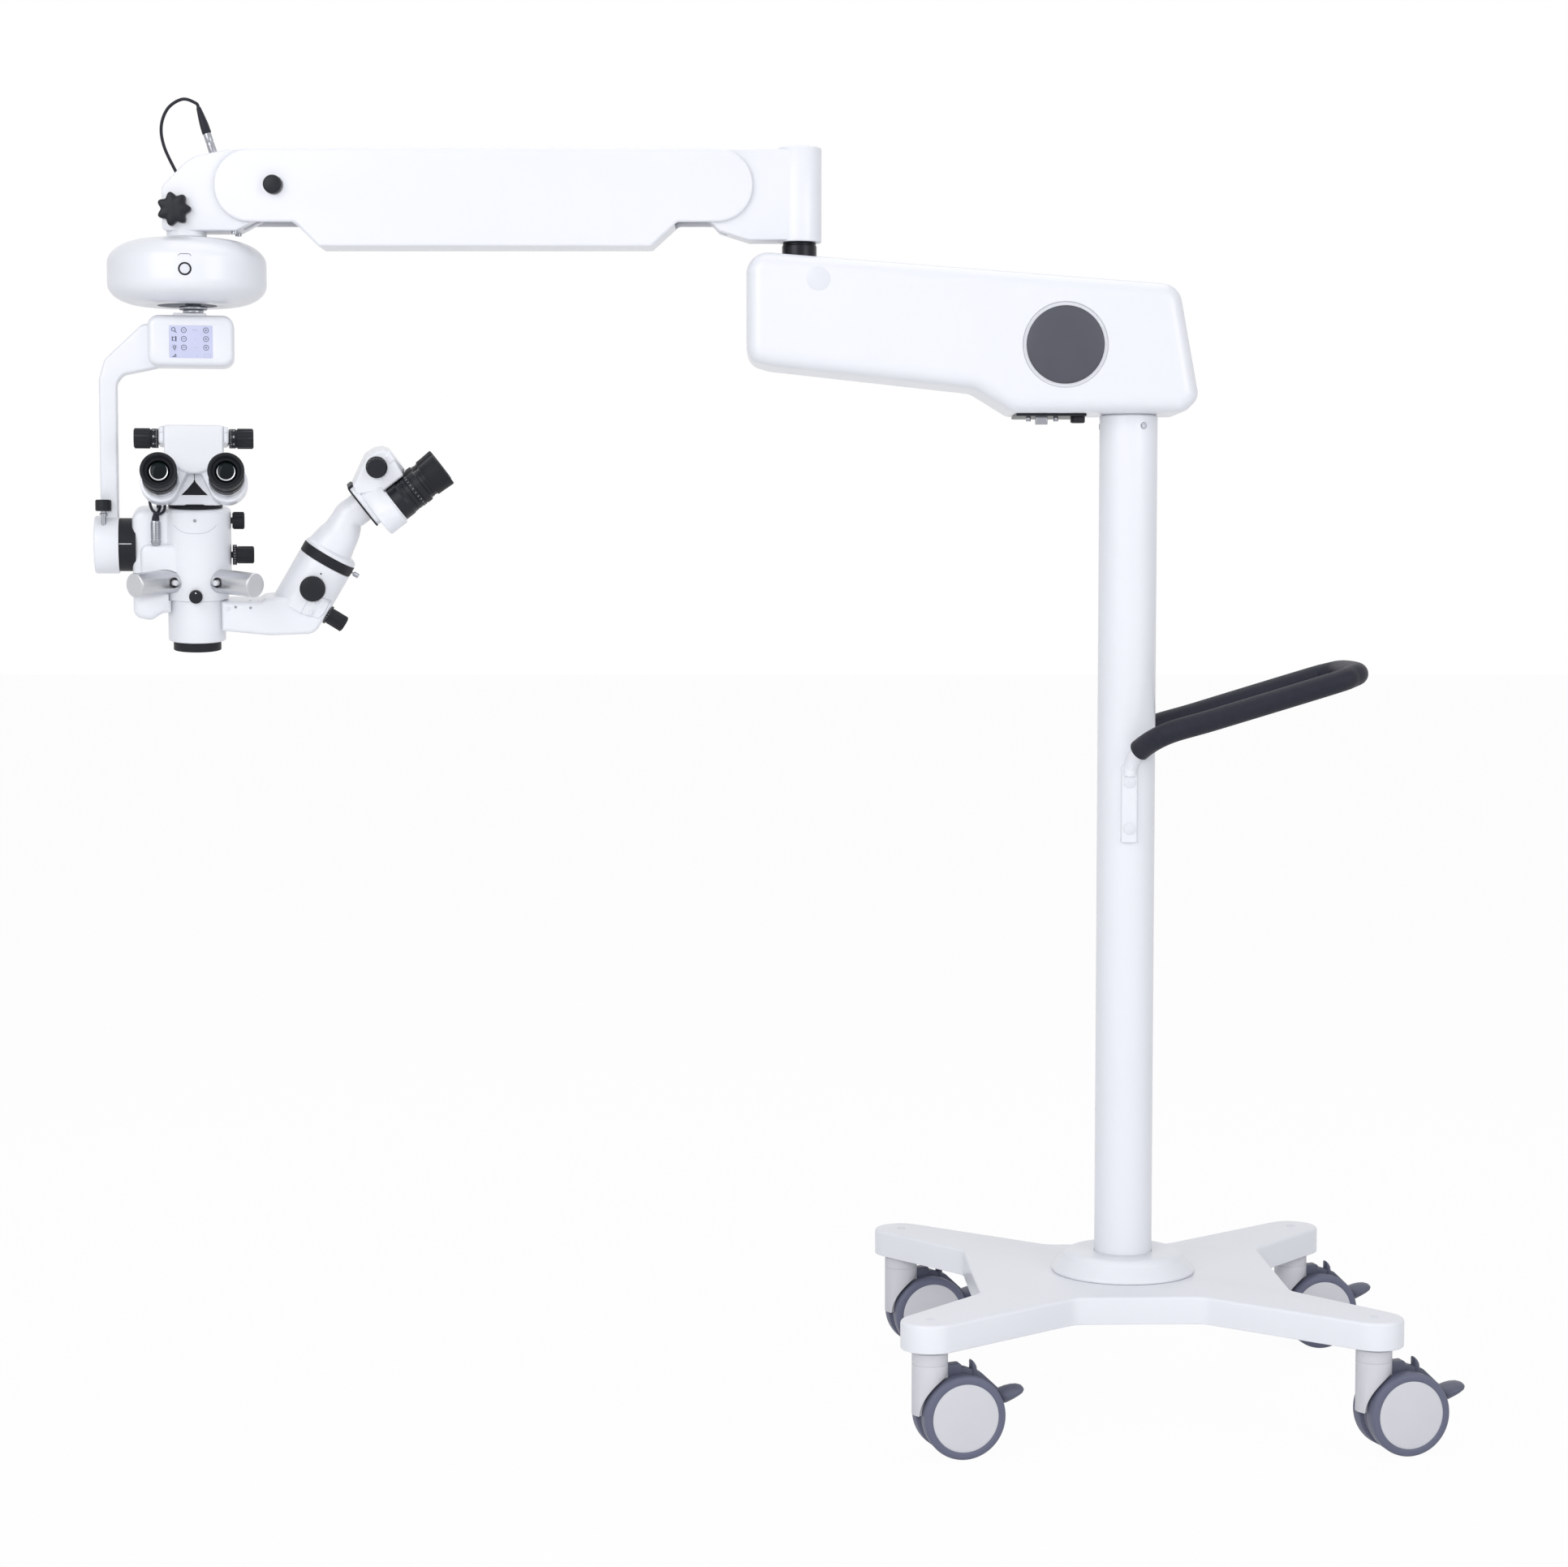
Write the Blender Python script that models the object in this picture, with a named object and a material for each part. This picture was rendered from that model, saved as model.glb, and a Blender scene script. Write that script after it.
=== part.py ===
"""Surgical microscope on a rolling floor stand, as separate pieces in metres, +Z up.

The origin is on the floor under the column's axis, the arms reach towards -X,
and the eyepieces face -Y.
"""
import math

import bmesh
import bpy
from mathutils import Matrix, Vector

# Clearance between pieces that touch or turn on each other
GAP = 0.0003

# Floor stand
BASE_YAW = math.radians(1.6)
PLATE_TOP = 0.164
PLATE_THICKNESS = 0.0335
PLATE_EDGE = 0.004
CASTER_REACH = 0.264
FOOT_RADIUS = 0.035
SIDE_NOTCH = 0.192
SIDE_STRAIGHT = 0.122
FRONT_NOTCH = 0.156
FRONT_STRAIGHT = 0.078
NOTCH_ROUNDING = 0.030
COLLAR_FOOT_RADIUS = 0.090
COLLAR_TOP_RADIUS = 0.071
COLLAR_HEIGHT = 0.026
COLUMN_RADIUS = 0.036
COLUMN_WALL = 0.003
COLUMN_SOCKET_DEPTH = 0.020
ARM_BOTTOM = 1.241
COLUMN_TOP = ARM_BOTTOM - GAP
SPIGOT_RADIUS = 0.024
SPIGOT_LENGTH = 0.075

# Casters
WHEEL_RADIUS = 0.050
WHEEL_WIDTH = 0.019
WHEEL_TRACK = 0.040
WHEEL_DISC_RADIUS = 0.0415
AXLE_RADIUS = 0.006
CASTER_TRAIL = 0.036
CASTER_YAW = math.radians(15)
STEM_RADIUS = 0.0215
STEM_PIN_RADIUS = 0.006
STEM_PIN_LENGTH = 0.022
YOKE_THICKNESS = 0.014
BRAKE_WIDTH = 0.012
PADDLE_WIDTH = 0.034

# Push handle
BRACKET_WIDTH = 0.0205
BRACKET_THICKNESS = 0.008
BRACKET_LOW = 0.710
BRACKET_HIGH = 0.806
BRACKET_CAP_RADIUS = 0.0075
BRACKET_CAP_SPACING = 0.058
TUBE_RADIUS = 0.009
GRIP_RADIUS = 0.0135
HANDLE_HALF_WIDTH = 0.092
HANDLE_REACH = 0.279
HANDLE_RISE = 0.306

# Lower arm
ARM_HALF_DEPTH = 0.075
ARM_EDGE = 0.020
ARM_LEFT = -0.475
ARM_RIGHT_TOP = 0.0545
ARM_RIGHT_LOW = 0.080
ARM_TOP_LEFT = 1.438
ARM_TOP_RIGHT = 1.397
ARM_LEFT_BOTTOM = 1.302
ARM_STEP_BOTTOM = 1.272
DOME_X = -0.0854
DOME_Z = 1.323
DOME_RADIUS = 0.0475
DOME_RISE = 0.008
RECESS_RADIUS = 0.052
RECESS_DEPTH = 0.003
PANEL_LEFT = -0.143
PANEL_RIGHT = -0.056
PANEL_HALF_DEPTH = 0.045
PANEL_THICKNESS = 0.003

# Elbow and upper arm
ELBOW_X = -0.410
POST_RADIUS = 0.0215
POST_SINK = 0.045
REAR_HEAD_LOW = 1.4535
REAR_HEAD_TOP = 1.570
REAR_HEAD_RADIUS = 0.0275
LINK_LENGTH = 0.5745
REAR_PIVOT_X = -0.512
PIVOT_Z = 1.521
LINK_DROP = 0.032
PIN_RADIUS = 0.005
EYE_RADIUS = 0.009
LINK_HALF_THICKNESS = 0.009
CHEEK_HALF_WIDTH = 0.0245
COVER_HALF_THICKNESS = 0.032
COVER_END_RADIUS = 0.045
COVER_WALL = 0.003
COVER_EDGE = 0.004
BELLY_LOW = 1.446
LIFT_LIMIT = math.radians(25)
SPRING_RADIUS = 0.0105
SPRING_WIRE = 0.0018
SPRING_TURNS = 7
SPRING_SEAT = 0.0015
BALANCE_KNOB_X = -1.057
BALANCE_KNOB_RADIUS = 0.0115

# Front head and XY unit
SPINDLE_X = -1.170
STAR_X = -1.179
STAR_Z = 1.4915
STAR_LOBES = 7
STAR_RADIUS = 0.021
STAR_DIP = 0.005
STAR_STEM_RADIUS = 0.004
STAR_STEM_DEPTH = 0.008
CABLE_RADIUS = 0.002
PLUG_RADIUS = 0.005
PLUG_LENGTH = 0.0625
PLUG_SINK = 0.003
HEAD_LEFT = -1.196
HEAD_LOW = 1.466
HEAD_TOP = 1.5655
NECK_RADIUS = 0.0245
NECK_LOW = 1.4597
XY_RADIUS = 0.0975
XY_TOP = 1.4565
XY_LOW = 1.376
XY_CAVITY_RADIUS = 0.088
XY_FLOOR = 0.013
CARRIAGE_THICKNESS = 0.012
FLANGE_RADIUS = 0.0175
SHAFT_RADIUS = 0.010
XY_TRAVEL = 0.016
XY_MOUTH_RADIUS = SHAFT_RADIUS + 0.004 + math.sqrt(2) * XY_TRAVEL
SHUTTER_RADIUS = XY_MOUTH_RADIUS + 0.001 + math.sqrt(2) * XY_TRAVEL
SHAFT_LOW = 1.355
BUTTON_RADIUS = 0.006
BUTTON_TRAVEL = 0.0015
STAGE_OFFSET = 0.007
HANG_YAW = math.radians(9)

# Carrier arm and tilting head; x is measured from the optical axis
TILT_Z = 1.080
HEAD_TILT = math.radians(7)
DISPLAY_LEFT = -0.0556
DISPLAY_RIGHT = 0.0498
DISPLAY_LOW = 1.2995
DISPLAY_TOP = 1.3627
DISPLAY_HALF_DEPTH = 0.028
SCREEN_LEFT = -0.029
SCREEN_RIGHT = 0.024
SCREEN_LOW = 1.3095
SCREEN_TOP = 1.3495
BAR_LEFT = -0.1155
BAR_WIDTH = 0.0218
BAR_HALF_DEPTH = 0.014
HUB_LEFT = -0.1235
HUB_RIGHT = -0.0935
HUB_RADIUS = 0.0358
TILT_RING_RADIUS = 0.033
TILT_RING_WIDTH = 0.0165
MOUNT_RIGHT = -0.030
MOUNT_LOW = 0.988
MOUNT_TOP = 1.1265
MOUNT_HALF_DEPTH = 0.030
LOCK_KNOB_RADIUS = 0.0095
LOCK_KNOB_HEIGHT = 0.014
BODY_RADIUS = 0.0435
SCOPE_FACETS = 20
BODY_LOW = 1.016
BODY_TOP = 1.127
CONE_LOW_RADIUS = 0.040
LOWER_RADIUS = 0.0355
SCOPE_NECK_RADIUS = 0.0265
LOWER_LOW = 0.960
LENS_RING_RADIUS = 0.0295
LENS_RING_LOW = 0.948
DOVETAIL_RADIUS = 0.0335
HANDLE_RADIUS = 0.015
HANDLE_LENGTH = 0.060
HANDLE_ANGLE = math.radians(45)
HANDLE_Z = 1.038
TRIGGER_RADIUS = 0.0035
SIDE_KNOB_RADIUS = 0.0105

# Binoculars
EYE_SPACING = 0.080
ASSISTANT_EYE_SPACING = 0.064
PRISM_SPACING = 0.028
PRISM_HALF_DEPTH = 0.013
EYE_SPIGOT_RADIUS = 0.0165
SPIGOT_BORE_RADIUS = EYE_SPIGOT_RADIUS + GAP
EYECUP_RADIUS = 0.02325
EYEPIECE_RADIUS = 0.0195
TUBE_ROOT_RADIUS = 0.022
IPD_KNOB_RADIUS = 0.0125

# Assistant scope; x is measured from the optical axis
ASSISTANT_LEAN = math.radians(30)
ASSISTANT_FOOT_X = 0.120
ASSISTANT_FOOT_Z = 0.990
ASSISTANT_TUBE_RADIUS = 0.035
ASSISTANT_RING_HEIGHT = 0.013
ASSISTANT_ARM_LOW = 0.969
ASSISTANT_ARM_TOP = 1.0145
ASSISTANT_ARM_HALF_WIDTH = 0.030
EYE_AXIS_RISE = math.radians(38)

WHITE = ("white enamel", (0.86, 0.87, 0.90), 0.35, 0.0)
GREY_RUBBER = ("grey blue tyre", (0.13, 0.14, 0.20), 0.55, 0.0)
CASTER_GREY = ("light grey plastic", (0.62, 0.62, 0.64), 0.45, 0.0)
BLACK = ("black plastic", (0.012, 0.012, 0.014), 0.35, 0.0)
FOAM = ("black foam grip", (0.012, 0.013, 0.020), 0.50, 0.0)
SILVER = ("satin aluminium", (0.62, 0.63, 0.65), 0.30, 1.0)
STEEL = ("bright steel", (0.55, 0.55, 0.57), 0.25, 1.0)

# Pieces whose joined faces lie too close together for the exact solver
CLOSE_FACED = ("binocular_base", "head_mount", "xy_housing", "xy_spindle", "front_head", "scope_body", "side_cover_front", "side_cover_back",
               "zoom_knob", "ipd_knob", "caster_yoke", "caster_brake")

X_AXIS = (1, 0, 0)
UP = (0, 0, 1)
FRONT = (0, -1, 0)
STANDING = Matrix.Rotation(math.radians(90), 4, "X")
guides = []


def paint(finish):
    """Principled material for a (name, colour, roughness, metallic) finish."""
    name, colour, roughness, metallic = finish
    made = bpy.data.materials.get(name)
    if made is None:
        made = bpy.data.materials.new(name)
        made.use_nodes = True
        shader = made.node_tree.nodes["Principled BSDF"]
        shader.inputs["Base Color"].default_value = (*colour, 1)
        shader.inputs["Roughness"].default_value = roughness
        shader.inputs["Metallic"].default_value = metallic
    return made


def at(x, y, z, axis=UP):
    """Placement at a point with the shape's local Z turned along an axis."""
    turn = Vector(UP).rotation_difference(Vector(axis)).to_matrix().to_4x4()
    return Matrix.Translation((x, y, z)) @ turn


def frame(name, parent=None, place=Matrix.Identity(4)):
    """Empty that carries the pieces of one moving group."""
    empty = bpy.data.objects.new(name, None)
    bpy.context.collection.objects.link(empty)
    empty.parent = parent
    empty.matrix_local = place
    return empty


def piece(name, shape, finish, home=None, place=Matrix.Identity(4)):
    """Named object from a bmesh shape, smooth except at its sharp edges."""
    mesh = bpy.data.meshes.new(name)
    bmesh.ops.recalc_face_normals(shape, faces=shape.faces)
    shape.to_mesh(mesh)
    shape.free()
    mesh.shade_smooth()
    mesh.set_sharp_from_angle(angle=math.radians(35))
    mesh.materials.append(paint(finish))
    made = bpy.data.objects.new(name, mesh)
    bpy.context.collection.objects.link(made)
    made.parent = home
    made.matrix_local = place
    return made


def combine(target, operation, shape, place=Matrix.Identity(4), home="same"):
    """Join a shape to a piece, or cut it away; place is in the piece's own home frame."""
    guide = piece(f"guide_{len(guides):03d}", shape, STEEL, target.parent if home == "same" else home, place)
    guide.hide_render = True
    guide.display_type = "WIRE"
    guides.append(guide)
    boolean = target.modifiers.new(operation.lower(), "BOOLEAN")
    boolean.operation = operation
    close_faced = target.name.endswith(CLOSE_FACED)
    boolean.solver = "MANIFOLD" if close_faced else "EXACT"
    boolean.object = guide
    return target


def join(target, shape, place=Matrix.Identity(4), home="same"):
    """Union of a piece and a shape."""
    return combine(target, "UNION", shape, place, home)


def cut(target, shape, place=Matrix.Identity(4), home="same"):
    """A piece with a shape taken out of it."""
    return combine(target, "DIFFERENCE", shape, place, home)


def bridge(shape, lower, upper):
    """Faces between two rings of points, either of which may be a single point."""
    count = max(len(lower), len(upper))
    for index in range(count):
        following = (index + 1) % count
        if len(lower) == 1:
            shape.faces.new((lower[0], upper[index], upper[following]))
        elif len(upper) == 1:
            shape.faces.new((lower[index], lower[following], upper[0]))
        else:
            shape.faces.new((lower[index], lower[following], upper[following], upper[index]))


def turned(profile, segments=20):
    """A (radius, height) profile turned about Z; it ends on the axis or closes on itself."""
    shape = bmesh.new()
    rings = []
    for radius, height in profile:
        if radius == 0:
            rings.append([shape.verts.new((0, 0, height))])
            continue
        angles = [2 * math.pi * index / segments for index in range(segments)]
        rings.append([shape.verts.new((radius * math.cos(a), radius * math.sin(a), height)) for a in angles])
    for lower, upper in zip(rings, rings[1:]):
        bridge(shape, lower, upper)
    if len(rings[0]) > 1:
        bridge(shape, rings[-1], rings[0])
    return shape


def rod(radius, low, high, segments=14, edge=0.0):
    """Round bar between two heights, its rims chamfered by edge."""
    if edge == 0:
        return turned([(0, low), (radius, low), (radius, high), (0, high)], segments)
    return turned([(0, low), (radius - edge, low), (radius, low + edge),
                   (radius, high - edge), (radius - edge, high), (0, high)], segments)


def arc(centre, radius, start, end, steps):
    """Points of an arc, angles in degrees."""
    angles = [math.radians(start + (end - start) * index / steps) for index in range(steps + 1)]
    return [(centre[0] + radius * math.cos(a), centre[1] + radius * math.sin(a)) for a in angles]


def round_corners(corners, step_angle=30):
    """Outline of (x, y, radius) corners with an arc of the radius at each, in steps of about an angle."""
    points = []
    for index, (x, y, radius) in enumerate(corners):
        here = Vector((x, y))
        before = (Vector(corners[index - 1][:2]) - here).normalized()
        after = (Vector(corners[(index + 1) % len(corners)][:2]) - here).normalized()
        if radius == 0:
            points.append(here)
            continue
        half = before.angle(after) / 2
        middle = here + (before + after).normalized() * (radius / math.sin(half))
        first = here + before * (radius / math.tan(half)) - middle
        last = here + after * (radius / math.tan(half)) - middle
        sweep = first.angle_signed(last)
        steps = max(1, math.ceil(abs(math.degrees(sweep)) / step_angle - 0.01))
        for step in range(steps + 1):
            points.append(middle + Matrix.Rotation(-sweep * step / steps, 2) @ first)
    return [tuple(point) for point in points]


def inset(corners, distance):
    """Corners of a counter-clockwise outline moved inwards, with their radii kept concentric."""
    moved = []
    for index, (x, y, radius) in enumerate(corners):
        here = Vector((x, y))
        arriving = (here - Vector(corners[index - 1][:2])).normalized()
        leaving = (Vector(corners[(index + 1) % len(corners)][:2]) - here).normalized()
        turn = arriving.cross(leaving)
        inward = (Vector((-arriving.y, arriving.x)) + Vector((-leaving.y, leaving.x))).normalized()
        reach = distance / inward.dot(Vector((-leaving.y, leaving.x)))
        kept = max(radius - distance, radius * 0.1) if turn > 0 else radius + distance
        moved.append((*(here + inward * reach), kept if radius else 0))
    return moved


def loft(sections):
    """Closed shape through outlines of equal length, each a list of 3-D points."""
    shape = bmesh.new()
    rings = [[shape.verts.new(point) for point in section] for section in sections]
    for lower, upper in zip(rings, rings[1:]):
        bridge(shape, lower, upper)
    shape.faces.new(reversed(rings[0]))
    shape.faces.new(rings[-1])
    return shape


def slab(corners, low, high, low_edge=0.0, high_edge=0.0, edge_steps=1, step_angle=45):
    """Outline extruded from low to high along Z, its rims rounded by quarter circles."""
    levels = []
    for step in range(edge_steps + 1):
        angle = math.pi / 2 * step / edge_steps
        levels.append((low_edge * (1 - math.sin(angle)), low + low_edge * (1 - math.cos(angle))))
    if low_edge == 0:
        levels = [(0, low)]
    crown = []
    for step in range(edge_steps + 1):
        angle = math.pi / 2 * (1 - step / edge_steps)
        crown.append((high_edge * (1 - math.sin(angle)), high - high_edge * (1 - math.cos(angle))))
    levels += [(0, high)] if high_edge == 0 else crown
    sections = []
    for shrink, height in levels:
        outline = round_corners(inset(corners, shrink) if shrink else corners, step_angle)
        sections.append([(x, y, height) for x, y in outline])
    return loft(sections)


def standing(shape):
    """A shape drawn in x and z: its outline stands upright and its height runs towards the front."""
    shape.transform(STANDING)
    return shape


def box_corners(left, right, low, high, radius=0.0):
    """Counter-clockwise corners of a rectangle."""
    return [(left, low, radius), (right, low, radius), (right, high, radius), (left, high, radius)]


def block(size, centre=(0, 0, 0), radius=0.0, edge=0.0):
    """Box of a size about a centre, with rounded uprights and rims."""
    corners = box_corners(centre[0] - size[0] / 2, centre[0] + size[0] / 2,
                          centre[1] - size[1] / 2, centre[1] + size[1] / 2, radius)
    return slab(corners, centre[2] - size[2] / 2, centre[2] + size[2] / 2, edge, edge, 1, 90)


def smooth_path(points, steps=4):
    """Points of a Catmull-Rom curve through the route's points, without those on its straight runs."""
    route = [Vector(point) for point in points]
    padded = [2 * route[0] - route[1], *route, 2 * route[-1] - route[-2]]
    curve = []
    for before, start, end, after in zip(padded, padded[1:], padded[2:], padded[3:]):
        for step in range(steps):
            t = step / steps
            curve.append(0.5 * (2 * start + (end - before) * t
                                + (2 * before - 5 * start + 4 * end - after) * t * t
                                + (3 * start - before - 3 * end + after) * t ** 3))
    curve.append(route[-1])
    kept = curve[:1]
    for point, following in zip(curve[1:], curve[2:]):
        if (point - kept[-1]).angle(following - point) > math.radians(4):
            kept.append(point)
    return kept + curve[-1:]


def swept(path, radius, sides=10):
    """Round tube along a path; radius may be a function of the share of the path run."""
    points = [Vector(point) for point in path]
    shape = bmesh.new()
    rings = []
    side = None
    for index, point in enumerate(points):
        ahead = points[min(index + 1, len(points) - 1)]
        behind = points[max(index - 1, 0)]
        forward = (ahead - behind).normalized()
        if side is None:
            side = forward.orthogonal().normalized()
        side = (side - forward * side.dot(forward)).normalized()
        other = forward.cross(side)
        width = radius(index / (len(points) - 1)) if callable(radius) else radius
        turns = [2 * math.pi * step / sides for step in range(sides)]
        rings.append([shape.verts.new(point + width * (side * math.cos(a) + other * math.sin(a))) for a in turns])
    for lower, upper in zip(rings, rings[1:]):
        bridge(shape, lower, upper)
    shape.faces.new(reversed(rings[0]))
    shape.faces.new(rings[-1])
    return shape


def tangent_corner(side, front, centre, radius):
    """Point where the lines from two notch corners, each touching a round foot, would meet."""
    lines = []
    for start, turn in ((side, -1), (front, 1)):
        towards = Vector(centre) - Vector(start)
        lean = turn * math.asin(radius / towards.length)
        lines.append((Vector(start), Matrix.Rotation(lean, 2) @ towards))
    (first, along), (second, across) = lines
    share = (second - first).cross(across) / along.cross(across)
    return first + along * share


def make_base(stand):
    """Cross-shaped base plate with a socket for the column and a blind bore over each caster."""
    foot = tangent_corner((SIDE_NOTCH, SIDE_STRAIGHT), (FRONT_STRAIGHT, FRONT_NOTCH),
                          (CASTER_REACH, CASTER_REACH), FOOT_RADIUS)
    quarter = [(SIDE_NOTCH, SIDE_STRAIGHT, NOTCH_ROUNDING), (foot.x, foot.y, FOOT_RADIUS),
               (FRONT_STRAIGHT, FRONT_NOTCH, NOTCH_ROUNDING)]
    corners = []
    for x_sign, y_sign in ((1, 1), (-1, 1), (-1, -1), (1, -1)):
        arm = [(x_sign * x, y_sign * y, radius) for x, y, radius in quarter]
        corners += arm if x_sign == y_sign else arm[::-1]
    bottom = PLATE_TOP - PLATE_THICKNESS
    plate = piece("base_plate", slab(corners, bottom, PLATE_TOP, 0.0, PLATE_EDGE, 1, 30), WHITE, stand)
    cut(plate, rod(COLUMN_RADIUS + GAP, PLATE_TOP - COLUMN_SOCKET_DEPTH - GAP, PLATE_TOP + 0.01, 28))
    for x, y in caster_places():
        cut(plate, rod(STEM_PIN_RADIUS + 2 * GAP, bottom - 0.01, bottom + STEM_PIN_LENGTH + GAP, 12), at(x, y, 0))
    collar_low = PLATE_TOP + GAP
    rounding = 0.006
    profile = [(COLUMN_RADIUS + GAP, collar_low), (COLLAR_FOOT_RADIUS, collar_low),
               (COLLAR_FOOT_RADIUS, collar_low + 0.004)]
    profile += arc((COLLAR_TOP_RADIUS - rounding, collar_low + COLLAR_HEIGHT - rounding), rounding, 30, 90, 2)
    profile += [(COLUMN_RADIUS + GAP, collar_low + COLLAR_HEIGHT)]
    piece("column_collar", turned(profile, 28), WHITE, stand)


def caster_places():
    """Swivel axes of the four casters in the stand's frame, front left first."""
    return [(x * CASTER_REACH, y * CASTER_REACH) for x, y in ((-1, -1), (1, -1), (1, 1), (-1, 1))]


def polar(radius, degrees, centre=(0, 0)):
    """Point at a distance and an angle from a centre."""
    return (centre[0] + radius * math.cos(math.radians(degrees)),
            centre[1] + radius * math.sin(math.radians(degrees)))


def caster_yoke_shape(name, home):
    """Stem and web of a twin-wheel caster, open for the wheels, the axle and the brake."""
    stem_top = PLATE_TOP - PLATE_THICKNESS - GAP
    stem_low = WHEEL_RADIUS + 0.005
    yoke = piece(name, rod(STEM_RADIUS, stem_low, stem_top, 14), CASTER_GREY, home)
    hub = at(CASTER_TRAIL, 0, WHEEL_RADIUS, FRONT)
    half = YOKE_THICKNESS / 2
    join(yoke, rod(WHEEL_RADIUS - 0.004, -half, half, 14), hub)
    hood = [(*polar(WHEEL_RADIUS - 0.012, 130), 0.002), (*polar(WHEEL_RADIUS - 0.012, 88), 0.002),
            (*polar(WHEEL_RADIUS + 0.011, 88), 0.004), (*polar(WHEEL_RADIUS + 0.014, 112), 0.004)]
    join(yoke, standing(slab(hood, -half, half)), at(CASTER_TRAIL, 0, WHEEL_RADIUS))
    wheel_inner = (WHEEL_TRACK - WHEEL_WIDTH) / 2 - 0.001
    wheel_outer = WHEEL_TRACK
    for low, high in ((wheel_inner, wheel_outer), (-wheel_outer, -wheel_inner)):
        cut(yoke, rod(WHEEL_RADIUS + 0.003, low, high, 16), hub)
    cut(yoke, rod(AXLE_RADIUS + GAP, -WHEEL_TRACK, WHEEL_TRACK, 16), hub)
    slot_half = BRAKE_WIDTH / 4 + GAP
    slot = [(*polar(0.012, 45), 0), (*polar(0.070, 2), 0), (*polar(0.080, 45), 0), (*polar(0.070, 87), 0)]
    cut(yoke, standing(slab(slot, -slot_half, slot_half)), at(CASTER_TRAIL, 0, WHEEL_RADIUS))
    pivot = polar(WHEEL_RADIUS - 0.016, 46, (CASTER_TRAIL, WHEEL_RADIUS))
    cut(yoke, rod(0.0025 + GAP, -WHEEL_TRACK, WHEEL_TRACK, 8), at(pivot[0], 0, pivot[1], FRONT))
    join(yoke, rod(STEM_PIN_RADIUS, stem_top - 0.005, stem_top + STEM_PIN_LENGTH, 12))
    return yoke


def caster_wheels_shape():
    """Both wheels of a caster with their axle, turned about the axle."""
    outer = (WHEEL_TRACK + WHEEL_WIDTH) / 2
    inner = (WHEEL_TRACK - WHEEL_WIDTH) / 2
    half = [(WHEEL_DISC_RADIUS, -outer + 0.0012), (WHEEL_DISC_RADIUS + 0.0012, -outer),
            (WHEEL_RADIUS - 0.0035, -outer), (WHEEL_RADIUS, -outer + 0.0045), (WHEEL_RADIUS - 0.001, -inner),
            (AXLE_RADIUS, -inner)]
    other = [(radius, -height) for radius, height in reversed(half)]
    face = outer - 0.0012
    return turned([(0, -face), *half, *other, (0, face)], 16)


def caster_brake_shape(name, home, pivot):
    """Rocker between the wheels with a release fin on top and a pedal behind; its origin is its pin."""
    half = BRAKE_WIDTH / 4
    rocker = [(*polar(0.024, 45), 0), (*polar(WHEEL_RADIUS + 0.001, 16), 0), (*polar(WHEEL_RADIUS + 0.010, 22), 0),
              (*polar(WHEEL_RADIUS + 0.005, 45), 0), (*polar(WHEEL_RADIUS + 0.010, 68), 0),
              (*polar(WHEEL_RADIUS + 0.003, 78), 0)]
    brake = piece(name, rod(0.0025, -YOKE_THICKNESS / 2, YOKE_THICKNESS / 2, 8), GREY_RUBBER, home,
                  at(pivot[0], 0, pivot[1], FRONT))
    for outline, width, edge in (
            (rocker, half, 0.0),
            (fin_outline(), YOKE_THICKNESS / 2, 0.0),
            (pedal_outline(), PADDLE_WIDTH / 2, 0.0)):
        join(brake, standing(slab(outline, -width, width, edge, edge, 1, 45)), at(CASTER_TRAIL, 0, WHEEL_RADIUS))
    return brake


def fin_outline():
    """Release fin that stands over the wheels, from the wheel's centre."""
    return [(*polar(WHEEL_RADIUS + 0.003, 76), 0.001), (*polar(WHEEL_RADIUS + 0.003, 66), 0.001),
            (*polar(WHEEL_RADIUS + 0.019, 66), 0.003), (*polar(WHEEL_RADIUS + 0.021, 73), 0.003)]


def pedal_outline():
    """Tongue-shaped foot pedal behind the wheels, from the wheel's centre."""
    return [(*polar(WHEEL_RADIUS + 0.0045, 17), 0.001), (*polar(WHEEL_RADIUS + 0.028, 14), 0.006),
            (*polar(WHEEL_RADIUS + 0.036, 24), 0.004), (*polar(WHEEL_RADIUS + 0.0045, 28), 0.001)]


def make_casters(stand):
    """Four twin-wheel casters, each a swivelling yoke, a pair of wheels and a brake."""
    names = ("front_left", "front_right", "rear_right", "rear_left")
    for name, (x, y) in zip(names, caster_places()):
        turn = Matrix.Rotation(CASTER_YAW - BASE_YAW, 4, "Z")
        swivel = frame(f"{name}_swivel", stand, Matrix.Translation((x, y, 0)) @ turn)
        caster_yoke_shape(f"{name}_caster_yoke", swivel)
        piece(f"{name}_caster_wheels", caster_wheels_shape(), GREY_RUBBER, swivel,
              at(CASTER_TRAIL, 0, WHEEL_RADIUS, FRONT))
        pivot = polar(WHEEL_RADIUS - 0.016, 46, (CASTER_TRAIL, WHEEL_RADIUS))
        caster_brake_shape(f"{name}_caster_brake", swivel, pivot)


def make_column():
    """Tubular column with a bearing spigot on top for the lower arm."""
    low = PLATE_TOP - COLUMN_SOCKET_DEPTH
    inside = COLUMN_RADIUS - COLUMN_WALL
    spigot_top = COLUMN_TOP + SPIGOT_LENGTH
    profile = [(0, COLUMN_TOP - 0.012), (inside, COLUMN_TOP - 0.012), (inside, low), (COLUMN_RADIUS, low),
               (COLUMN_RADIUS, COLUMN_TOP - 0.002), (COLUMN_RADIUS - 0.002, COLUMN_TOP),
               (SPIGOT_RADIUS, COLUMN_TOP), (SPIGOT_RADIUS, spigot_top), (0, spigot_top)]
    piece("column", turned(profile, 28), WHITE)


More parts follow.
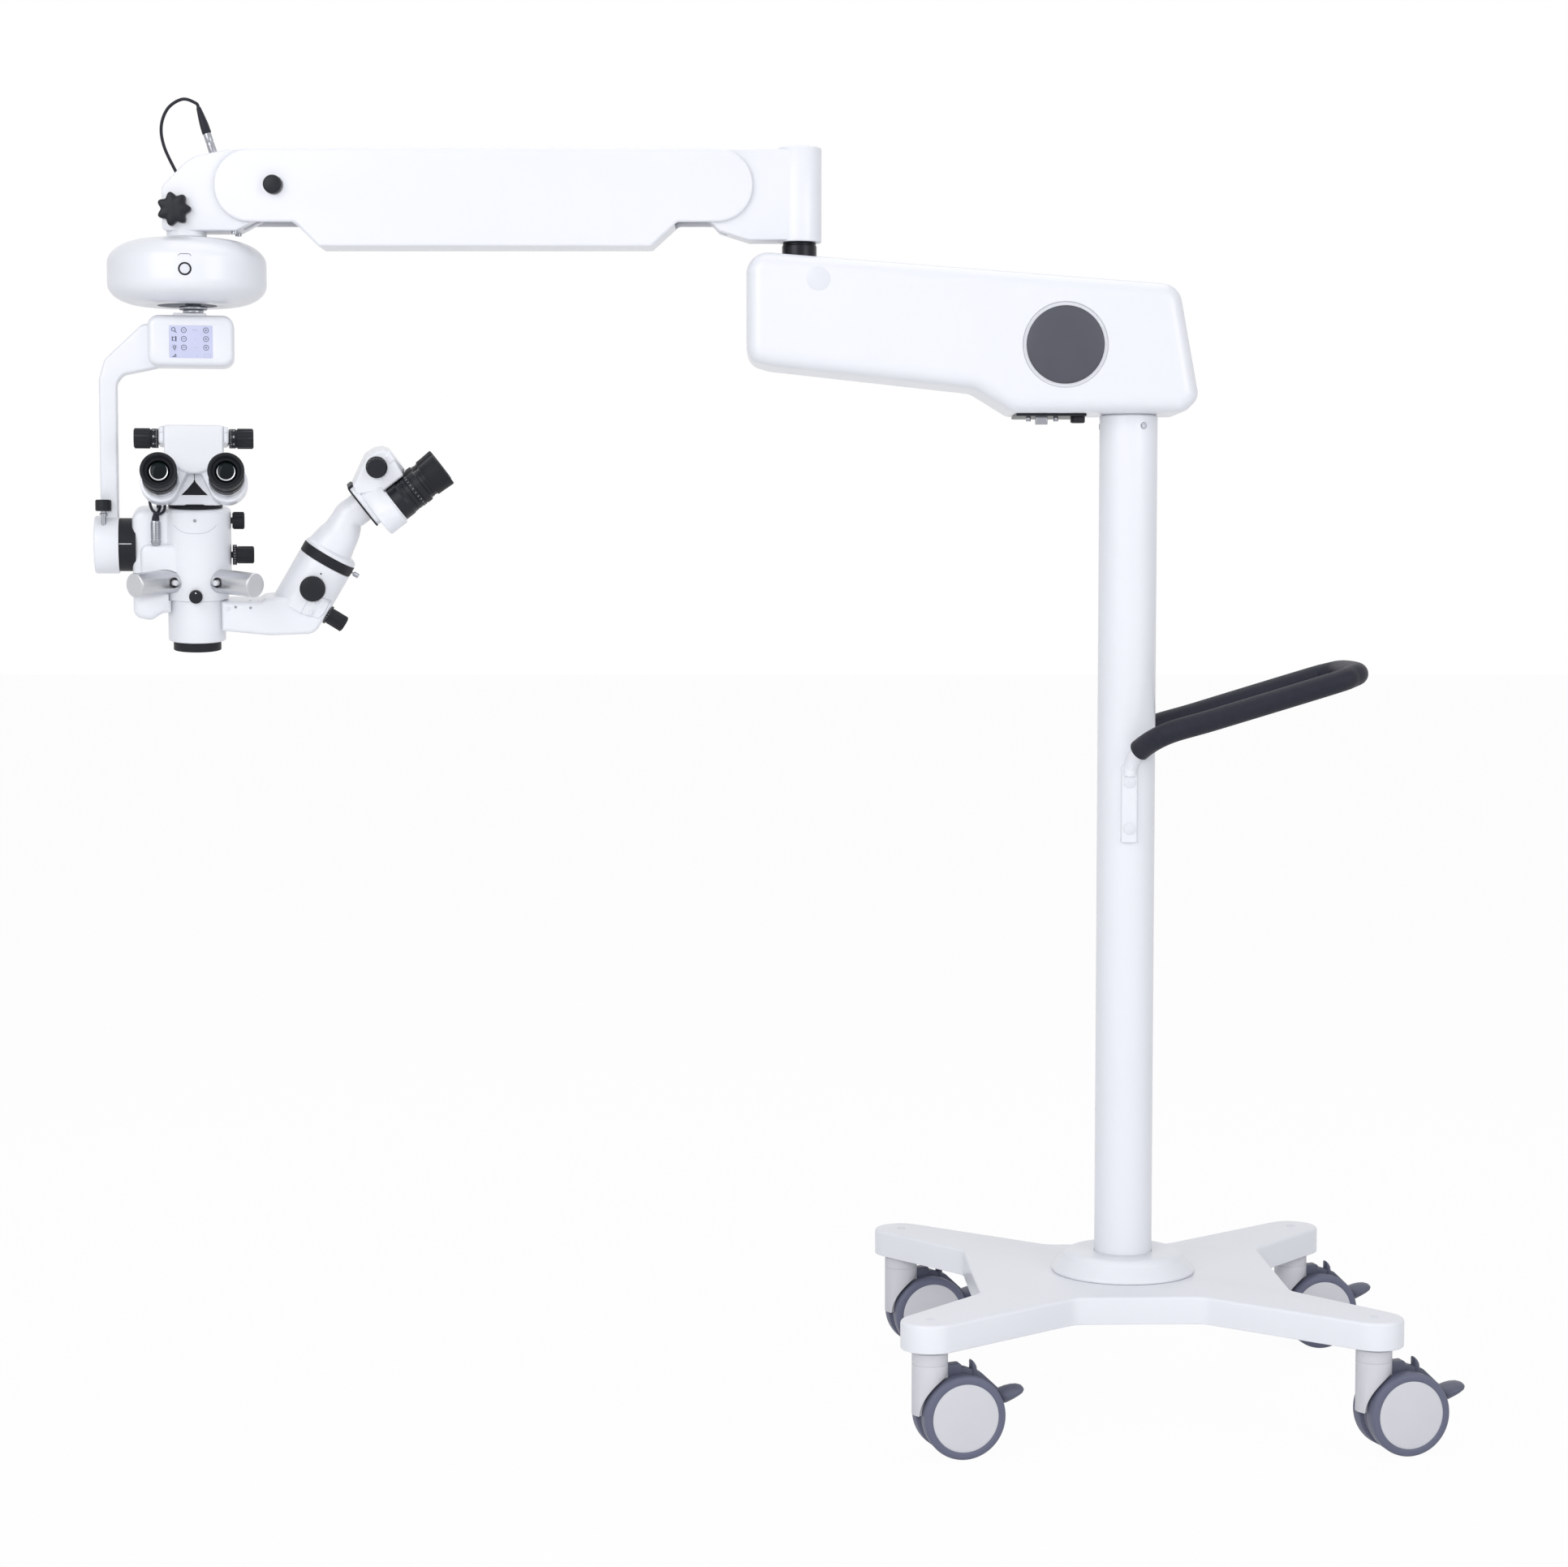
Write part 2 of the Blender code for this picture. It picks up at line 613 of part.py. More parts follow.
def handle_half_path():
    """Front half of the handle tube, from the bracket to the middle of the bend."""
    root = COLUMN_RADIUS + BRACKET_THICKNESS / 2
    corner = 0.042
    level = BRACKET_HIGH + 0.042
    straight_x = 0.040

    def along(x, y):
        return (x, y, level + HANDLE_RISE * (x - straight_x))

    return [(0, -root, BRACKET_HIGH - 0.012), (0.001, -root - 0.002, BRACKET_HIGH),
            (0.010, -root - 0.018, BRACKET_HIGH + 0.020),
            along(straight_x, -HANDLE_HALF_WIDTH + 0.004), along(straight_x + 0.060, -HANDLE_HALF_WIDTH),
            along(HANDLE_REACH - corner, -HANDLE_HALF_WIDTH),
            along(HANDLE_REACH - corner * 0.30, -HANDLE_HALF_WIDTH + corner * 0.30),
            along(HANDLE_REACH, -HANDLE_HALF_WIDTH + corner)]


def make_handle():
    """Push handle: a bent steel tube on two column brackets, with a foam grip over it."""
    half = handle_half_path()
    route = half + [(x, -y, z) for x, y, z in reversed(half)]
    path = smooth_path(route, 1)
    held = path[2:-2]
    tube = piece("handle_frame", swept(path, TUBE_RADIUS, 8), WHITE)
    for side in (-1, 1):
        middle = side * (COLUMN_RADIUS + BRACKET_THICKNESS / 2 - 0.003)
        size = (BRACKET_WIDTH, BRACKET_THICKNESS + 0.006, BRACKET_HIGH - BRACKET_LOW)
        join(tube, block(size, (0, middle, (BRACKET_HIGH + BRACKET_LOW) / 2), 0.003))
        face = COLUMN_RADIUS + BRACKET_THICKNESS
        for step in (0.25, 0.25 + BRACKET_CAP_SPACING / size[2]):
            cap_z = BRACKET_LOW + step * size[2] - 0.006
            join(tube, rod(BRACKET_CAP_RADIUS, face - 0.004, face + 0.0015, 10),
                 at(0, 0, cap_z, (0, side, 0)))
    cut(tube, rod(COLUMN_RADIUS + GAP, BRACKET_LOW - 0.05, BRACKET_HIGH + 0.05, 28))
    grip = piece("handle_grip", swept(held, GRIP_RADIUS, 10), FOAM)
    cut(grip, swept(path, TUBE_RADIUS + 3 * GAP, 8))


def arm_top(x):
    """Height of the lower arm's sloping top at an x."""
    share = (x - ARM_LEFT) / (ARM_RIGHT_TOP - ARM_LEFT)
    return ARM_TOP_LEFT + share * (ARM_TOP_RIGHT - ARM_TOP_LEFT)


def make_lower_arm(arm):
    """Deep lower arm housing with its round cover, underside panel and elbow post."""
    corners = [(ARM_LEFT, ARM_LEFT_BOTTOM + 0.004, 0.010), (ARM_LEFT + 0.028, ARM_LEFT_BOTTOM - 0.004, 0.020),
               (-0.195, ARM_STEP_BOTTOM - 0.002, 0.012), (-0.148, ARM_BOTTOM, 0.012),
               (ARM_RIGHT_LOW - 0.018, ARM_BOTTOM, 0.008), (ARM_RIGHT_LOW, ARM_BOTTOM + 0.018, 0.008),
               (ARM_RIGHT_TOP, ARM_TOP_RIGHT, 0.016), (ARM_LEFT, ARM_TOP_LEFT, 0.016)]
    corners = [(x, z, radius + ARM_EDGE * 0.5) for x, z, radius in corners]
    body = standing(slab(corners, -ARM_HALF_DEPTH, ARM_HALF_DEPTH, ARM_EDGE, ARM_EDGE, 2, 30))
    housing = piece("lower_arm_housing", body, WHITE, arm)
    spigot_top = COLUMN_TOP + SPIGOT_LENGTH
    cut(housing, rod(SPIGOT_RADIUS + GAP, ARM_BOTTOM - 0.01, spigot_top + GAP, 28))
    post_top = arm_top(ELBOW_X)
    cut(housing, rod(POST_RADIUS + GAP, post_top - POST_SINK - GAP, post_top + 0.05, 28), at(ELBOW_X, 0, 0))
    face = ARM_HALF_DEPTH - RECESS_DEPTH
    cut(housing, rod(RECESS_RADIUS, face, face + 0.02, 24), at(DOME_X, 0, DOME_Z, FRONT))
    seat = face + GAP
    crown = [(DOME_RADIUS * math.cos(math.radians(a)), seat + 0.003 + (DOME_RISE - 0.003) * math.sin(math.radians(a)))
             for a in (0, 35, 65)]
    dome = turned([(0, seat), (DOME_RADIUS, seat), *crown, (0, seat + DOME_RISE)], 24)
    piece("lower_arm_dome", dome, BLACK, arm, at(DOME_X, 0, DOME_Z, FRONT))
    profile = [(0, post_top - POST_SINK), (POST_RADIUS, post_top - POST_SINK), (POST_RADIUS, REAR_HEAD_LOW - GAP),
               (POST_RADIUS - 0.004, REAR_HEAD_LOW - GAP), (POST_RADIUS - 0.004, REAR_HEAD_LOW + POST_SINK),
               (0, REAR_HEAD_LOW + POST_SINK)]
    piece("elbow_post", turned(profile, 28), BLACK, arm, at(ELBOW_X, 0, 0))
    make_socket_panel(arm)


def make_socket_panel(arm):
    """Plate under the lower arm with its inlet, switch and two posts."""
    top = ARM_BOTTOM - GAP
    middle = (PANEL_LEFT + PANEL_RIGHT) / 2
    size = (PANEL_RIGHT - PANEL_LEFT, PANEL_HALF_DEPTH * 2, PANEL_THICKNESS)
    panel = piece("socket_panel", block(size, (middle, 0, top - PANEL_THICKNESS / 2), 0.004), BLACK, arm)
    low = top - PANEL_THICKNESS
    join(panel, block((0.015, 0.012, 0.012), (PANEL_LEFT + 0.032, -0.028, low - 0.004), 0.001))
    join(panel, rod(0.009, low - 0.008, low + 0.001, 16, 0.001), at(PANEL_RIGHT - 0.010, -0.028, 0))
    for x in (PANEL_LEFT + 0.016, PANEL_LEFT + 0.050):
        join(panel, rod(0.003, low - 0.006, low + 0.001, 10), at(x, -0.028, 0))


def fork(head, pivot_x, towards_arm):
    """Slot between a head's cheeks for the two links, with a pin across it for each."""
    inner = EYE_RADIUS + 0.0035
    left, right = sorted((pivot_x - towards_arm * inner, pivot_x + towards_arm * 0.05))
    slot = (right - left, (LINK_HALF_THICKNESS + GAP) * 2, 0.2)
    cut(head, block(slot, ((left + right) / 2, 0, PIVOT_Z)))
    for z in (PIVOT_Z, PIVOT_Z - LINK_DROP):
        pin = CHEEK_HALF_WIDTH - 0.004
        join(head, rod(PIN_RADIUS, -pin, pin, 14), at(pivot_x, 0, z, FRONT))


def cheek_corners(pivot_x, side):
    """Head outline round the pivots inside the covers, from below; side is +1 where the cheeks end at +X."""
    reach = side * (EYE_RADIUS + 0.003)
    return [(pivot_x - side * 0.003, PIVOT_Z - 0.055, 0.004), (pivot_x + reach, PIVOT_Z - 0.039, 0.008),
            (pivot_x + reach, PIVOT_Z + 0.027, 0.010), (pivot_x - side * 0.005, HEAD_TOP, 0.003)]


def make_rear_head(head):
    """Cylinder on the elbow post with a forked block that holds the links."""
    radius = CHEEK_HALF_WIDTH
    rear = piece("rear_head", rod(REAR_HEAD_RADIUS, REAR_HEAD_LOW, REAR_HEAD_TOP, 24, 0.002), WHITE, head)
    corners = [(0, HEAD_TOP, 0), *reversed(cheek_corners(REAR_PIVOT_X - ELBOW_X, -1)),
               (REAR_PIVOT_X - ELBOW_X + 0.040, REAR_HEAD_LOW + 0.001, 0.006), (0, REAR_HEAD_LOW + 0.001, 0)]
    join(rear, standing(slab(corners, -radius, radius, 0.002, 0.002, 1)))
    fork(rear, REAR_PIVOT_X - ELBOW_X, -1)
    bore = POST_RADIUS - 0.004 + GAP
    cut(rear, rod(bore, REAR_HEAD_LOW - 0.01, REAR_HEAD_LOW + POST_SINK + GAP, 28))


def link_shape():
    """Flat link with an eye at each end, from the rear pivot towards -X."""
    return standing(slab([(-LINK_LENGTH - EYE_RADIUS, -EYE_RADIUS, EYE_RADIUS * 0.98),
                          (EYE_RADIUS, -EYE_RADIUS, EYE_RADIUS * 0.98), (EYE_RADIUS, EYE_RADIUS, EYE_RADIUS * 0.98),
                          (-LINK_LENGTH - EYE_RADIUS, EYE_RADIUS, EYE_RADIUS * 0.98)],
                         -LINK_HALF_THICKNESS, LINK_HALF_THICKNESS))


def make_link(name, home):
    """Link with a bore for the pin at each end; its origin is the rear pin."""
    link = piece(name, link_shape(), STEEL, home)
    for x in (0, -LINK_LENGTH):
        cut(link, rod(PIN_RADIUS + GAP, -0.02, 0.02, 14), at(x, 0, 0, FRONT))
    return link


def make_upper_arm(lift):
    """Parallel-link arm: upper link with its balance spring, two cover shells and the balance knob."""
    link = make_link("upper_link", lift)
    spring_z = EYE_RADIUS + 0.002 + SPRING_RADIUS
    lugs = (-0.10, -0.44)
    for x in lugs:
        join(link, block((0.008, 0.016, spring_z + 0.010), (x, 0, (spring_z + 0.006) / 2), 0.001))
    join(link, rod(0.004, lugs[1], lugs[0], 12), at(0, 0, spring_z, X_AXIS))
    coil = SPRING_RADIUS - SPRING_WIRE
    start = lugs[1] + 0.004 + SPRING_SEAT
    length = lugs[0] - 0.004 - SPRING_SEAT - start
    steps = SPRING_TURNS * 6
    path = [(start + length * i / steps, coil * math.cos(2 * math.pi * i / 6), coil * math.sin(2 * math.pi * i / 6))
            for i in range(steps + 1)]
    piece("balance_spring", swept(path, SPRING_WIRE, 4), STEEL, lift, Matrix.Translation((0, 0, spring_z)))
    for name, side in (("side_cover_front", 1), ("side_cover_back", -1)):
        make_cover(name, side, lift)
    knob_x = BALANCE_KNOB_X - REAR_PIVOT_X
    face = COVER_HALF_THICKNESS + GAP
    knob = turned([(0, LINK_HALF_THICKNESS + GAP), (0.004, LINK_HALF_THICKNESS + GAP), (0.004, face),
                   (BALANCE_KNOB_RADIUS, face), (BALANCE_KNOB_RADIUS, face + 0.008),
                   (BALANCE_KNOB_RADIUS - 0.003, face + 0.011), (0, face + 0.012)], 18)
    piece("balance_knob", knob, BLACK, lift, at(knob_x, 0, 0, FRONT))


def cover_corners():
    """Outline of the cover from the rear pivot: round ends on the pivots and a deeper belly between them."""
    right = COVER_END_RADIUS
    left = -LINK_LENGTH - COVER_END_RADIUS
    rounding = COVER_END_RADIUS * 0.98
    belly = BELLY_LOW - PIVOT_Z
    return [(left, -COVER_END_RADIUS, rounding), (-LINK_LENGTH + 0.0545, -COVER_END_RADIUS, 0.006),
            (-LINK_LENGTH + 0.0845, belly, 0.004), (-0.081, belly, 0.004), (-0.048, -COVER_END_RADIUS, 0.006),
            (right, -COVER_END_RADIUS, rounding), (right, COVER_END_RADIUS, rounding),
            (left, COVER_END_RADIUS, rounding)]


def make_cover(name, side, home):
    """Half shell of the upper arm, open to its other half and at both ends for the heads."""
    corners = cover_corners()
    outer = slab(corners, GAP / 2, COVER_HALF_THICKNESS, 0.0, COVER_EDGE, 1, 30)
    cover = piece(name, standing(flipped(outer, side)), WHITE, home)
    inner = slab(inset(corners, COVER_WALL), -0.01, COVER_HALF_THICKNESS - COVER_WALL, 0.0, 0.0, 1, 30)
    cut(cover, standing(flipped(inner, side)))
    depth = COVER_HALF_THICKNESS - COVER_WALL
    top_end = COVER_END_RADIUS * math.tan(LIFT_LIMIT) + 0.004
    low_end = 0.052
    for x_far, x_near_top, x_near_low in ((0.1, -top_end, -low_end),
                                          (-LINK_LENGTH - 0.1, -LINK_LENGTH + top_end, -LINK_LENGTH + low_end)):
        for near, low, high in ((x_near_top, 0.0, 0.1), (x_near_low, -0.1, 0.001)):
            opening = box_corners(min(x_far, near), max(x_far, near), low, high)
            cut(cover, standing(flipped(slab(opening, -0.01, depth + 0.0002), side)))
    for x in (-0.19, -0.36):
        boss = rod(0.005, LINK_HALF_THICKNESS + GAP, depth + 0.001, 12)
        join(cover, boss, at(x, 0, 0, (0, -side, 0)))
    if side > 0:
        cut(cover, rod(0.004 + GAP, 0, 0.05, 14), at(BALANCE_KNOB_X - REAR_PIVOT_X, 0, 0, FRONT))


def flipped(shape, side):
    """The shape, mirrored in Z for the back half."""
    if side < 0:
        shape.transform(Matrix.Diagonal((1, 1, -1, 1)))
    return shape


def make_front_head(head):
    """Forked head over the spindle; its origin is the front pin."""
    front_x = REAR_PIVOT_X - LINK_LENGTH
    spindle = SPINDLE_X - front_x
    left = HEAD_LEFT - front_x

    corners = [(left, HEAD_LOW, 0.004), (spindle + 0.065, HEAD_LOW, 0.004), *cheek_corners(0, 1)[1:],
               (spindle + 0.058, HEAD_TOP, 0.030), (spindle + 0.010, HEAD_TOP - 0.009, 0.050),
               (left, HEAD_TOP - 0.0455, 0.012)]
    corners = [(x, z - PIVOT_Z, radius) for x, z, radius in corners]
    half = CHEEK_HALF_WIDTH
    body = piece("front_head", standing(slab(corners, -half, half, 0.003, 0.003, 1, 30)), WHITE, head)
    join(body, rod(NECK_RADIUS, NECK_LOW - PIVOT_Z, HEAD_LOW - PIVOT_Z + 0.01, 24), at(spindle, 0, 0))
    inner = EYE_RADIUS + 0.0035
    slot = (0.05 + inner, (LINK_HALF_THICKNESS + GAP) * 2, 0.2)
    cut(body, block(slot, (0.05 - slot[0] / 2, 0, 0)))
    for z in (0, -LINK_DROP):
        join(body, rod(PIN_RADIUS, -half + 0.004, half - 0.004, 14), at(0, 0, z, FRONT))
    cut(body, rod(0.008 + GAP, NECK_LOW - PIVOT_Z - 0.01, NECK_LOW - PIVOT_Z + 0.030 + GAP, 16), at(spindle, 0, 0))
    make_star_knob(body, head, front_x)
    make_loop_cable(body, head, front_x)


def make_star_knob(body, head, front_x):
    """Seven-lobed clamping knob on the head's front face, its stem in a bore."""
    place = at(STAR_X - front_x, -CHEEK_HALF_WIDTH, STAR_Z - PIVOT_Z, FRONT)
    cut(body, rod(STAR_STEM_RADIUS + GAP, -STAR_STEM_DEPTH - GAP, 0.01, 12), place)
    hub = [(0, -STAR_STEM_DEPTH), (STAR_STEM_RADIUS, -STAR_STEM_DEPTH), (STAR_STEM_RADIUS, GAP), (0.011, GAP),
           (0.011, 0.004), (0, 0.004)]
    knob = piece("star_knob", turned(hub, 14), BLACK, head, place)
    sections = []
    for shrink, height in ((0.002, 0.003), (0, 0.005), (0, 0.0125), (0.003, 0.0145)):
        ring = []
        for index in range(STAR_LOBES * 3):
            angle = 2 * math.pi * index / (STAR_LOBES * 3)
            reach = STAR_RADIUS - shrink - STAR_DIP * (1 - math.cos(STAR_LOBES * angle)) / 2
            ring.append((reach * math.cos(angle), reach * math.sin(angle), height))
        sections.append(ring)
    join(knob, loft(sections), place)


def make_loop_cable(body, head, front_x):
    """Thin cable that leaves the head's slope, loops over it and returns in a plug."""
    origin = Vector((front_x, 0, PIVOT_Z))
    root = Vector((-1.1345, 0, 1.5600)) - origin
    axis = (Vector((-1.1535, 0, 1.6195)) - origin - root).normalized()
    route = [(-1.1779, 1.5333), (-1.1806, 1.5376), (-1.1963, 1.571), (-1.1997, 1.597), (-1.191, 1.6188),
             (-1.173, 1.6297), (-1.157, 1.6250)]
    points = [Vector((x, 0, z)) - origin for x, z in route]
    points += [root + axis * PLUG_LENGTH, root + axis * (PLUG_LENGTH - 0.004)]
    path = smooth_path(points, 2)
    start = points[0] - (points[1] - points[0]).normalized() * 0.002
    cut(body, swept([start, points[1] + (points[1] - points[0]) * 2], CABLE_RADIUS + 4 * GAP, 8))
    cut(body, rod(PLUG_RADIUS + GAP, -PLUG_SINK - GAP, 0.02, 14), at(*root, axis))
    boot = 0.029
    neck = CABLE_RADIUS + 0.0008
    bore = CABLE_RADIUS + GAP
    profile = [(0, -PLUG_SINK), (PLUG_RADIUS, -PLUG_SINK), (PLUG_RADIUS, boot), (PLUG_RADIUS + 0.0005, boot),
               (PLUG_RADIUS + 0.0002, boot + 0.012), (neck, PLUG_LENGTH), (bore, PLUG_LENGTH),
               (bore, PLUG_LENGTH - 0.0045), (0, PLUG_LENGTH - 0.0045)]
    piece("loop_plug", turned(profile, 14), STEEL, head, at(*root, axis))
    piece("loop_cable", swept(path, CABLE_RADIUS, 8), BLACK, head)


def make_xy_unit(turntable):
    """Round XY housing, the carriage inside it and the button on its front."""
    floor = XY_LOW + XY_FLOOR
    rounding = 0.026
    side_low = XY_LOW + rounding
    side_high = XY_TOP - rounding - 0.004
    profile = [(0, XY_LOW), (XY_RADIUS - 0.042, XY_LOW)]
    profile += [(XY_RADIUS - 0.042 + 0.042 * math.sin(a), side_low - rounding * math.cos(a))
                for a in (math.radians(d) for d in (28, 56, 84))]
    profile += [(XY_RADIUS - 0.052 + 0.052 * math.cos(a), side_high + (XY_TOP - side_high) * math.sin(a))
                for a in (math.radians(d) for d in (14, 42, 70))]
    profile += [(NECK_RADIUS + 0.006, XY_TOP), (NECK_RADIUS, NECK_LOW - GAP), (0, NECK_LOW - GAP)]
    housing = piece("xy_housing", turned(profile, 24), WHITE, turntable)
    join(housing, rod(0.008, NECK_LOW - 0.004, NECK_LOW + 0.030, 16))
    ceiling = floor + GAP * 3 + 0.004 + 2 * CARRIAGE_THICKNESS + 0.012
    cut(housing, rod(XY_CAVITY_RADIUS, floor, ceiling, 20))
    cut(housing, rod(XY_MOUTH_RADIUS, XY_LOW - 0.01, floor + 0.001, 18))
    button_z = 1.4125
    seat = XY_RADIUS - 0.0035
    cut(housing, rod(BUTTON_RADIUS + GAP, seat - 0.0016 - BUTTON_TRAVEL - GAP, XY_RADIUS + 0.01, 14),
        at(0, 0, button_z, FRONT))
    button = turned([(0, seat - 0.0016), (BUTTON_RADIUS, seat - 0.0016), (BUTTON_RADIUS, seat + 0.0035),
                     (BUTTON_RADIUS - 0.0015, seat + 0.0045), (0, seat + 0.0045)], 14)
    piece("centre_button", button, WHITE, turntable, at(0, 0, button_z, FRONT))
    rail = 0.012
    carriage_low = ceiling - GAP - CARRIAGE_THICKNESS
    carriage = piece("xy_carriage",
                     block((0.084, 0.090, CARRIAGE_THICKNESS), (0, 0, carriage_low + CARRIAGE_THICKNESS / 2), 0.004),
                     SILVER, turntable)
    for y in (-0.030, 0.030):
        cut(carriage, block((0.2, rail + 2 * GAP, 0.008), (0, y, carriage_low)))
    slide = frame("stage_slide", turntable, Matrix.Translation((STAGE_OFFSET, 0, 0)))
    top = carriage_low - GAP
    shutter = floor + GAP
    collar = SHAFT_RADIUS + 0.003
    profile = [(0, SHAFT_LOW), (SHAFT_RADIUS, SHAFT_LOW), (SHAFT_RADIUS, XY_LOW - 0.010), (collar, XY_LOW - 0.010),
               (collar, XY_LOW - 0.0055), (FLANGE_RADIUS, XY_LOW - 0.0055), (FLANGE_RADIUS, XY_LOW - 0.001),
               (SHAFT_RADIUS, XY_LOW - 0.001), (SHAFT_RADIUS, shutter), (SHUTTER_RADIUS, shutter),
               (SHUTTER_RADIUS, shutter + 0.003), (SHAFT_RADIUS, shutter + 0.003), (SHAFT_RADIUS, top - 0.001),
               (0, top - 0.001)]
    spindle = piece("xy_spindle", turned(profile, 16), STEEL, slide)
    join(spindle, block((0.070, 0.080, CARRIAGE_THICKNESS), (0, 0, top - CARRIAGE_THICKNESS / 2), 0.004))
    for y in (-0.030, 0.030):
        join(spindle, block((0.070, rail, 0.006), (0, y, top + 0.001)))
    return slide


def make_carrier(carrier):
    """Carrier arm: display housing at the top, bent bar and round tilt hub; turns on the spindle."""
    depth = DISPLAY_HALF_DEPTH
    corners = box_corners(DISPLAY_LEFT, DISPLAY_RIGHT, DISPLAY_LOW, DISPLAY_TOP, 0.014)
    arm = piece("carrier_arm", standing(slab(corners, -depth, depth, 0.008, 0.008, 1)), WHITE, carrier)
    right = BAR_LEFT + BAR_WIDTH
    bar = [(BAR_LEFT, TILT_Z, 0), (right, TILT_Z, 0), (right, 1.279, 0.012), (right + 0.008, 1.2895, 0.010),
           (DISPLAY_LEFT + 0.012, DISPLAY_LOW - 0.001, 0.010), (DISPLAY_LEFT + 0.030, DISPLAY_LOW + 0.020, 0.002),
           (DISPLAY_LEFT + 0.030, DISPLAY_TOP - 0.012, 0.002), (DISPLAY_LEFT - 0.006, DISPLAY_TOP - 0.010, 0.012),
           (BAR_LEFT + 0.007, 1.308, 0.010), (BAR_LEFT, 1.284, 0.012)]
    half = BAR_HALF_DEPTH
    join(arm, standing(slab(bar, -half, half, 0.004, 0.004, 1)))
    hub_length = HUB_RIGHT - HUB_LEFT
    join(arm, rod(HUB_RADIUS, 0, hub_length, 28, 0.003), at(HUB_LEFT, 0, TILT_Z, X_AXIS))
    mount_top = SHAFT_LOW + 0.0105
    join(arm, block((0.040, 0.040, mount_top - DISPLAY_TOP + 0.006), (-0.004, 0, (mount_top + DISPLAY_TOP - 0.006) / 2),
                    0.002, 0.001))
    cut(arm, rod(SHAFT_RADIUS + GAP, SHAFT_LOW - GAP, mount_top + 0.01, 18))
    screen = box_corners(SCREEN_LEFT, SCREEN_RIGHT, SCREEN_LOW, SCREEN_TOP, 0.001)
    cut(arm, standing(slab(screen, depth - 0.0008, depth + 0.01)))
    knob_x = BAR_LEFT + 0.004
    bore_low = TILT_Z + 0.014
    cut(arm, rod(0.003 + GAP, bore_low, TILT_Z + 0.09, 12), at(knob_x, -BAR_HALF_DEPTH - 0.0105, 0))
    top = TILT_Z + HUB_RADIUS
    base = top + 0.0052
    high = base + LOCK_KNOB_HEIGHT
    knob = turned([(0, bore_low + GAP), (0.003, bore_low + GAP), (0.003, base), (LOCK_KNOB_RADIUS, base),
                   (LOCK_KNOB_RADIUS, high - 0.001), (LOCK_KNOB_RADIUS - 0.001, high), (0, high)], 20)
    piece("tilt_lock_knob", knob, BLACK, carrier, at(knob_x, -BAR_HALF_DEPTH - 0.0105, 0))
    cut(arm, rod(TILT_RING_RADIUS * 0.4 + GAP, hub_length - 0.015 - GAP, hub_length + 0.02, 20),
        at(HUB_LEFT, 0, TILT_Z, X_AXIS))


def body_profile(extra=0.0):
    """Scope body from the objective ring to the dovetail, measured from the tilt axis."""
    z = -TILT_Z
    return [(0, LENS_RING_LOW + z - extra), (LENS_RING_RADIUS + extra, LENS_RING_LOW + z - extra),
            (LENS_RING_RADIUS + extra, LOWER_LOW + z - GAP), (SCOPE_NECK_RADIUS + extra, LOWER_LOW + z - GAP),
            (SCOPE_NECK_RADIUS + extra, BODY_LOW + z - 0.003), (CONE_LOW_RADIUS - 0.0015 + extra, BODY_LOW + z - 0.003),
            (CONE_LOW_RADIUS + extra, BODY_LOW + z + 0.0015), (BODY_RADIUS + extra, BODY_LOW + z + 0.030),
            (BODY_RADIUS + extra, BODY_TOP + z - 0.006 + extra), (BODY_RADIUS - 0.006 + extra, BODY_TOP + z + extra),
            (0, BODY_TOP + z + extra)]


def make_head_mount(head):
    """Tilt ring, its spigot in the hub and the box on the body's left side."""
    ring_left = HUB_RIGHT + GAP
    box_left = HUB_RIGHT + TILT_RING_WIDTH
    low, top = MOUNT_LOW - TILT_Z, MOUNT_TOP - TILT_Z
    corners = [(box_left, low + 0.004, 0.010), (box_left + 0.022, low, 0.006), (box_left + 0.036, low + 0.009, 0.006),
               (MOUNT_RIGHT, low + 0.009, 0.002), (MOUNT_RIGHT, top, 0.002), (box_left, top, 0.014)]
    half = MOUNT_HALF_DEPTH
    mount = piece("head_mount", standing(slab(corners, -half, half, 0.008, 0.010, 1)), WHITE, head)
    boss = box_corners(box_left + 0.010, MOUNT_RIGHT + 0.01, -0.045, 0.004, 0.010)
    join(mount, standing(slab(boss, 0, half + 0.008, 0.0, 0.006, 1)))
    join(mount, rod(TILT_RING_RADIUS, 0, TILT_RING_WIDTH + 0.004, 28), at(ring_left, 0, 0, X_AXIS))
    join(mount, rod(TILT_RING_RADIUS * 0.4, -0.015, 0.002, 20), at(ring_left, 0, 0, X_AXIS))
    cut(mount, turned(body_profile(GAP), SCOPE_FACETS))
    cut(mount, rod(CONE_LOW_RADIUS, low - 0.05, BODY_LOW - TILT_Z - 0.001, 20))
    place, direction = handle_place(-1)
    cut(mount, rod(HANDLE_RADIUS + 2 * GAP, -0.02, HANDLE_LENGTH, 22), place)
    join(mount, rod(0.006, 0.004, 0.028, 14, 0.001), at(box_left + 0.026, -half - 0.004, 0))
    return mount


def knurled(radius, low, high, ridges, depth, edge=0.0005):
    """Knob with straight ridges round it, a little narrower at its far end."""
    sections = []
    for shrink, height in ((0, low), (edge, high)):
        outline = []
        for index in range(ridges * 2):
            angle = math.pi * index / ridges
            reach = radius - shrink - (depth if index % 2 else 0)
            outline.append((reach * math.cos(angle), reach * math.sin(angle), height))
        sections.append(outline)
    return loft(sections)


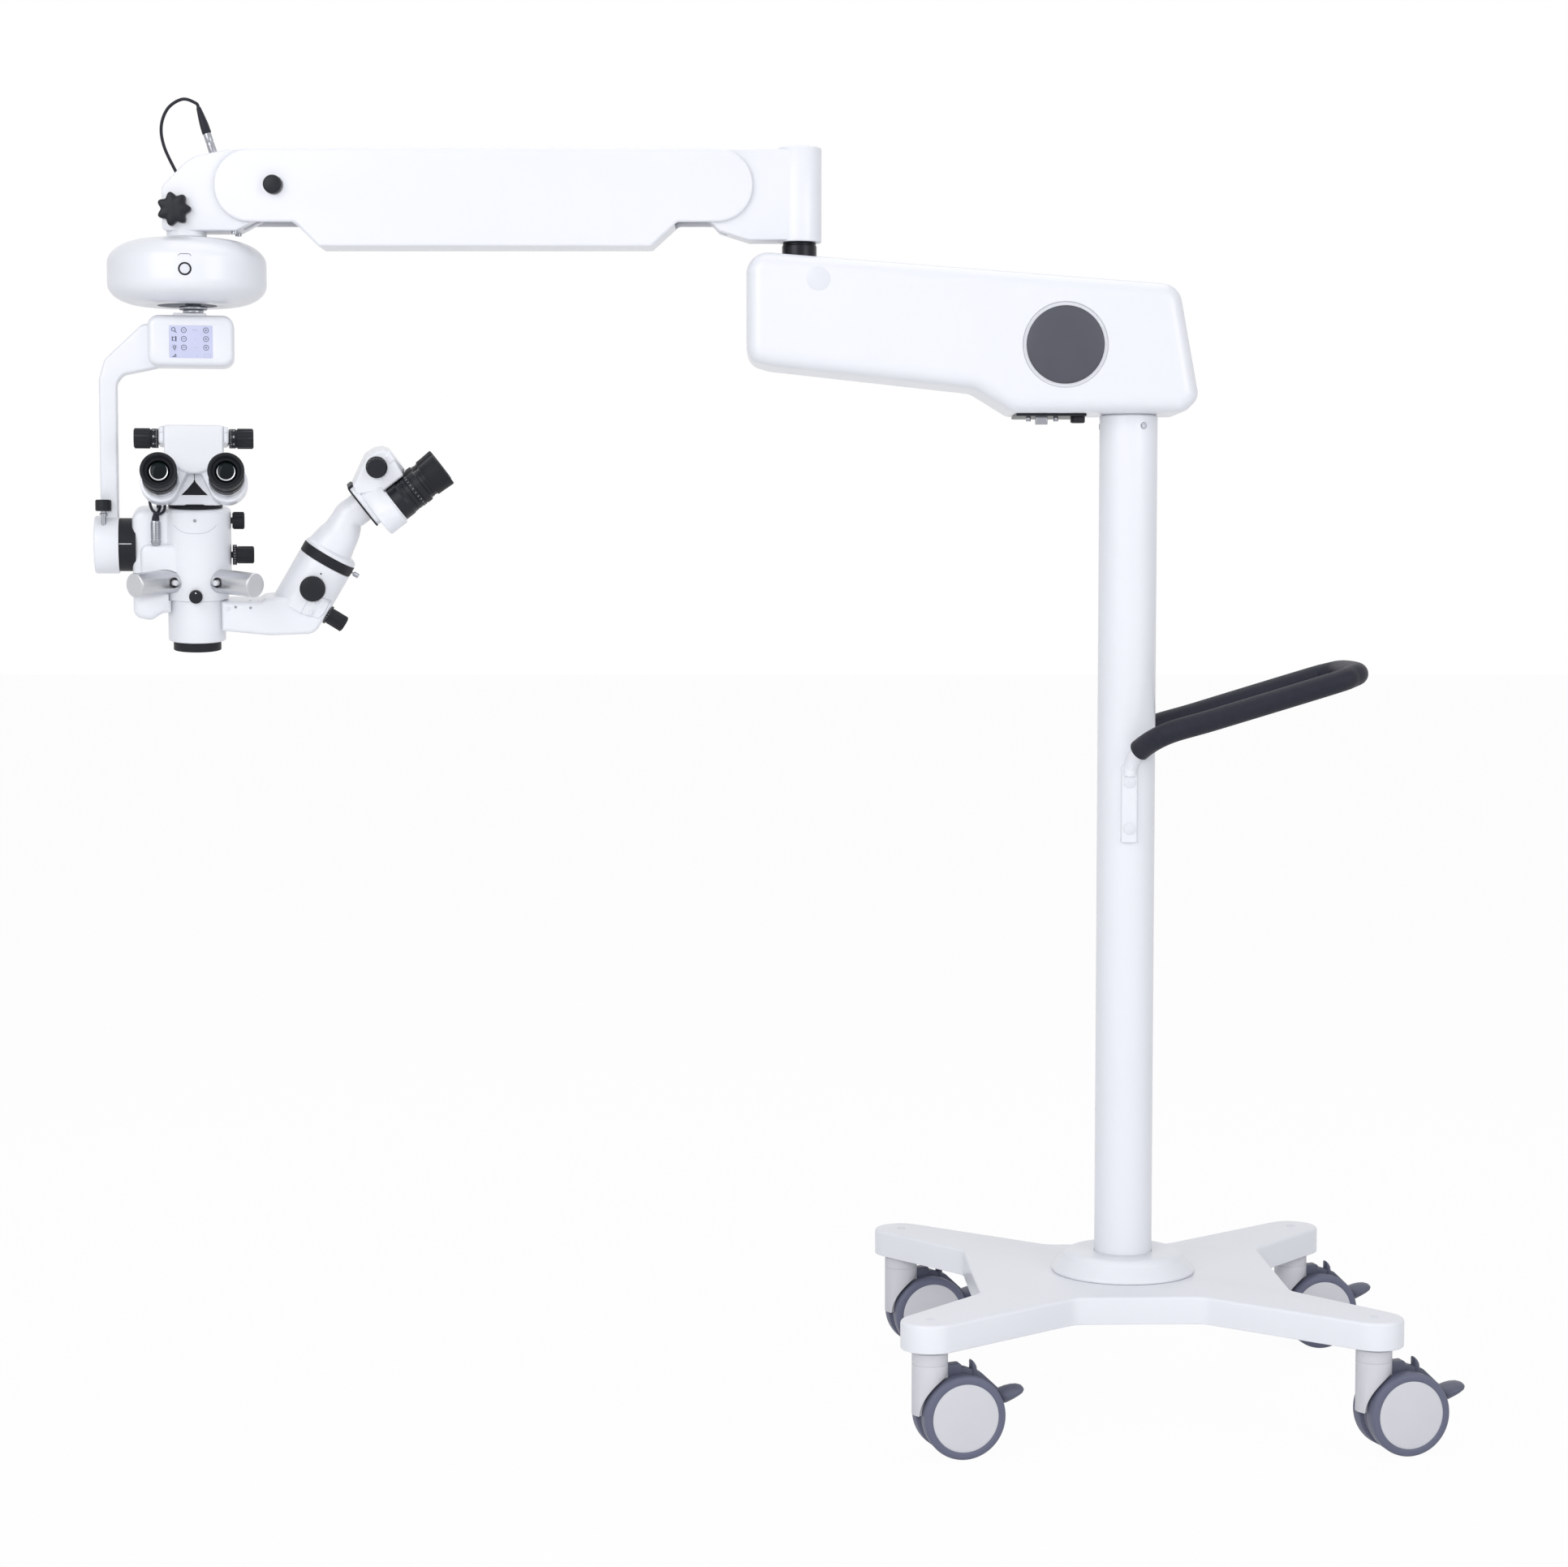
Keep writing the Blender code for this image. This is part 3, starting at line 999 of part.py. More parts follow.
def side_knob(name, home, place, stem, flange, knob_radius, length):
    """Flanged black knob with a knurled grip, its stem in a bore."""
    made = piece(name, rod(0.004, -0.006, stem + 0.002, 12), BLACK, home, place)
    if flange:
        join(made, rod(knob_radius + 0.002, stem, stem + flange, 14), place)
    join(made, knurled(knob_radius, stem + flange - 0.0005, stem + length, 9, 0.0008), place)
    return made


def make_scope_body(head):
    """Turned scope body with its side knobs, front knob, silver handles and their buttons."""
    body = piece("scope_body", turned(body_profile(), SCOPE_FACETS), WHITE, head)
    dovetail_low = BODY_TOP - TILT_Z
    cut(body, rod(DOVETAIL_RADIUS - 0.006 + GAP, dovetail_low - 0.004 - GAP, dovetail_low + 0.01, 20))
    cut(body, rod(LENS_RING_RADIUS - 0.004, LENS_RING_LOW - TILT_Z - 0.01, LENS_RING_LOW - TILT_Z + 0.004, 18))
    for name, z, flange, length in (("filter_knob", 1.1105, 0.0, 0.0165), ("zoom_knob", 1.0675, 0.004, 0.028)):
        place = at(BODY_RADIUS, 0, z - TILT_Z, X_AXIS)
        cut(body, rod(0.004 + GAP, -0.006 - GAP, 0.01, 12), place)
        side_knob(name, head, place, 0.0015, flange, SIDE_KNOB_RADIUS, length)
    focus = at(0, -CONE_LOW_RADIUS, 1.0205 - TILT_Z, FRONT)
    cut(body, rod(0.003 + GAP, -0.006 - GAP, 0.01, 12), focus)
    knob = turned([(0, -0.006), (0.003, -0.006), (0.003, 0.0025), (0.0083, 0.0025), (0.0083, 0.009),
                   (0.0068, 0.011), (0, 0.011)], 16)
    piece("focus_knob", knob, BLACK, head, focus)
    for name, side in (("left", -1), ("right", 1)):
        make_handle_bar(name, side, head)


def handle_place(side):
    """Placement of a handle bar's root inside the scope body, and the way it points."""
    direction = Vector((side * math.sin(HANDLE_ANGLE), -math.cos(HANDLE_ANGLE), 0))
    root = Vector((side * 0.031, -0.031, HANDLE_Z - TILT_Z)) - direction * 0.012
    return at(*root, direction), direction


def make_handle_bar(name, side, head):
    """Short silver handle pointing outwards and forwards, with a button by its root."""
    place, direction = handle_place(side)
    root = place.translation
    length = HANDLE_LENGTH + 0.012
    bar = piece(f"handle_{name}", rod(HANDLE_RADIUS, 0, length, 22, 0.002), SILVER, head, place)
    cut(bar, turned(body_profile(GAP), SCOPE_FACETS))
    across = Vector((-side * math.cos(HANDLE_ANGLE), -math.sin(HANDLE_ANGLE), 0))
    seat = root + direction * 0.020 + across * (HANDLE_RADIUS - 0.003)
    button_place = at(*seat, across)
    cut(bar, rod(TRIGGER_RADIUS + GAP, -BUTTON_TRAVEL - GAP, 0.01, 12), button_place)
    cut(bar, rod(TRIGGER_RADIUS + 0.0027, 0.0012, 0.01, 14), button_place)
    shape = turned([(0, 0), (TRIGGER_RADIUS, 0), (TRIGGER_RADIUS, 0.006), (TRIGGER_RADIUS - 0.001, 0.007),
                    (0, 0.007)], 12)
    piece(f"handle_button_{name}", shape, WHITE, head, button_place)


def eyepiece_shape():
    """Eyepiece turned about its axis: spigot, dioptre ring, neck and hollow eyecup."""
    cup = EYECUP_RADIUS
    ring = 0.0215
    neck = EYEPIECE_RADIUS
    profile = [(0, -0.010), (EYE_SPIGOT_RADIUS, -0.010), (EYE_SPIGOT_RADIUS, 0), (ring, 0), (ring, 0.015),
               (neck, 0.016), (neck, 0.024), (cup - 0.0015, 0.025), (cup, 0.046), (cup - 0.002, 0.048),
               (cup - 0.005, 0.048), (0.0125, 0.039), (0, 0.037)]
    return turned(profile, 16)


def prism_corners(side, eye_x, eye_z):
    """Teardrop outline round the pivot and the eyepiece axis of one eye."""
    pivot = side * PRISM_SPACING / 2
    small = PRISM_SPACING / 2 - 0.0005
    large = TUBE_ROOT_RADIUS + 0.003
    points = []
    angle = math.degrees(math.atan2(eye_z, side * eye_x - pivot))
    for centre, radius, first, last in (((pivot, 0), small, angle + 100, angle + 260),
                                        ((side * eye_x, eye_z), large, angle - 82, angle + 82)):
        points += arc(centre, radius, first, last, 5)
    return [(x, z, 0) for x, z in points]


def prism_shape(side, eye_x, eye_z):
    """Prism housing of one eye, drawn in the eyes' frame."""
    return standing(slab(prism_corners(side, eye_x, eye_z), -PRISM_HALF_DEPTH, PRISM_HALF_DEPTH))


def make_eyes(prefix, home, spacing, drop, base=None):
    """Two prism housings with barrels and eyepieces: they swing, or fuse to the base where one is given."""
    half = PRISM_HALF_DEPTH
    for name, side in (("left", -1), ("right", 1)):
        pivot = Matrix.Translation((side * PRISM_SPACING / 2, 0, 0))
        local = at(side * spacing / 2, 0, drop, FRONT)
        housing = prism_shape(side, spacing / 2, drop)
        swing, tube = home, base
        if base is None:
            swing = frame(f"{prefix}eye_swing_{name}", home, pivot)
            housing.transform(pivot.inverted())
            tube = piece(f"{prefix}eye_tube_{name}", housing, WHITE, swing)
            cut(tube, rod(0.005 + GAP, -0.03, 0.03, 14), at(0, 0, 0, FRONT))
            local = pivot.inverted() @ local
        else:
            join(tube, housing)
        root = half + 0.014
        mouth = half + 0.027
        bore = SPIGOT_BORE_RADIUS
        barrel = [(0, 0), (TUBE_ROOT_RADIUS, 0), (TUBE_ROOT_RADIUS, root), (TUBE_ROOT_RADIUS - 0.001, root + 0.001),
                  (TUBE_ROOT_RADIUS - 0.001, mouth), (bore, mouth), (bore, root), (0, root)]
        join(tube, turned(barrel, 18), local)
        piece(f"{prefix}eyepiece_{name}", eyepiece_shape(), BLACK, swing,
              local @ Matrix.Translation((0, 0, mouth + GAP)))


def add_bridge(target, eyes, back):
    """Front plate, block and cheeks of a binocular bridge above its two prism housings, in the eyes' frame."""
    plate = [(-0.036, 0.010, 0.012), (0, -0.0225, 0.020), (0.036, 0.010, 0.012), (0.036, 0.0385, 0.004),
             (-0.036, 0.0385, 0.004)]
    join(target, standing(slab(plate, 0.0133, 0.022, 0.0, 0.002)), home=eyes)
    low = PRISM_SPACING / 2 + 0.0005
    high = 0.0384
    front = -0.0215
    size = (0.0719, back - front, high - low)
    join(target, block(size, (0, (front + back) / 2, (low + high) / 2), 0.002), home=eyes)
    join(target, block((0.090, 0.030, 0.022), (0, -0.001, 0.0273), 0.003, 0.003), home=eyes)


def make_binocular(head):
    """Main binocular: dovetail base, bridge, two swinging eye tubes and the spacing knobs."""
    low = BODY_TOP - TILT_Z
    base = piece("binocular_base", rod(DOVETAIL_RADIUS - 0.006, low - 0.004, low + 0.004, 20), WHITE, head)
    join(base, rod(DOVETAIL_RADIUS, low + GAP, low + 0.0065, 28))
    join(base, slab(box_corners(-0.034, 0.034, -0.032, 0.026, 0.010), low + 0.005, low + 0.024, 0.002, 0.0, 1, 45))
    eyes = frame("eyes", head, Matrix.Translation((0, -0.036, 1.190 - TILT_Z)) @
                 Matrix.Rotation(math.radians(-16), 4, "X"))
    body = block((0.066, 0.040, 0.081), (0, 0.0335, -0.0025), 0.008, 0.003)
    join(base, body, home=eyes)
    add_bridge(base, eyes, 0.0405)
    for side in (-1, 1):
        join(base, rod(0.005, -0.015, 0.015, 14), at(side * PRISM_SPACING / 2, 0, 0, FRONT), home=eyes)
    make_eyes("", eyes, EYE_SPACING, -0.031)
    knob_z = 0.0255
    shaft = piece("ipd_knob", rod(0.004, -0.060, 0.060, 12), BLACK, eyes, at(0, 0, knob_z, X_AXIS))
    for side in (-1, 1):
        place = at(0, 0, knob_z, (side, 0, 0))
        join(shaft, rod(IPD_KNOB_RADIUS - 0.0005, 0.0455, 0.058, 14), place)
        join(shaft, knurled(IPD_KNOB_RADIUS, 0.0575, 0.076, 8, 0.0008), place)
    cut(base, rod(0.004 + GAP, -0.06, 0.06, 12), at(0, 0, knob_z, X_AXIS), home=eyes)


def make_assistant(head):
    """Assistant scope: swinging arm, turning elbow and its own binocular."""
    swing = frame("assistant_swing", head)
    low, top = ASSISTANT_ARM_LOW - TILT_Z, ASSISTANT_ARM_TOP - TILT_Z
    collar_low = LOWER_LOW - TILT_Z
    collar_top = BODY_LOW - TILT_Z - 0.003 - GAP
    inside = SCOPE_NECK_RADIUS + 2 * GAP
    lean = (math.sin(ASSISTANT_LEAN), 0, math.cos(ASSISTANT_LEAN))
    foot = Vector((ASSISTANT_FOOT_X, 0, ASSISTANT_FOOT_Z - TILT_Z))
    arm = piece("assistant_arm", turned([(inside, collar_low), (LOWER_RADIUS - 0.002, collar_low),
                                         (LOWER_RADIUS, collar_low + 0.002), (LOWER_RADIUS, collar_top),
                                         (inside, collar_top)], 24), WHITE, swing)
    corners = [(0.031, low + 0.006, 0.002), (0.090, low, 0.05), (0.144, low + 0.002, 0.006),
               (0.168, low + 0.0405, 0.004), (0.150, low + 0.053, 0.002), (0.085, low + 0.047, 0.002),
               (0.078, collar_top - 0.001, 0.004), (0.031, collar_top - 0.001, 0.002)]
    half = ASSISTANT_ARM_HALF_WIDTH
    join(arm, standing(slab(corners, -half, half, 0.006, 0.006, 1)))
    cut(arm, rod(inside - 0.0001, collar_low - 0.01, collar_top + 0.05, 24))
    tube_top = 0.078
    join(arm, rod(ASSISTANT_TUBE_RADIUS, 0.012, tube_top, 24), at(*foot, lean))
    elbow_place = at(*(foot + Vector(lean) * tube_top), lean)
    make_assistant_elbow(arm, elbow_place)
    axis = foot + Vector(lean) * 0.046
    focus = at(axis.x, -ASSISTANT_TUBE_RADIUS + 0.001, axis.z, FRONT)
    cut(arm, rod(0.004 + GAP, -0.008 - GAP, 0.01, 12), focus)
    knob = turned([(0, -0.008), (0.004, -0.008), (0.004, 0.0025), (0.0155, 0.0025), (0.016, 0.008),
                   (0.0145, 0.0125), (0.008, 0.0145), (0, 0.0148)], 18)
    piece("assistant_focus_knob", knob, BLACK, swing, focus)
    side = at(0.1585, 0, low + 0.0252, (math.cos(math.radians(32)), 0, -math.sin(math.radians(32))))
    cut(arm, rod(0.013, 0, 0.04, 16), side)
    cut(arm, rod(0.004 + GAP, -0.006 - GAP, 0.02, 12), side)
    side_knob("assistant_zoom_knob", swing, side, GAP, 0.003, 0.0100, 0.029)


def make_assistant_elbow(arm, place):
    """Black ring and bent tube that turn on the assistant tube, and the binocular on its flange."""
    spigot = ASSISTANT_TUBE_RADIUS - 0.008
    cut(arm, rod(spigot + GAP, -0.006 - GAP, 0.01, 24), place)
    turn = frame("assistant_turn", arm.parent, place)
    ring_top = ASSISTANT_RING_HEIGHT
    profile = [(0, -0.006), (spigot, -0.006), (spigot, GAP), (ASSISTANT_TUBE_RADIUS, GAP),
               (ASSISTANT_TUBE_RADIUS, ring_top), (ASSISTANT_TUBE_RADIUS - 0.001, ring_top),
               (ASSISTANT_TUBE_RADIUS - 0.001, ring_top + 0.003), (0.024, ring_top + 0.019), (0, ring_top + 0.019)]
    elbow = piece("assistant_elbow", turned(profile, 24), WHITE, turn)
    heading = EYE_AXIS_RISE + ASSISTANT_LEAN
    view = Vector((math.cos(heading), 0, math.sin(heading)))
    flange = Vector((0.005, 0, ring_top + 0.0725))
    bend = [Vector((-0.002, 0, ring_top + 0.008)), Vector((-0.001, 0, ring_top + 0.032)),
            flange - view * 0.022, flange - view * 0.006, flange - view * GAP]
    join(elbow, swept(smooth_path(bend, 2), 0.020, 16))
    eyes = frame("assistant_eyes", turn, eye_frame_place(flange, view))
    plate = piece("assistant_binocular", standing(slab(box_corners(-0.033, 0.033, -0.034, 0.022, 0.010), -0.021, -0.0125,
                                                       0.001, 0.0, 1, 45)), WHITE, eyes)
    add_bridge(plate, eyes, 0.0208)
    make_eyes("assistant_", eyes, ASSISTANT_EYE_SPACING, -0.034, plate)


def eye_frame_place(flange, view):
    """Placement of the assistant's eye frame: its front looks along the view, its flange 21 mm behind."""
    up = view.cross(Vector((0, 1, 0)))
    up = up if up.z > 0 else -up
    side = (-view).cross(up)
    axes = Matrix((side, -view, up)).transposed().to_4x4()
    return Matrix.Translation(flange + view * 0.021 + up * 0.012) @ axes


def main():
    """Build the microscope from an empty scene."""
    for old in list(bpy.data.objects):
        bpy.data.objects.remove(old, do_unlink=True)
    stand = frame("stand", None, Matrix.Rotation(BASE_YAW, 4, "Z"))
    make_base(stand)
    make_casters(stand)
    make_column()
    make_handle()
    arm = frame("arm_swivel")
    make_lower_arm(arm)
    elbow = frame("elbow_swivel", arm, Matrix.Translation((ELBOW_X, 0, 0)))
    make_rear_head(elbow)
    lift = frame("lift", elbow, Matrix.Translation((REAR_PIVOT_X - ELBOW_X, 0, PIVOT_Z)))
    make_upper_arm(lift)
    follower = frame("lift_follower", elbow, Matrix.Translation((REAR_PIVOT_X - ELBOW_X, 0, PIVOT_Z - LINK_DROP)))
    make_link("lower_link", follower)
    level = frame("level", lift, Matrix.Translation((-LINK_LENGTH, 0, 0)))
    make_front_head(level)
    spindle = SPINDLE_X - (REAR_PIVOT_X - LINK_LENGTH)
    turntable = frame("xy_turn", level, Matrix.Translation((spindle, 0, -PIVOT_Z)) @ Matrix.Rotation(HANG_YAW, 4, "Z"))
    slide = make_xy_unit(turntable)
    carrier = frame("carrier_turn", slide)
    make_carrier(carrier)
    head = frame("head_tilt", carrier, Matrix.Translation((0, 0, TILT_Z)) @ Matrix.Rotation(HEAD_TILT, 4, "X"))
    make_head_mount(head)
    make_scope_body(head)
    make_binocular(head)
    make_assistant(head)


main()
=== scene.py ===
# %% [markdown]
# # A surgical microscope on its rolling stand
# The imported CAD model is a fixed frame: every visible piece below is drawn in metres, in the same
# place as its CAD solid, and rides on the same body. The CAD solids are plain and coarse, because
# MuJoCo has to touch them. Here each one gets smooth curves, rounded rims and a finish of its own.

# %% Load the frame
import math

import bmesh
import bpy
from mathutils import Matrix, Vector


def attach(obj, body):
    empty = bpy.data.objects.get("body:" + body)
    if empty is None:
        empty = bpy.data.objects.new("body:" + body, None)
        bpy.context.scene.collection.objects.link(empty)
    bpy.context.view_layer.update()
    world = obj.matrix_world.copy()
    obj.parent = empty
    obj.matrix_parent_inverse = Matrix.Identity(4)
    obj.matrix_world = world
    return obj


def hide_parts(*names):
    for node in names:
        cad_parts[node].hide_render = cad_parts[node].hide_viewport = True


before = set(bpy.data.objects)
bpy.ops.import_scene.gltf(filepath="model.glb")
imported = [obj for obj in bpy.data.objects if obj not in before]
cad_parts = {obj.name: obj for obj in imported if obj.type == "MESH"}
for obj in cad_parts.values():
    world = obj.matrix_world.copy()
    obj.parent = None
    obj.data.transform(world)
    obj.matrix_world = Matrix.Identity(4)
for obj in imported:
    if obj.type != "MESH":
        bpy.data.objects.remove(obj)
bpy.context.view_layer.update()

# %% [markdown]
# ## Camera
# The photograph was taken from about four metres away at chest height, looking slightly down. The
# lens is 72.5 mm on a 36 mm sensor, so the long arm keeps its proportions and shows little of its top.

# %% Camera
scene = bpy.context.scene


def placed(name, data, place=Matrix.Identity(4)):
    """Object with this data, linked into the scene at a place."""
    made = bpy.data.objects.new(name, data)
    scene.collection.objects.link(made)
    made.matrix_world = place
    return made


lens = bpy.data.cameras.new("photo_camera")
lens.lens = 72.5
lens.sensor_width = 36
camera = placed("photo_camera", lens)
camera.location = (-0.429, -3.953, 1.039)
camera.rotation_euler = (math.radians(86.27), 0, 0)
scene.camera = camera
print("camera at", tuple(camera.location), "with a lens of", lens.lens, "mm")

# %% [markdown]
# ## Places
# A moving part is easiest to draw about its own axis. Each matrix below is the place of one such
# axis on the real machine: the stand turns a little on its casters, the head hangs turned by nine
# degrees and tilts by seven, and the eyepieces lean back again by sixteen.


# %% Places of the moving parts
def shift(x, y, z):
    """Move by a distance."""
    return Matrix.Translation((x, y, z))


def turn(degrees, axis):
    """Turn about an axis, in degrees."""
    return Matrix.Rotation(math.radians(degrees), 4, axis)


def at(x, y, z, axis=(0, 0, 1)):
    """Place at a point with the shape's own Z turned along an axis."""
    return shift(x, y, z) @ Vector((0, 0, 1)).rotation_difference(Vector(axis)).to_matrix().to_4x4()


X_WAY, FRONT = (1, 0, 0), (0, -1, 0)
STAND = turn(1.6, "Z")
ELBOW = shift(-0.410, 0, 0)
UPPER_PIN_Z, LOWER_PIN_Z = 1.521, 1.489
REAR_PIN_X, FRONT_PIN_X = -0.102, -1.0865
LIFT = shift(-0.512, 0, UPPER_PIN_Z)
TURNTABLE = shift(-1.170, 0, 0) @ turn(9, "Z")
CARRIER = TURNTABLE @ shift(0.007, 0, 0)
TILT_Z = 1.080
HEAD = CARRIER @ shift(0, 0, TILT_Z) @ turn(7, "X")
EYES = HEAD @ shift(0, -0.036, 0.110) @ turn(-16, "X")
print("tilt axis", [round(v, 4) for v in HEAD.translation])

# %% [markdown]
# ## Shapes
# Nearly everything on this machine is either turned on a lathe or cast from an outline. So two
# helpers do most of the work: one turns a profile about Z, the other raises an outline and rounds
# its rims. Both return a bmesh, which can be moved before it becomes a piece.


# %% Lathe
def steps_round(count):
    """Angles of equal steps round a full turn."""
    return [math.tau * index / count for index in range(count)]


def bridge(shape, lower, upper):
    """Faces between two rings of points, either of which may be a single point."""
    count = max(len(lower), len(upper))
    for index in range(count):
        following = (index + 1) % count
        if len(lower) == 1:
            shape.faces.new((lower[0], upper[index], upper[following]))
        elif len(upper) == 1:
            shape.faces.new((lower[index], lower[following], upper[0]))
        else:
            shape.faces.new((lower[index], lower[following], upper[following], upper[index]))


def turned(profile, sides=64):
    """A (radius, height) profile turned about Z; it ends on the axis or closes on itself."""
    shape = bmesh.new()
    rings = []
    for radius, height in profile:
        angles = steps_round(sides) if radius else [0]
        rings.append([shape.verts.new((radius * math.cos(a), radius * math.sin(a), height)) for a in angles])
    for lower, upper in zip(rings, rings[1:]):
        bridge(shape, lower, upper)
    if len(rings[0]) > 1:
        bridge(shape, rings[-1], rings[0])
    return shape


def rod(radius, low, high, sides=48):
    """Round bar between two heights."""
    return turned([(0, low), (radius, low), (radius, high), (0, high)], sides)


def band(rows):
    """Shell through rings of points, with the last ring joined to the first."""
    shape = bmesh.new()
    rings = [[shape.verts.new(point) for point in row] for row in rows]
    for lower, upper in zip(rings, rings[1:] + rings[:1]):
        bridge(shape, lower, upper)
    return shape


def moved(shape, place):
    """The shape itself, moved to a place."""
    shape.transform(place)
    return shape


def oval_arc(centre, across, high, angles):
    """Points of an arc that is wider than high or the other way round, angles in degrees."""
    turns = [math.radians(angle) for angle in angles]
    return [(centre[0] + across * math.cos(a), centre[1] + high * math.sin(a)) for a in turns]


def arc(centre, radius, start, end, steps):
    """Points of an arc, angles in degrees."""
    return oval_arc(centre, radius, radius, [start + (end - start) * index / steps
                                             for index in range(steps + 1)])


print("a rod of 48 sides has", len(rod(0.01, 0, 0.1).faces), "faces")


# %% Outlines
def round_corners(corners, step_angle=9):
    """Outline of (x, y, radius) corners with an arc of the radius at each."""
    points = []
    for index, (x, y, radius) in enumerate(corners):
        here = Vector((x, y))
        before = (Vector(corners[index - 1][:2]) - here).normalized()
        after = (Vector(corners[(index + 1) % len(corners)][:2]) - here).normalized()
        if radius == 0:
            points.append(here)
            continue
        half = before.angle(after) / 2
        middle = here + (before + after).normalized() * (radius / math.sin(half))
        first = here + before * (radius / math.tan(half)) - middle
        last = here + after * (radius / math.tan(half)) - middle
        sweep = first.angle_signed(last)
        steps = max(1, math.ceil(abs(math.degrees(sweep)) / step_angle - 0.01))
        for step in range(steps + 1):
            points.append(middle + Matrix.Rotation(-sweep * step / steps, 2) @ first)
    return [tuple(point) for point in points]


def inset(corners, distance):
    """Corners of a counter-clockwise outline moved inwards, with their radii kept concentric."""
    inner = []
    for index, (x, y, radius) in enumerate(corners):
        here = Vector((x, y))
        arriving = (here - Vector(corners[index - 1][:2])).normalized()
        leaving = (Vector(corners[(index + 1) % len(corners)][:2]) - here).normalized()
        side = Vector((-leaving.y, leaving.x))
        inward = (Vector((-arriving.y, arriving.x)) + side).normalized()
        reach = distance / inward.dot(side)
        kept = max(radius - distance, radius * 0.1) if arriving.cross(leaving) > 0 else radius + distance
        inner.append((*(here + inward * reach), kept if radius else 0))
    return inner


def loft(sections):
    """Closed shape through outlines of equal length, each a list of 3-D points."""
    shape = bmesh.new()
    rings = [[shape.verts.new(point) for point in section] for section in sections]
    for lower, upper in zip(rings, rings[1:]):
        bridge(shape, lower, upper)
    shape.faces.new(reversed(rings[0]))
    shape.faces.new(rings[-1])
    return shape


def slab(corners, low, high, low_edge=0.0, high_edge=0.0, steps=5):
    """Outline raised from low to high along Z, its rims rounded by quarter circles."""
    levels = [(0, low)]
    if low_edge:
        levels = [(low_edge * (1 - math.sin(a)), low + low_edge * (1 - math.cos(a)))
                  for a in (math.pi / 2 * step / steps for step in range(steps + 1))]
    top = [(0, high)]
    if high_edge:
        top = [(high_edge * (1 - math.sin(a)), high - high_edge * (1 - math.cos(a)))
               for a in (math.pi / 2 * (1 - step / steps) for step in range(steps + 1))]
    sections = []
    for shrink, height in levels + top:
        outline = round_corners(inset(corners, shrink) if shrink else corners)
        sections.append([(x, y, height) for x, y in outline])
    return loft(sections)


def standing(shape):
    """A shape drawn in x and z: its outline stands upright and its height runs towards the front."""
    return moved(shape, turn(90, "X"))


def box_corners(left, right, low, high, radius=0.0):
    """Counter-clockwise corners of a rectangle."""
    return [(left, low, radius), (right, low, radius), (right, high, radius), (left, high, radius)]


def block(size, centre=(0, 0, 0), radius=0.0, edge=0.0):
    """Box of a size about a centre, with rounded uprights and rims."""
    low, high = [c - s / 2 for c, s in zip(centre, size)], [c + s / 2 for c, s in zip(centre, size)]
    return slab(box_corners(low[0], high[0], low[1], high[1], radius), low[2], high[2], edge, edge)


# %% Tubes
def smooth_path(points, steps=8):
    """Points of a Catmull-Rom curve through the route's points."""
    route = [Vector(point) for point in points]
    padded = [2 * route[0] - route[1], *route, 2 * route[-1] - route[-2]]
    curve = []
    for before, start, end, after in zip(padded, padded[1:], padded[2:], padded[3:]):
        for step in range(steps):
            t = step / steps
            curve.append(0.5 * (2 * start + (end - before) * t
                                + (2 * before - 5 * start + 4 * end - after) * t * t
                                + (3 * start - before - 3 * end + after) * t ** 3))
    return curve + [route[-1]]


def swept(path, radius, sides=24):
    """Round tube along a path, closed at both ends."""
    points = [Vector(point) for point in path]
    sections = []
    side = (points[1] - points[0]).orthogonal().normalized()
    for index, point in enumerate(points):
        forward = (points[min(index + 1, len(points) - 1)] - points[max(index - 1, 0)]).normalized()
        side = (side - forward * side.dot(forward)).normalized()
        other = forward.cross(side)
        sections.append([point + radius * (side * math.cos(a) + other * math.sin(a))
                         for a in steps_round(sides)])
    return loft(sections)


# %% [markdown]
# ## Finishes
# Every finish is a small node tree. Written out as node calls, shader maths is hard to read, so a
# socket is wrapped in a class that knows how to add and multiply: `0.3 + grain * 0.1` makes its
# Math nodes by itself. The patterns read Object coordinates, which are metres on the real object
# here, so a scale of 900 gives a grain of about a millimetre.


# %% Shader maths
class Value:
    """A shader socket that takes part in sums."""

    def __init__(self, finish, socket):
        self.finish, self.socket = finish, socket

    def maths(self, operation, *terms):
        """Math node with this operation on the terms."""
        return self.finish.node("ShaderNodeMath", dict(enumerate(terms)), operation=operation)

    def __add__(self, other):
        return self.maths("ADD", self, other)

    def __mul__(self, other):
        return self.maths("MULTIPLY", self, other)

    def __rsub__(self, other):
        return self.maths("SUBTRACT", other, self)

    __radd__, __rmul__ = __add__, __mul__


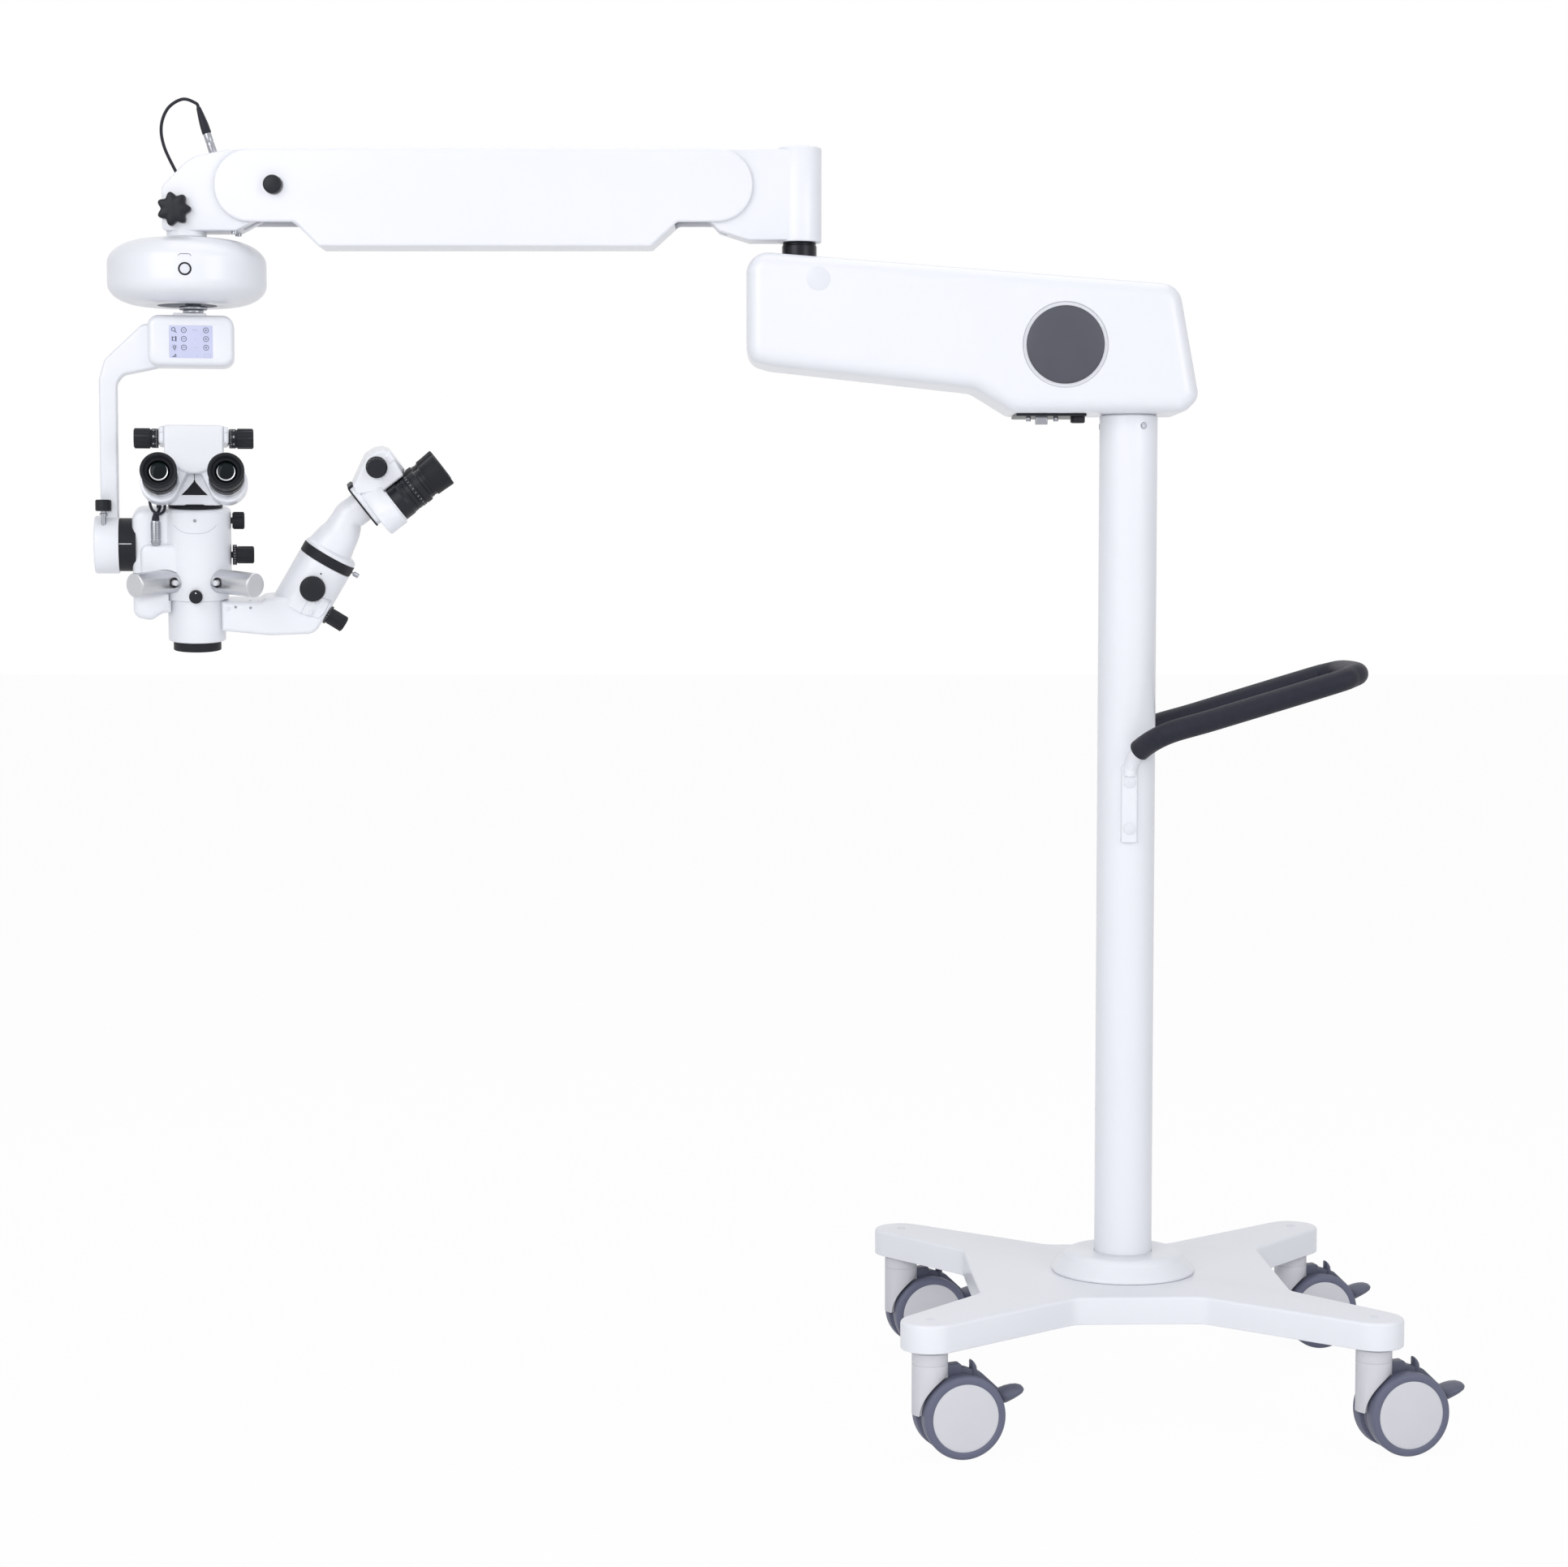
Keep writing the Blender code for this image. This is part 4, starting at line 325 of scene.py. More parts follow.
class Finish:
    """Node tree of one material, with the record's slot that it belongs to."""

    def __init__(self, name, slot, **fixed):
        self.material = bpy.data.materials.new(name)
        self.material.use_nodes = True
        self.slot = slot
        self.tree = self.material.node_tree
        self.shader = self.tree.nodes["Principled BSDF"]
        self.place = self.node("ShaderNodeTexCoord", out="Object")
        for socket, value in fixed.items():
            self.feed(self.shader.inputs[socket.replace("_", " ")], value)

    def feed(self, socket, value):
        """Set a socket, or link it where the value is a socket too."""
        if isinstance(value, Value):
            self.tree.links.new(value.socket, socket)
        elif isinstance(value, tuple) and len(value) == 3 and socket.type == "RGBA":
            socket.default_value = (*value, 1)
        else:
            socket.default_value = value

    def node(self, kind, sockets=None, out=0, **settings):
        """A node with its settings made first and its sockets fed after."""
        made = self.tree.nodes.new(kind)
        for setting, value in settings.items():
            setattr(made, setting, value)
        for socket, value in (sockets or {}).items():
            self.feed(made.inputs[socket], value)
        return Value(self, made.outputs[out])

    def noise(self, scale, detail=3.0, stretch=None):
        """Noise between 0 and 1 over the object, in grains of about 1 / scale metres."""
        place = self.place
        if stretch:
            place = self.node("ShaderNodeMapping", {"Vector": place, "Scale": stretch})
        return self.node("ShaderNodeTexNoise", {"Vector": place, "Scale": scale, "Detail": detail}, out="Fac")

    def mix(self, factor, first, second):
        """Colour between two colours."""
        return self.node("ShaderNodeMix", {0: factor, 6: first, 7: second}, out=2, data_type="RGBA")

    def bump(self, height, strength, distance):
        """Surface relief of the height, its depth in metres."""
        self.feed(self.shader.inputs["Normal"], self.node(
            "ShaderNodeBump", {"Height": height, "Strength": strength, "Distance": distance}, out="Normal"))

    def base(self, colour, roughness):
        """Colour and roughness of the surface, either of which may vary."""
        self.feed(self.shader.inputs["Base Color"], colour)
        self.feed(self.shader.inputs["Roughness"], roughness)
        return self


# %% [markdown]
# ### White paint
# The stand is powder coated: it melts into a skin with a very fine orange peel, a little duller on
# its crests. The head and arm shells are sprayed, so they are smoother. Both are a cool white. A
# slow noise shifts the colour by a few percent at most, as it varies on any sprayed surface.


# %% White paints
def painted(name, slot, colour, roughness, peel, depth):
    """Cool white coat with an orange peel of a size and depth."""
    made = Finish(name, slot, Coat_Weight=0.25, Coat_Roughness=0.12)
    slow, fine = made.noise(7.0), made.noise(peel, 2.0)
    darker = tuple(channel * 0.965 for channel in colour)
    made.base(made.mix(slow, darker, colour), roughness + slow * 0.06 + fine * 0.05)
    made.bump(fine, 0.35, depth)
    return made


WHITE = (0.80, 0.81, 0.845)
powder = painted("powder_coat_white", "white_steel", WHITE, 0.30, 620.0, 0.00006)
sprayed = painted("sprayed_white", "white_shell", WHITE, 0.24, 900.0, 0.00003)
cast = painted("painted_casting_white", "white_casting", WHITE, 0.27, 750.0, 0.00005)
plug_white = painted("plug_white", "white_shell", (0.74, 0.75, 0.79), 0.38, 1400.0, 0.00003)

# %% [markdown]
# ### Plastics, rubber and foam
# Moulded black plastic takes the fine spark-eroded grain of its mould. Tyres are a hard grey-blue
# rubber with a coarser grain. The grip is closed-cell foam, whose skin shows small dimples.


# %% Mouldings
def moulded(name, slot, colour, roughness, grain, depth, spread=0.15, strength=0.5, shine=0.5):
    """Moulding with a fine grain, mottled by a slower noise."""
    made = Finish(name, slot, Specular_IOR_Level=shine)
    slow, fine = made.noise(40.0), made.noise(grain, 4.0)
    lighter = tuple(channel * (1 + spread) + 0.002 for channel in colour)
    made.base(made.mix(slow, colour, lighter), roughness + fine * 0.14 + slow * 0.05)
    made.bump(fine, strength, depth)
    return made


black = moulded("black_moulding", "black_plastic", (0.011, 0.012, 0.016), 0.27, 2600.0, 0.00005, shine=0.26)
matt_black = moulded("matt_black", "black_plastic", (0.012, 0.013, 0.017), 0.42, 3200.0, 0.00005, shine=0.22)
dome_grey = moulded("dome_grey", "black_plastic", (0.060, 0.062, 0.078), 0.40, 2400.0, 0.00006)
cable_black = moulded("cable_jacket", "black_plastic", (0.011, 0.012, 0.020), 0.32, 1800.0, 0.00002,
                      shine=0.26)
eyecup = moulded("eyecup_rubber", "black_plastic", (0.011, 0.012, 0.015), 0.46, 1900.0, 0.00008, shine=0.22)
grey_moulding = moulded("caster_grey", "caster_grey", (0.60, 0.60, 0.625), 0.36, 1500.0, 0.00006, 0.04, 0.35)
tyre = moulded("tyre_rubber", "tyre_grey", (0.105, 0.112, 0.165), 0.42, 900.0, 0.00010)
hood_grey = moulded("hood_grey", "tyre_grey", (0.080, 0.086, 0.125), 0.36, 1300.0, 0.00006)

foam = Finish("foam_grip", "foam", Specular_IOR_Level=0.25)
cells = foam.node("ShaderNodeTexVoronoi", {"Vector": foam.place, "Scale": 1100.0}, out="Distance")
dents = foam.noise(120.0, 4.0)
foam.base(foam.mix(dents, (0.012, 0.013, 0.022), (0.020, 0.021, 0.032)), 0.40 + cells * 0.25)
foam.bump(cells + dents * 0.8, 0.45, 0.0003)

# %% [markdown]
# ### Metals and glass
# The handles are bead blasted and anodised, so they are satin all over. Screws, the spindle and the
# connectors are turned, and show faint rings. The eyepiece glass is nearly black because one looks
# into a dark tube; the green that its coating shows at a slant is a painted reflection. The display
# is a pale backlit panel.


# %% Metals
def metal(name, slot, colour, roughness, grain, depth, stretch=None):
    """Metal whose roughness and relief follow a grain, stretched where it was turned or brushed."""
    made = Finish(name, slot, Metallic=1.0)
    slow, fine = made.noise(60.0), made.noise(grain, 3.0, stretch)
    darker = tuple(channel * 0.9 for channel in colour)
    made.base(made.mix(slow, darker, colour), roughness + fine * 0.14)
    made.bump(fine, 0.4, depth)
    return made


satin = metal("satin_aluminium", "satin_aluminium", (0.63, 0.64, 0.67), 0.26, 2600.0, 0.00004)
bright = metal("turned_steel", "steel", (0.40, 0.41, 0.45), 0.14, 900.0, 0.00002, (0.15, 0.15, 4.0))
blued = metal("blackened_steel", "black_steel", (0.030, 0.030, 0.034), 0.24, 1200.0, 0.00002, (0.3, 0.3, 3.0))

# %% Glass and display
glass = Finish("coated_glass", "black_plastic", Specular_IOR_Level=0.15)
# The glass turns green where it is seen at a slant: a painted reflection of its coating.
slant_reflection_weight = glass.node("ShaderNodeLayerWeight", {"Blend": 0.35}, out="Facing")
glass.base(glass.mix(slant_reflection_weight, (0.004, 0.006, 0.008), (0.020, 0.075, 0.060)), 0.02 + glass.noise(300.0) * 0.02)
panel = Finish("backlit_panel", "white_shell", Coat_Weight=1.0, Coat_Roughness=0.04, Emission_Strength=0.12)
glow = panel.mix(panel.noise(30.0), (0.46, 0.48, 0.66), (0.52, 0.54, 0.72))
panel.base(glow, 0.16)
panel.feed(panel.shader.inputs["Emission Color"], glow)
ink = moulded("printed_ink", "black_plastic", (0.030, 0.035, 0.070), 0.40, 3000.0, 0.00001)
white_ink = moulded("printed_white", "white_shell", (0.72, 0.73, 0.75), 0.40, 3000.0, 0.00001, 0.03)
# seam_shadow paints shade: grey-blue lines where a fine seam or a bend in a shell lies in shade. The faint
# values on the display use the same grey.
seam = moulded("seam_shadow", "white_shell", (0.34, 0.35, 0.42), 0.60, 2000.0, 0.00002)
print(len(bpy.data.materials), "materials")

# %% [markdown]
# ## From shape to piece
# A piece is one or more shapes in one mesh, less the shapes that are cut out of it. No real edge is
# perfectly sharp, and its rounding catches the light. Where a profile hasn't drawn that rounding, a
# Bevel modifier adds it. The modifiers are applied at once: the finished piece is a plain mesh with
# its place in its vertices.


# %% Make a piece
def plain(made):
    """Apply an object's modifiers and put its place in its mesh."""
    bpy.context.view_layer.update()
    evaluated = made.evaluated_get(bpy.context.evaluated_depsgraph_get())
    mesh = bpy.data.meshes.new_from_object(evaluated)
    made.modifiers.clear()
    made.data = mesh
    mesh.transform(made.matrix_world)
    made.matrix_world = Matrix.Identity(4)
    return made


def mesh_of(name, shape):
    """Mesh from a shape, its faces turned outwards."""
    bmesh.ops.recalc_face_normals(shape, faces=shape.faces)
    mesh = bpy.data.meshes.new(name)
    shape.to_mesh(mesh)
    shape.free()
    return mesh


def round_rims(made, width, least_angle):
    """Bevel on every edge that bends more than an angle."""
    rim = made.modifiers.new("rim", "BEVEL")
    rim.width, rim.segments, rim.angle_limit = width, 2, math.radians(least_angle)
    rim.limit_method, rim.use_clamp_overlap = "ANGLE", True


def smooth(made, sharp_angle):
    """Plain mesh, shaded smooth but for edges that bend more than an angle."""
    plain(made)
    made.data.shade_smooth()
    made.data.set_sharp_from_angle(angle=math.radians(sharp_angle))
    return made


def dress(made, finish, body, nodes=()):
    """Give a piece its material, its body and the CAD nodes that it stands for."""
    made.data.materials.clear()
    made.data.materials.append(finish.material)
    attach(made, body)
    if nodes:
        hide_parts(*([nodes] if isinstance(nodes, str) else nodes))
    return made


def piece(name, finish, body, shapes, place=Matrix.Identity(4), nodes=(), bevel=0, minus=()):
    """A visible piece from shapes, less the shapes in minus, that rides on a body and replaces CAD nodes."""
    both = bmesh.new()
    for shape in shapes if isinstance(shapes, (list, tuple)) else [shapes]:
        part = mesh_of("part", shape)
        both.from_mesh(part)
        bpy.data.meshes.remove(part)
    mesh = bpy.data.meshes.new(name)
    both.to_mesh(mesh)
    both.free()
    made = placed(name, mesh, place)
    tools = [placed("tool", mesh_of("tool", shape), place) for shape in minus]
    for tool in tools:
        carve = made.modifiers.new("carve", "BOOLEAN")
        carve.operation, carve.solver, carve.object = "DIFFERENCE", "EXACT", tool
    if bevel:
        round_rims(made, bevel, 30)
    smooth(made, 40)
    for tool in tools:
        bpy.data.objects.remove(tool)
    return dress(made, finish, body, nodes)


def softened(node, body, width):
    """A CAD node's shape in satin metal with its edges rounded, standing for that node."""
    shape = bmesh.new()
    shape.from_mesh(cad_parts[node].data)
    bmesh.ops.remove_doubles(shape, verts=shape.verts, dist=1e-6)
    bmesh.ops.dissolve_limit(shape, angle_limit=math.radians(0.5), verts=shape.verts, edges=shape.edges)
    mesh = bpy.data.meshes.new(node)
    shape.to_mesh(mesh)
    shape.free()
    made = placed(f"{node}_skin", mesh)
    round_rims(made, width, 25)
    return dress(smooth(made, 35), satin, body, node)


# %% [markdown]
# ## Things that repeat
# Knurls, dial marks, screws and ribs are many copies of one small thing. Geometry Nodes place them
# from a few numbers, so a ring of twenty ribs is one call with a count and a radius. Each tree ends
# in Realize Instances, and its result is made a plain mesh before anything else touches it.


# %% Geometry Nodes helper
def adder(tree):
    """A function that adds nodes to a tree: settings first, then sockets; it returns one output."""
    def add(kind, feeds=None, out=0, **settings):
        made = tree.nodes.new(kind)
        for setting, value in settings.items():
            setattr(made, setting, value)
        for socket, value in (feeds or {}).items():
            if isinstance(value, bpy.types.NodeSocket):
                tree.links.new(value, made.inputs[socket])
            else:
                made.inputs[socket].default_value = value
        return made.outputs[out] if made.outputs else None

    return add


def node_tree(name, **sizes):
    """Geometry tree with named inputs, a function that adds nodes to it and one that closes it."""
    tree = bpy.data.node_groups.new(name, "GeometryNodeTree")
    tree.interface.new_socket("Geometry", in_out="INPUT", socket_type="NodeSocketGeometry")
    tree.interface.new_socket("Finish", in_out="INPUT", socket_type="NodeSocketMaterial")
    for title, value in sizes.items():
        kind = "NodeSocketInt" if isinstance(value, int) else "NodeSocketFloat"
        tree.interface.new_socket(title, in_out="INPUT", socket_type=kind).default_value = value
    tree.interface.new_socket("Geometry", in_out="OUTPUT", socket_type="NodeSocketGeometry")
    inputs = tree.nodes.new("NodeGroupInput").outputs
    add = adder(tree)

    def end(geometry):
        whole = add("GeometryNodeRealizeInstances", {"Geometry": geometry})
        coloured = add("GeometryNodeSetMaterial", {"Geometry": whole, "Material": inputs["Finish"]})
        add("NodeGroupOutput", {0: coloured})
        return tree

    return inputs, add, end


def grown(name, tree, finish, body, place, start=None, nodes=(), **values):
    """Plain mesh from a geometry tree with these input values, at a place on a body."""
    made = placed(name, start or bpy.data.meshes.new(name), place)
    modifier = made.modifiers.new("grow", "NODES")
    modifier.node_group = tree
    values["Finish"] = finish.material
    for item in tree.interface.items_tree:
        if item.in_out == "INPUT" and item.name in values:
            modifier[item.identifier] = values[item.name]
    return dress(smooth(made, 40), finish, body, nodes)


# %% Tree for knurls and dial marks
def ring_tree(name, rounded):
    """Copies of one small upright bar around a circle, each turned to face outwards."""
    inputs, add, end = node_tree(name, Count=12, Radius=0.01, Width=0.001, Length=0.01)
    circle = add("GeometryNodeMeshCircle", {"Vertices": inputs["Count"], "Radius": inputs["Radius"]})
    step = add("ShaderNodeMath", {0: math.tau, 1: inputs["Count"]}, operation="DIVIDE")
    angle = add("ShaderNodeMath", {0: add("GeometryNodeInputIndex"), 1: step}, operation="MULTIPLY")
    facing = add("ShaderNodeCombineXYZ", {"Z": angle})
    if rounded:
        half = add("ShaderNodeMath", {0: inputs["Width"], 1: 0.5}, operation="MULTIPLY")
        bar = add("GeometryNodeMeshCylinder", {"Vertices": 10, "Radius": half, "Depth": inputs["Length"]})
    else:
        size = add("ShaderNodeCombineXYZ", {"X": 0.0002, "Y": inputs["Width"], "Z": inputs["Length"]})
        bar = add("GeometryNodeMeshCube", {"Size": size})
    return end(add("GeometryNodeInstanceOnPoints", {"Points": circle, "Instance": bar, "Rotation": facing}))


ribs, marks = ring_tree("knurl_ribs", True), ring_tree("dial_marks", False)


def knurl(name, body, home, height, count, radius, width, length):
    """Ribs round a knob, at a height along its axis."""
    grown(name, ribs, black, body, home @ shift(0, 0, height),
          Count=count, Radius=radius, Width=width, Length=length)


def ticks(name, body, home, height, count, radius, width, length):
    """Printed marks round a dial, at a height along its axis."""
    grown(name, marks, white_ink, body, home @ shift(0, 0, height),
          Count=count, Radius=radius, Width=width, Length=length)


# %% Tree for screws and caps
def screw_tree():
    """Round heads with a hexagon socket at every point of a mesh, turned the way that it stores."""
    inputs, add, end = node_tree("socket_screws", Radius=0.002, Height=0.001, Socket=0.001)
    height = inputs["Height"]
    head = add("GeometryNodeMeshCylinder", {"Vertices": 24, "Radius": inputs["Radius"], "Depth": height})
    key = add("GeometryNodeMeshCylinder", {"Vertices": 6, "Radius": inputs["Socket"], "Depth": height})
    lift = add("ShaderNodeVectorMath", {0: add("ShaderNodeCombineXYZ", {"Z": height}), "Scale": 0.4},
               operation="SCALE")
    raised = add("GeometryNodeTransform", {"Geometry": key, "Translation": lift})
    cut = add("GeometryNodeMeshBoolean", {"Mesh 1": head, "Mesh 2": raised}, operation="DIFFERENCE")
    way = add("GeometryNodeInputNamedAttribute", {"Name": "facing"}, data_type="FLOAT_VECTOR")
    aim = add("FunctionNodeAlignRotationToVector", {"Vector": way}, axis="Z")
    return end(add("GeometryNodeInstanceOnPoints",
                   {"Points": inputs["Geometry"], "Instance": cut, "Rotation": aim}))


screws = screw_tree()


def screw_heads(name, body, place, places, radius, height, socket):
    """Screws at (point, way) places, each head facing its way."""
    spots = bpy.data.meshes.new(name)
    spots.from_pydata([point for point, _ in places], [], [])
    facing = spots.attributes.new("facing", "FLOAT_VECTOR", "POINT")
    facing.data.foreach_set("vector", [value for _, way in places for value in Vector(way).normalized()])
    grown(name, screws, bright, body, place, spots, Radius=radius, Height=height, Socket=socket)


# %% Trees for the spring and for stacked rings
def coil_tree():
    """Round wire wound about Z."""
    inputs, add, end = node_tree("wound_coil", Turns=7.0, Radius=0.01, Wire=0.001, Length=0.1)
    spiral = add("GeometryNodeCurveSpiral", {
        "Resolution": 32, "Rotations": inputs["Turns"], "Start Radius": inputs["Radius"],
        "End Radius": inputs["Radius"], "Height": inputs["Length"]})
    wire = add("GeometryNodeCurvePrimitiveCircle", {"Resolution": 12, "Radius": inputs["Wire"]})
    return end(add("GeometryNodeCurveToMesh", {"Curve": spiral, "Profile Curve": wire, "Fill Caps": True}))


def stack_tree():
    """Round rings stacked along Z."""
    inputs, add, end = node_tree("stacked_rings", Count=6, Radius=0.005, Pitch=0.002, Wire=0.0006)
    step = add("ShaderNodeCombineXYZ", {"Z": inputs["Pitch"]})
    line = add("GeometryNodeMeshLine", {"Count": inputs["Count"], "Offset": step})
    hoop = add("GeometryNodeCurvePrimitiveCircle", {"Resolution": 32, "Radius": inputs["Radius"]})
    wire = add("GeometryNodeCurvePrimitiveCircle", {"Resolution": 8, "Radius": inputs["Wire"]})
    ring = add("GeometryNodeCurveToMesh", {"Curve": hoop, "Profile Curve": wire})
    return end(add("GeometryNodeInstanceOnPoints", {"Points": line, "Instance": ring}))


coils, rings = coil_tree(), stack_tree()
print("trees:", [group.name for group in bpy.data.node_groups])

# %% [markdown]
# ## Base plate and column
# The base is one thick steel plate cut to a cross, powder coated, with its top edge rounded over.
# A turned collar hides the weld where the column enters it. Small pale plugs cover the bolts that
# hold the casters. Three socket screws near the column's top clamp the bearing of the arm.

# %% Base plate and collar
plate_bottom, plate_top = 0.1305, 0.164
quarter = [(0.192, 0.122, 0.030), (0.52459, 0.52422, 0.035), (0.078, 0.156, 0.030)]
cross = []
for x_sign, y_sign in ((1, 1), (-1, 1), (-1, -1), (1, -1)):
    corner = [(x_sign * x, y_sign * y, radius) for x, y, radius in quarter]
    cross += corner if x_sign == y_sign else corner[::-1]
piece("base_plate_skin", powder, "stand", slab(cross, plate_bottom, plate_top, 0.0012, 0.004), STAND,
      "base_plate")
collar_low = plate_top + 0.0003
collar = [(0.0363, collar_low), (0.0895, collar_low), (0.0900, collar_low + 0.0010),
          (0.0900, collar_low + 0.0035), (0.0850, collar_low + 0.0085), (0.0775, collar_low + 0.0165),
          *arc((0.0640, collar_low + 0.0130), 0.013, 22, 90, 10), (0.0363, collar_low + 0.026)]
piece("collar_skin", powder, "stand", turned(collar, 128), STAND, "column_collar", 0.0008)
feet = [(x * 0.264, y * 0.264) for x, y in ((-1, -1), (1, -1), (1, 1), (-1, 1))]
cap_profile = [(0, 0.1632), (0.0055, 0.1632), (0.0055, 0.1644), (0.0048, 0.1647), (0, 0.1648)]
for index, (x, y) in enumerate(feet):
    piece(f"bolt_plug_{index}", plug_white, "stand", turned(cap_profile, 40), STAND @ shift(x, y, 0))

# %% Column
column_top = 1.2407
column = [(0, column_top - 0.012), (0.033, column_top - 0.012), (0.033, 0.144), (0.036, 0.144),
          (0.036, column_top - 0.002), (0.034, column_top), (0.024, column_top), (0.024, 1.3157), (0, 1.3157)]
piece("column_skin", powder, "stand", turned(column, 128), nodes="column")
screw_z = 1.2264
screw_ways = [(math.cos(math.radians(a)), math.sin(math.radians(a)), 0) for a in (-64.9, 175.1, 55.1)]
# Each screw head sits on a thin grey ring: painted shade in its counterbore.
seat = [(0, 0.0355), (0.0034, 0.0355), (0.0034, 0.0361), (0.0044, 0.0361), (0.0044, 0.0352), (0, 0.0352)]
for index, way in enumerate(screw_ways):
    piece(f"column_screw_seat_shade_{index}", seam, "stand", turned(seat, 32), at(0, 0, screw_z, way))
screw_heads("column_screws", "stand", Matrix.Identity(4),
            [((0.0358 * x, 0.0358 * y, screw_z), (x, y, 0)) for x, y, _ in screw_ways], 0.0032, 0.0014,
            0.0016)

# %% [markdown]
# ## Push handle
# A steel tube is bent into a flat loop and pushed into a foam sleeve. Its two ends are welded to
# flat brackets on the sides of the column, and each bracket has two capped screws.

# %% Push handle
half_route = [(0, -0.040, 0.794), (0.001, -0.042, 0.806), (0.010, -0.058, 0.826)]
for x, y in ((0.040, -0.088), (0.100, -0.092), (0.237, -0.092), (0.2664, -0.0794), (0.279, -0.050)):
    half_route.append((x, y, 0.848 + 0.306 * (x - 0.040)))
route = smooth_path(half_route + [(x, -y, z) for x, y, z in reversed(half_route)])
brackets = [swept(route, 0.009, 32)]
caps = []
cap_profile = [(0, 0.0425), (0.0075, 0.0425), (0.0075, 0.0448), (0.0062, 0.0455), (0, 0.0456)]
for side in (-1, 1):
    brackets.append(block((0.0205, 0.011, 0.096), (0, side * 0.0375, 0.758), 0.003, 0.002))
    caps += [moved(turned(cap_profile, 40), at(0, 0, z, (0, side, 0))) for z in (0.728, 0.786)]
piece("handle_tube", powder, "stand", brackets, nodes="handle_frame")
piece("handle_caps", plug_white, "stand", caps)
piece("handle_foam", foam, "stand", swept(route[16:-16], 0.0135, 48), nodes="handle_grip", bevel=0.0015)
print("push handle", round(sum((b - a).length for a, b in zip(route, route[1:])), 3), "m of tube")

# %% [markdown]
# ## Casters
# Each caster is a pair of rubber-tyred wheels on one axle, under a stem that turns in the plate. The
# wheel centres are closed with pale discs. Between the wheels sits the brake: a pedal behind and a
# release fin on top. The four are alike, so one loop makes a whole caster at each corner.

# %% Brake of a caster
wheel_radius, trail = 0.050, 0.036


def around(radius, degrees):
    """Point at a distance and an angle from the wheel's centre."""
    return radius * math.cos(math.radians(degrees)), radius * math.sin(math.radians(degrees))


def limb(stations):
    """Smooth limb with an oval section at each (x, z, half height, half width, slope) station."""
    sections = []
    for x, z, high, wide, slope in stations:
        lean = math.radians(slope)
        ring = [(wide * math.cos(a), high * math.sin(a)) for a in steps_round(28)]
        sections.append([(x - rise * math.sin(lean), across, z + rise * math.cos(lean))
                         for across, rise in ring])
    return loft(sections)


def brake_parts():
    """Hood between the wheels, a fin that releases it and a tongue-shaped pedal."""
    hood = [(*around(0.024, 45), 0.002), (*around(0.051, 18), 0.003), (*around(0.0555, 30), 0.006),
            (*around(0.0550, 62), 0.008), (*around(0.0560, 84), 0.004), (*around(0.0530, 92), 0.002)]
    pedal = [(0.0445, 0.0140, 0.0050, 0.0050, 22), (0.0485, 0.0155, 0.0085, 0.0120, 20),
             (0.0545, 0.0178, 0.0088, 0.0165, 18), (0.0620, 0.0205, 0.0080, 0.0175, 16),
             (0.0690, 0.0228, 0.0068, 0.0168, 15), (0.0750, 0.0245, 0.0052, 0.0140, 15),
             (0.0785, 0.0254, 0.0032, 0.0090, 15), (0.0796, 0.0257, 0.0010, 0.0040, 15)]
    fin = [(0.0172, 0.0440, 0.0046, 0.0070, 90), (0.0178, 0.0510, 0.0044, 0.0080, 84),
           (0.0174, 0.0565, 0.0040, 0.0078, 78), (0.0162, 0.0605, 0.0030, 0.0066, 74),
           (0.0152, 0.0628, 0.0016, 0.0040, 70), (0.0148, 0.0634, 0.0006, 0.0016, 70)]
    shapes = [standing(slab(hood, -0.0058, 0.0058, 0.001, 0.001)), limb(pedal), limb(fin)]
    return [moved(shape, shift(trail, 0, wheel_radius)) for shape in shapes]


print("wheel", wheel_radius * 2, "m across")

# %% Casters
for name, (x, y) in zip(("front_left", "front_right", "rear_right", "rear_left"), feet):
    swivel = STAND @ shift(x, y, 0) @ turn(13.4, "Z")
    local_hub = at(trail, 0, wheel_radius, FRONT)
    hub = swivel @ local_hub
    stem = turned([(0, 0.052), (0.0215, 0.052), (0.0215, 0.1115), (0.0208, 0.1120), (0.0215, 0.1125),
                   (0.0215, 0.1262), (0.0196, 0.1268), (0.0196, 0.1302), (0, 0.1302)], 64)
    clear = [moved(rod(0.053, low, high, 96), local_hub)
             for low, high in ((0.0095, 0.040), (-0.040, -0.0095))]
    piece(f"{name}_stem", grey_moulding, f"{name}_yoke", stem, swivel, f"{name}_caster_yoke", 0.0004, clear)
    web = moved(rod(0.046, -0.007, 0.007, 72), local_hub)
    fender = [(trail + r * math.cos(math.radians(a)), wheel_radius + r * math.sin(math.radians(a)), k)
              for r, a, k in ((0.038, 130, 0.002), (0.038, 88, 0.002), (0.061, 88, 0.004),
                              (0.064, 112, 0.004))]
    guard = standing(slab(fender, -0.007, 0.007, 0.001, 0.001))
    piece(f"{name}_web", hood_grey, f"{name}_yoke", [web, guard], swivel)
    tread = [(0.0410, 0.0283), (0.0427, 0.0295), (0.0455, 0.0295), *arc((0.0455, 0.0250), 0.0045, 90, 0, 6),
             (0.0495, 0.0105), (0.0085, 0.0105)]
    tyres = [turned([(r, side * h) for r, h in tread[::side]], 96) for side in (1, -1)]
    tyres.append(rod(0.006, -0.0105, 0.0105))
    piece(f"{name}_tyres", tyre, f"{name}_wheels", tyres, hub, f"{name}_caster_wheels", 0.0003)
    face = [(0, 0.0287), (0.0385, 0.0287), (0.0400, 0.0284), (0.0412, 0.0276), (0.0412, 0.024), (0, 0.024)]
    discs = [turned([(r, side * h) for r, h in face], 96) for side in (1, -1)]
    piece(f"{name}_discs", grey_moulding, f"{name}_wheels", discs, hub)
    piece(f"{name}_brake_skin", hood_grey, f"{name}_brake", brake_parts(), swivel, f"{name}_caster_brake")
print("casters at", feet)

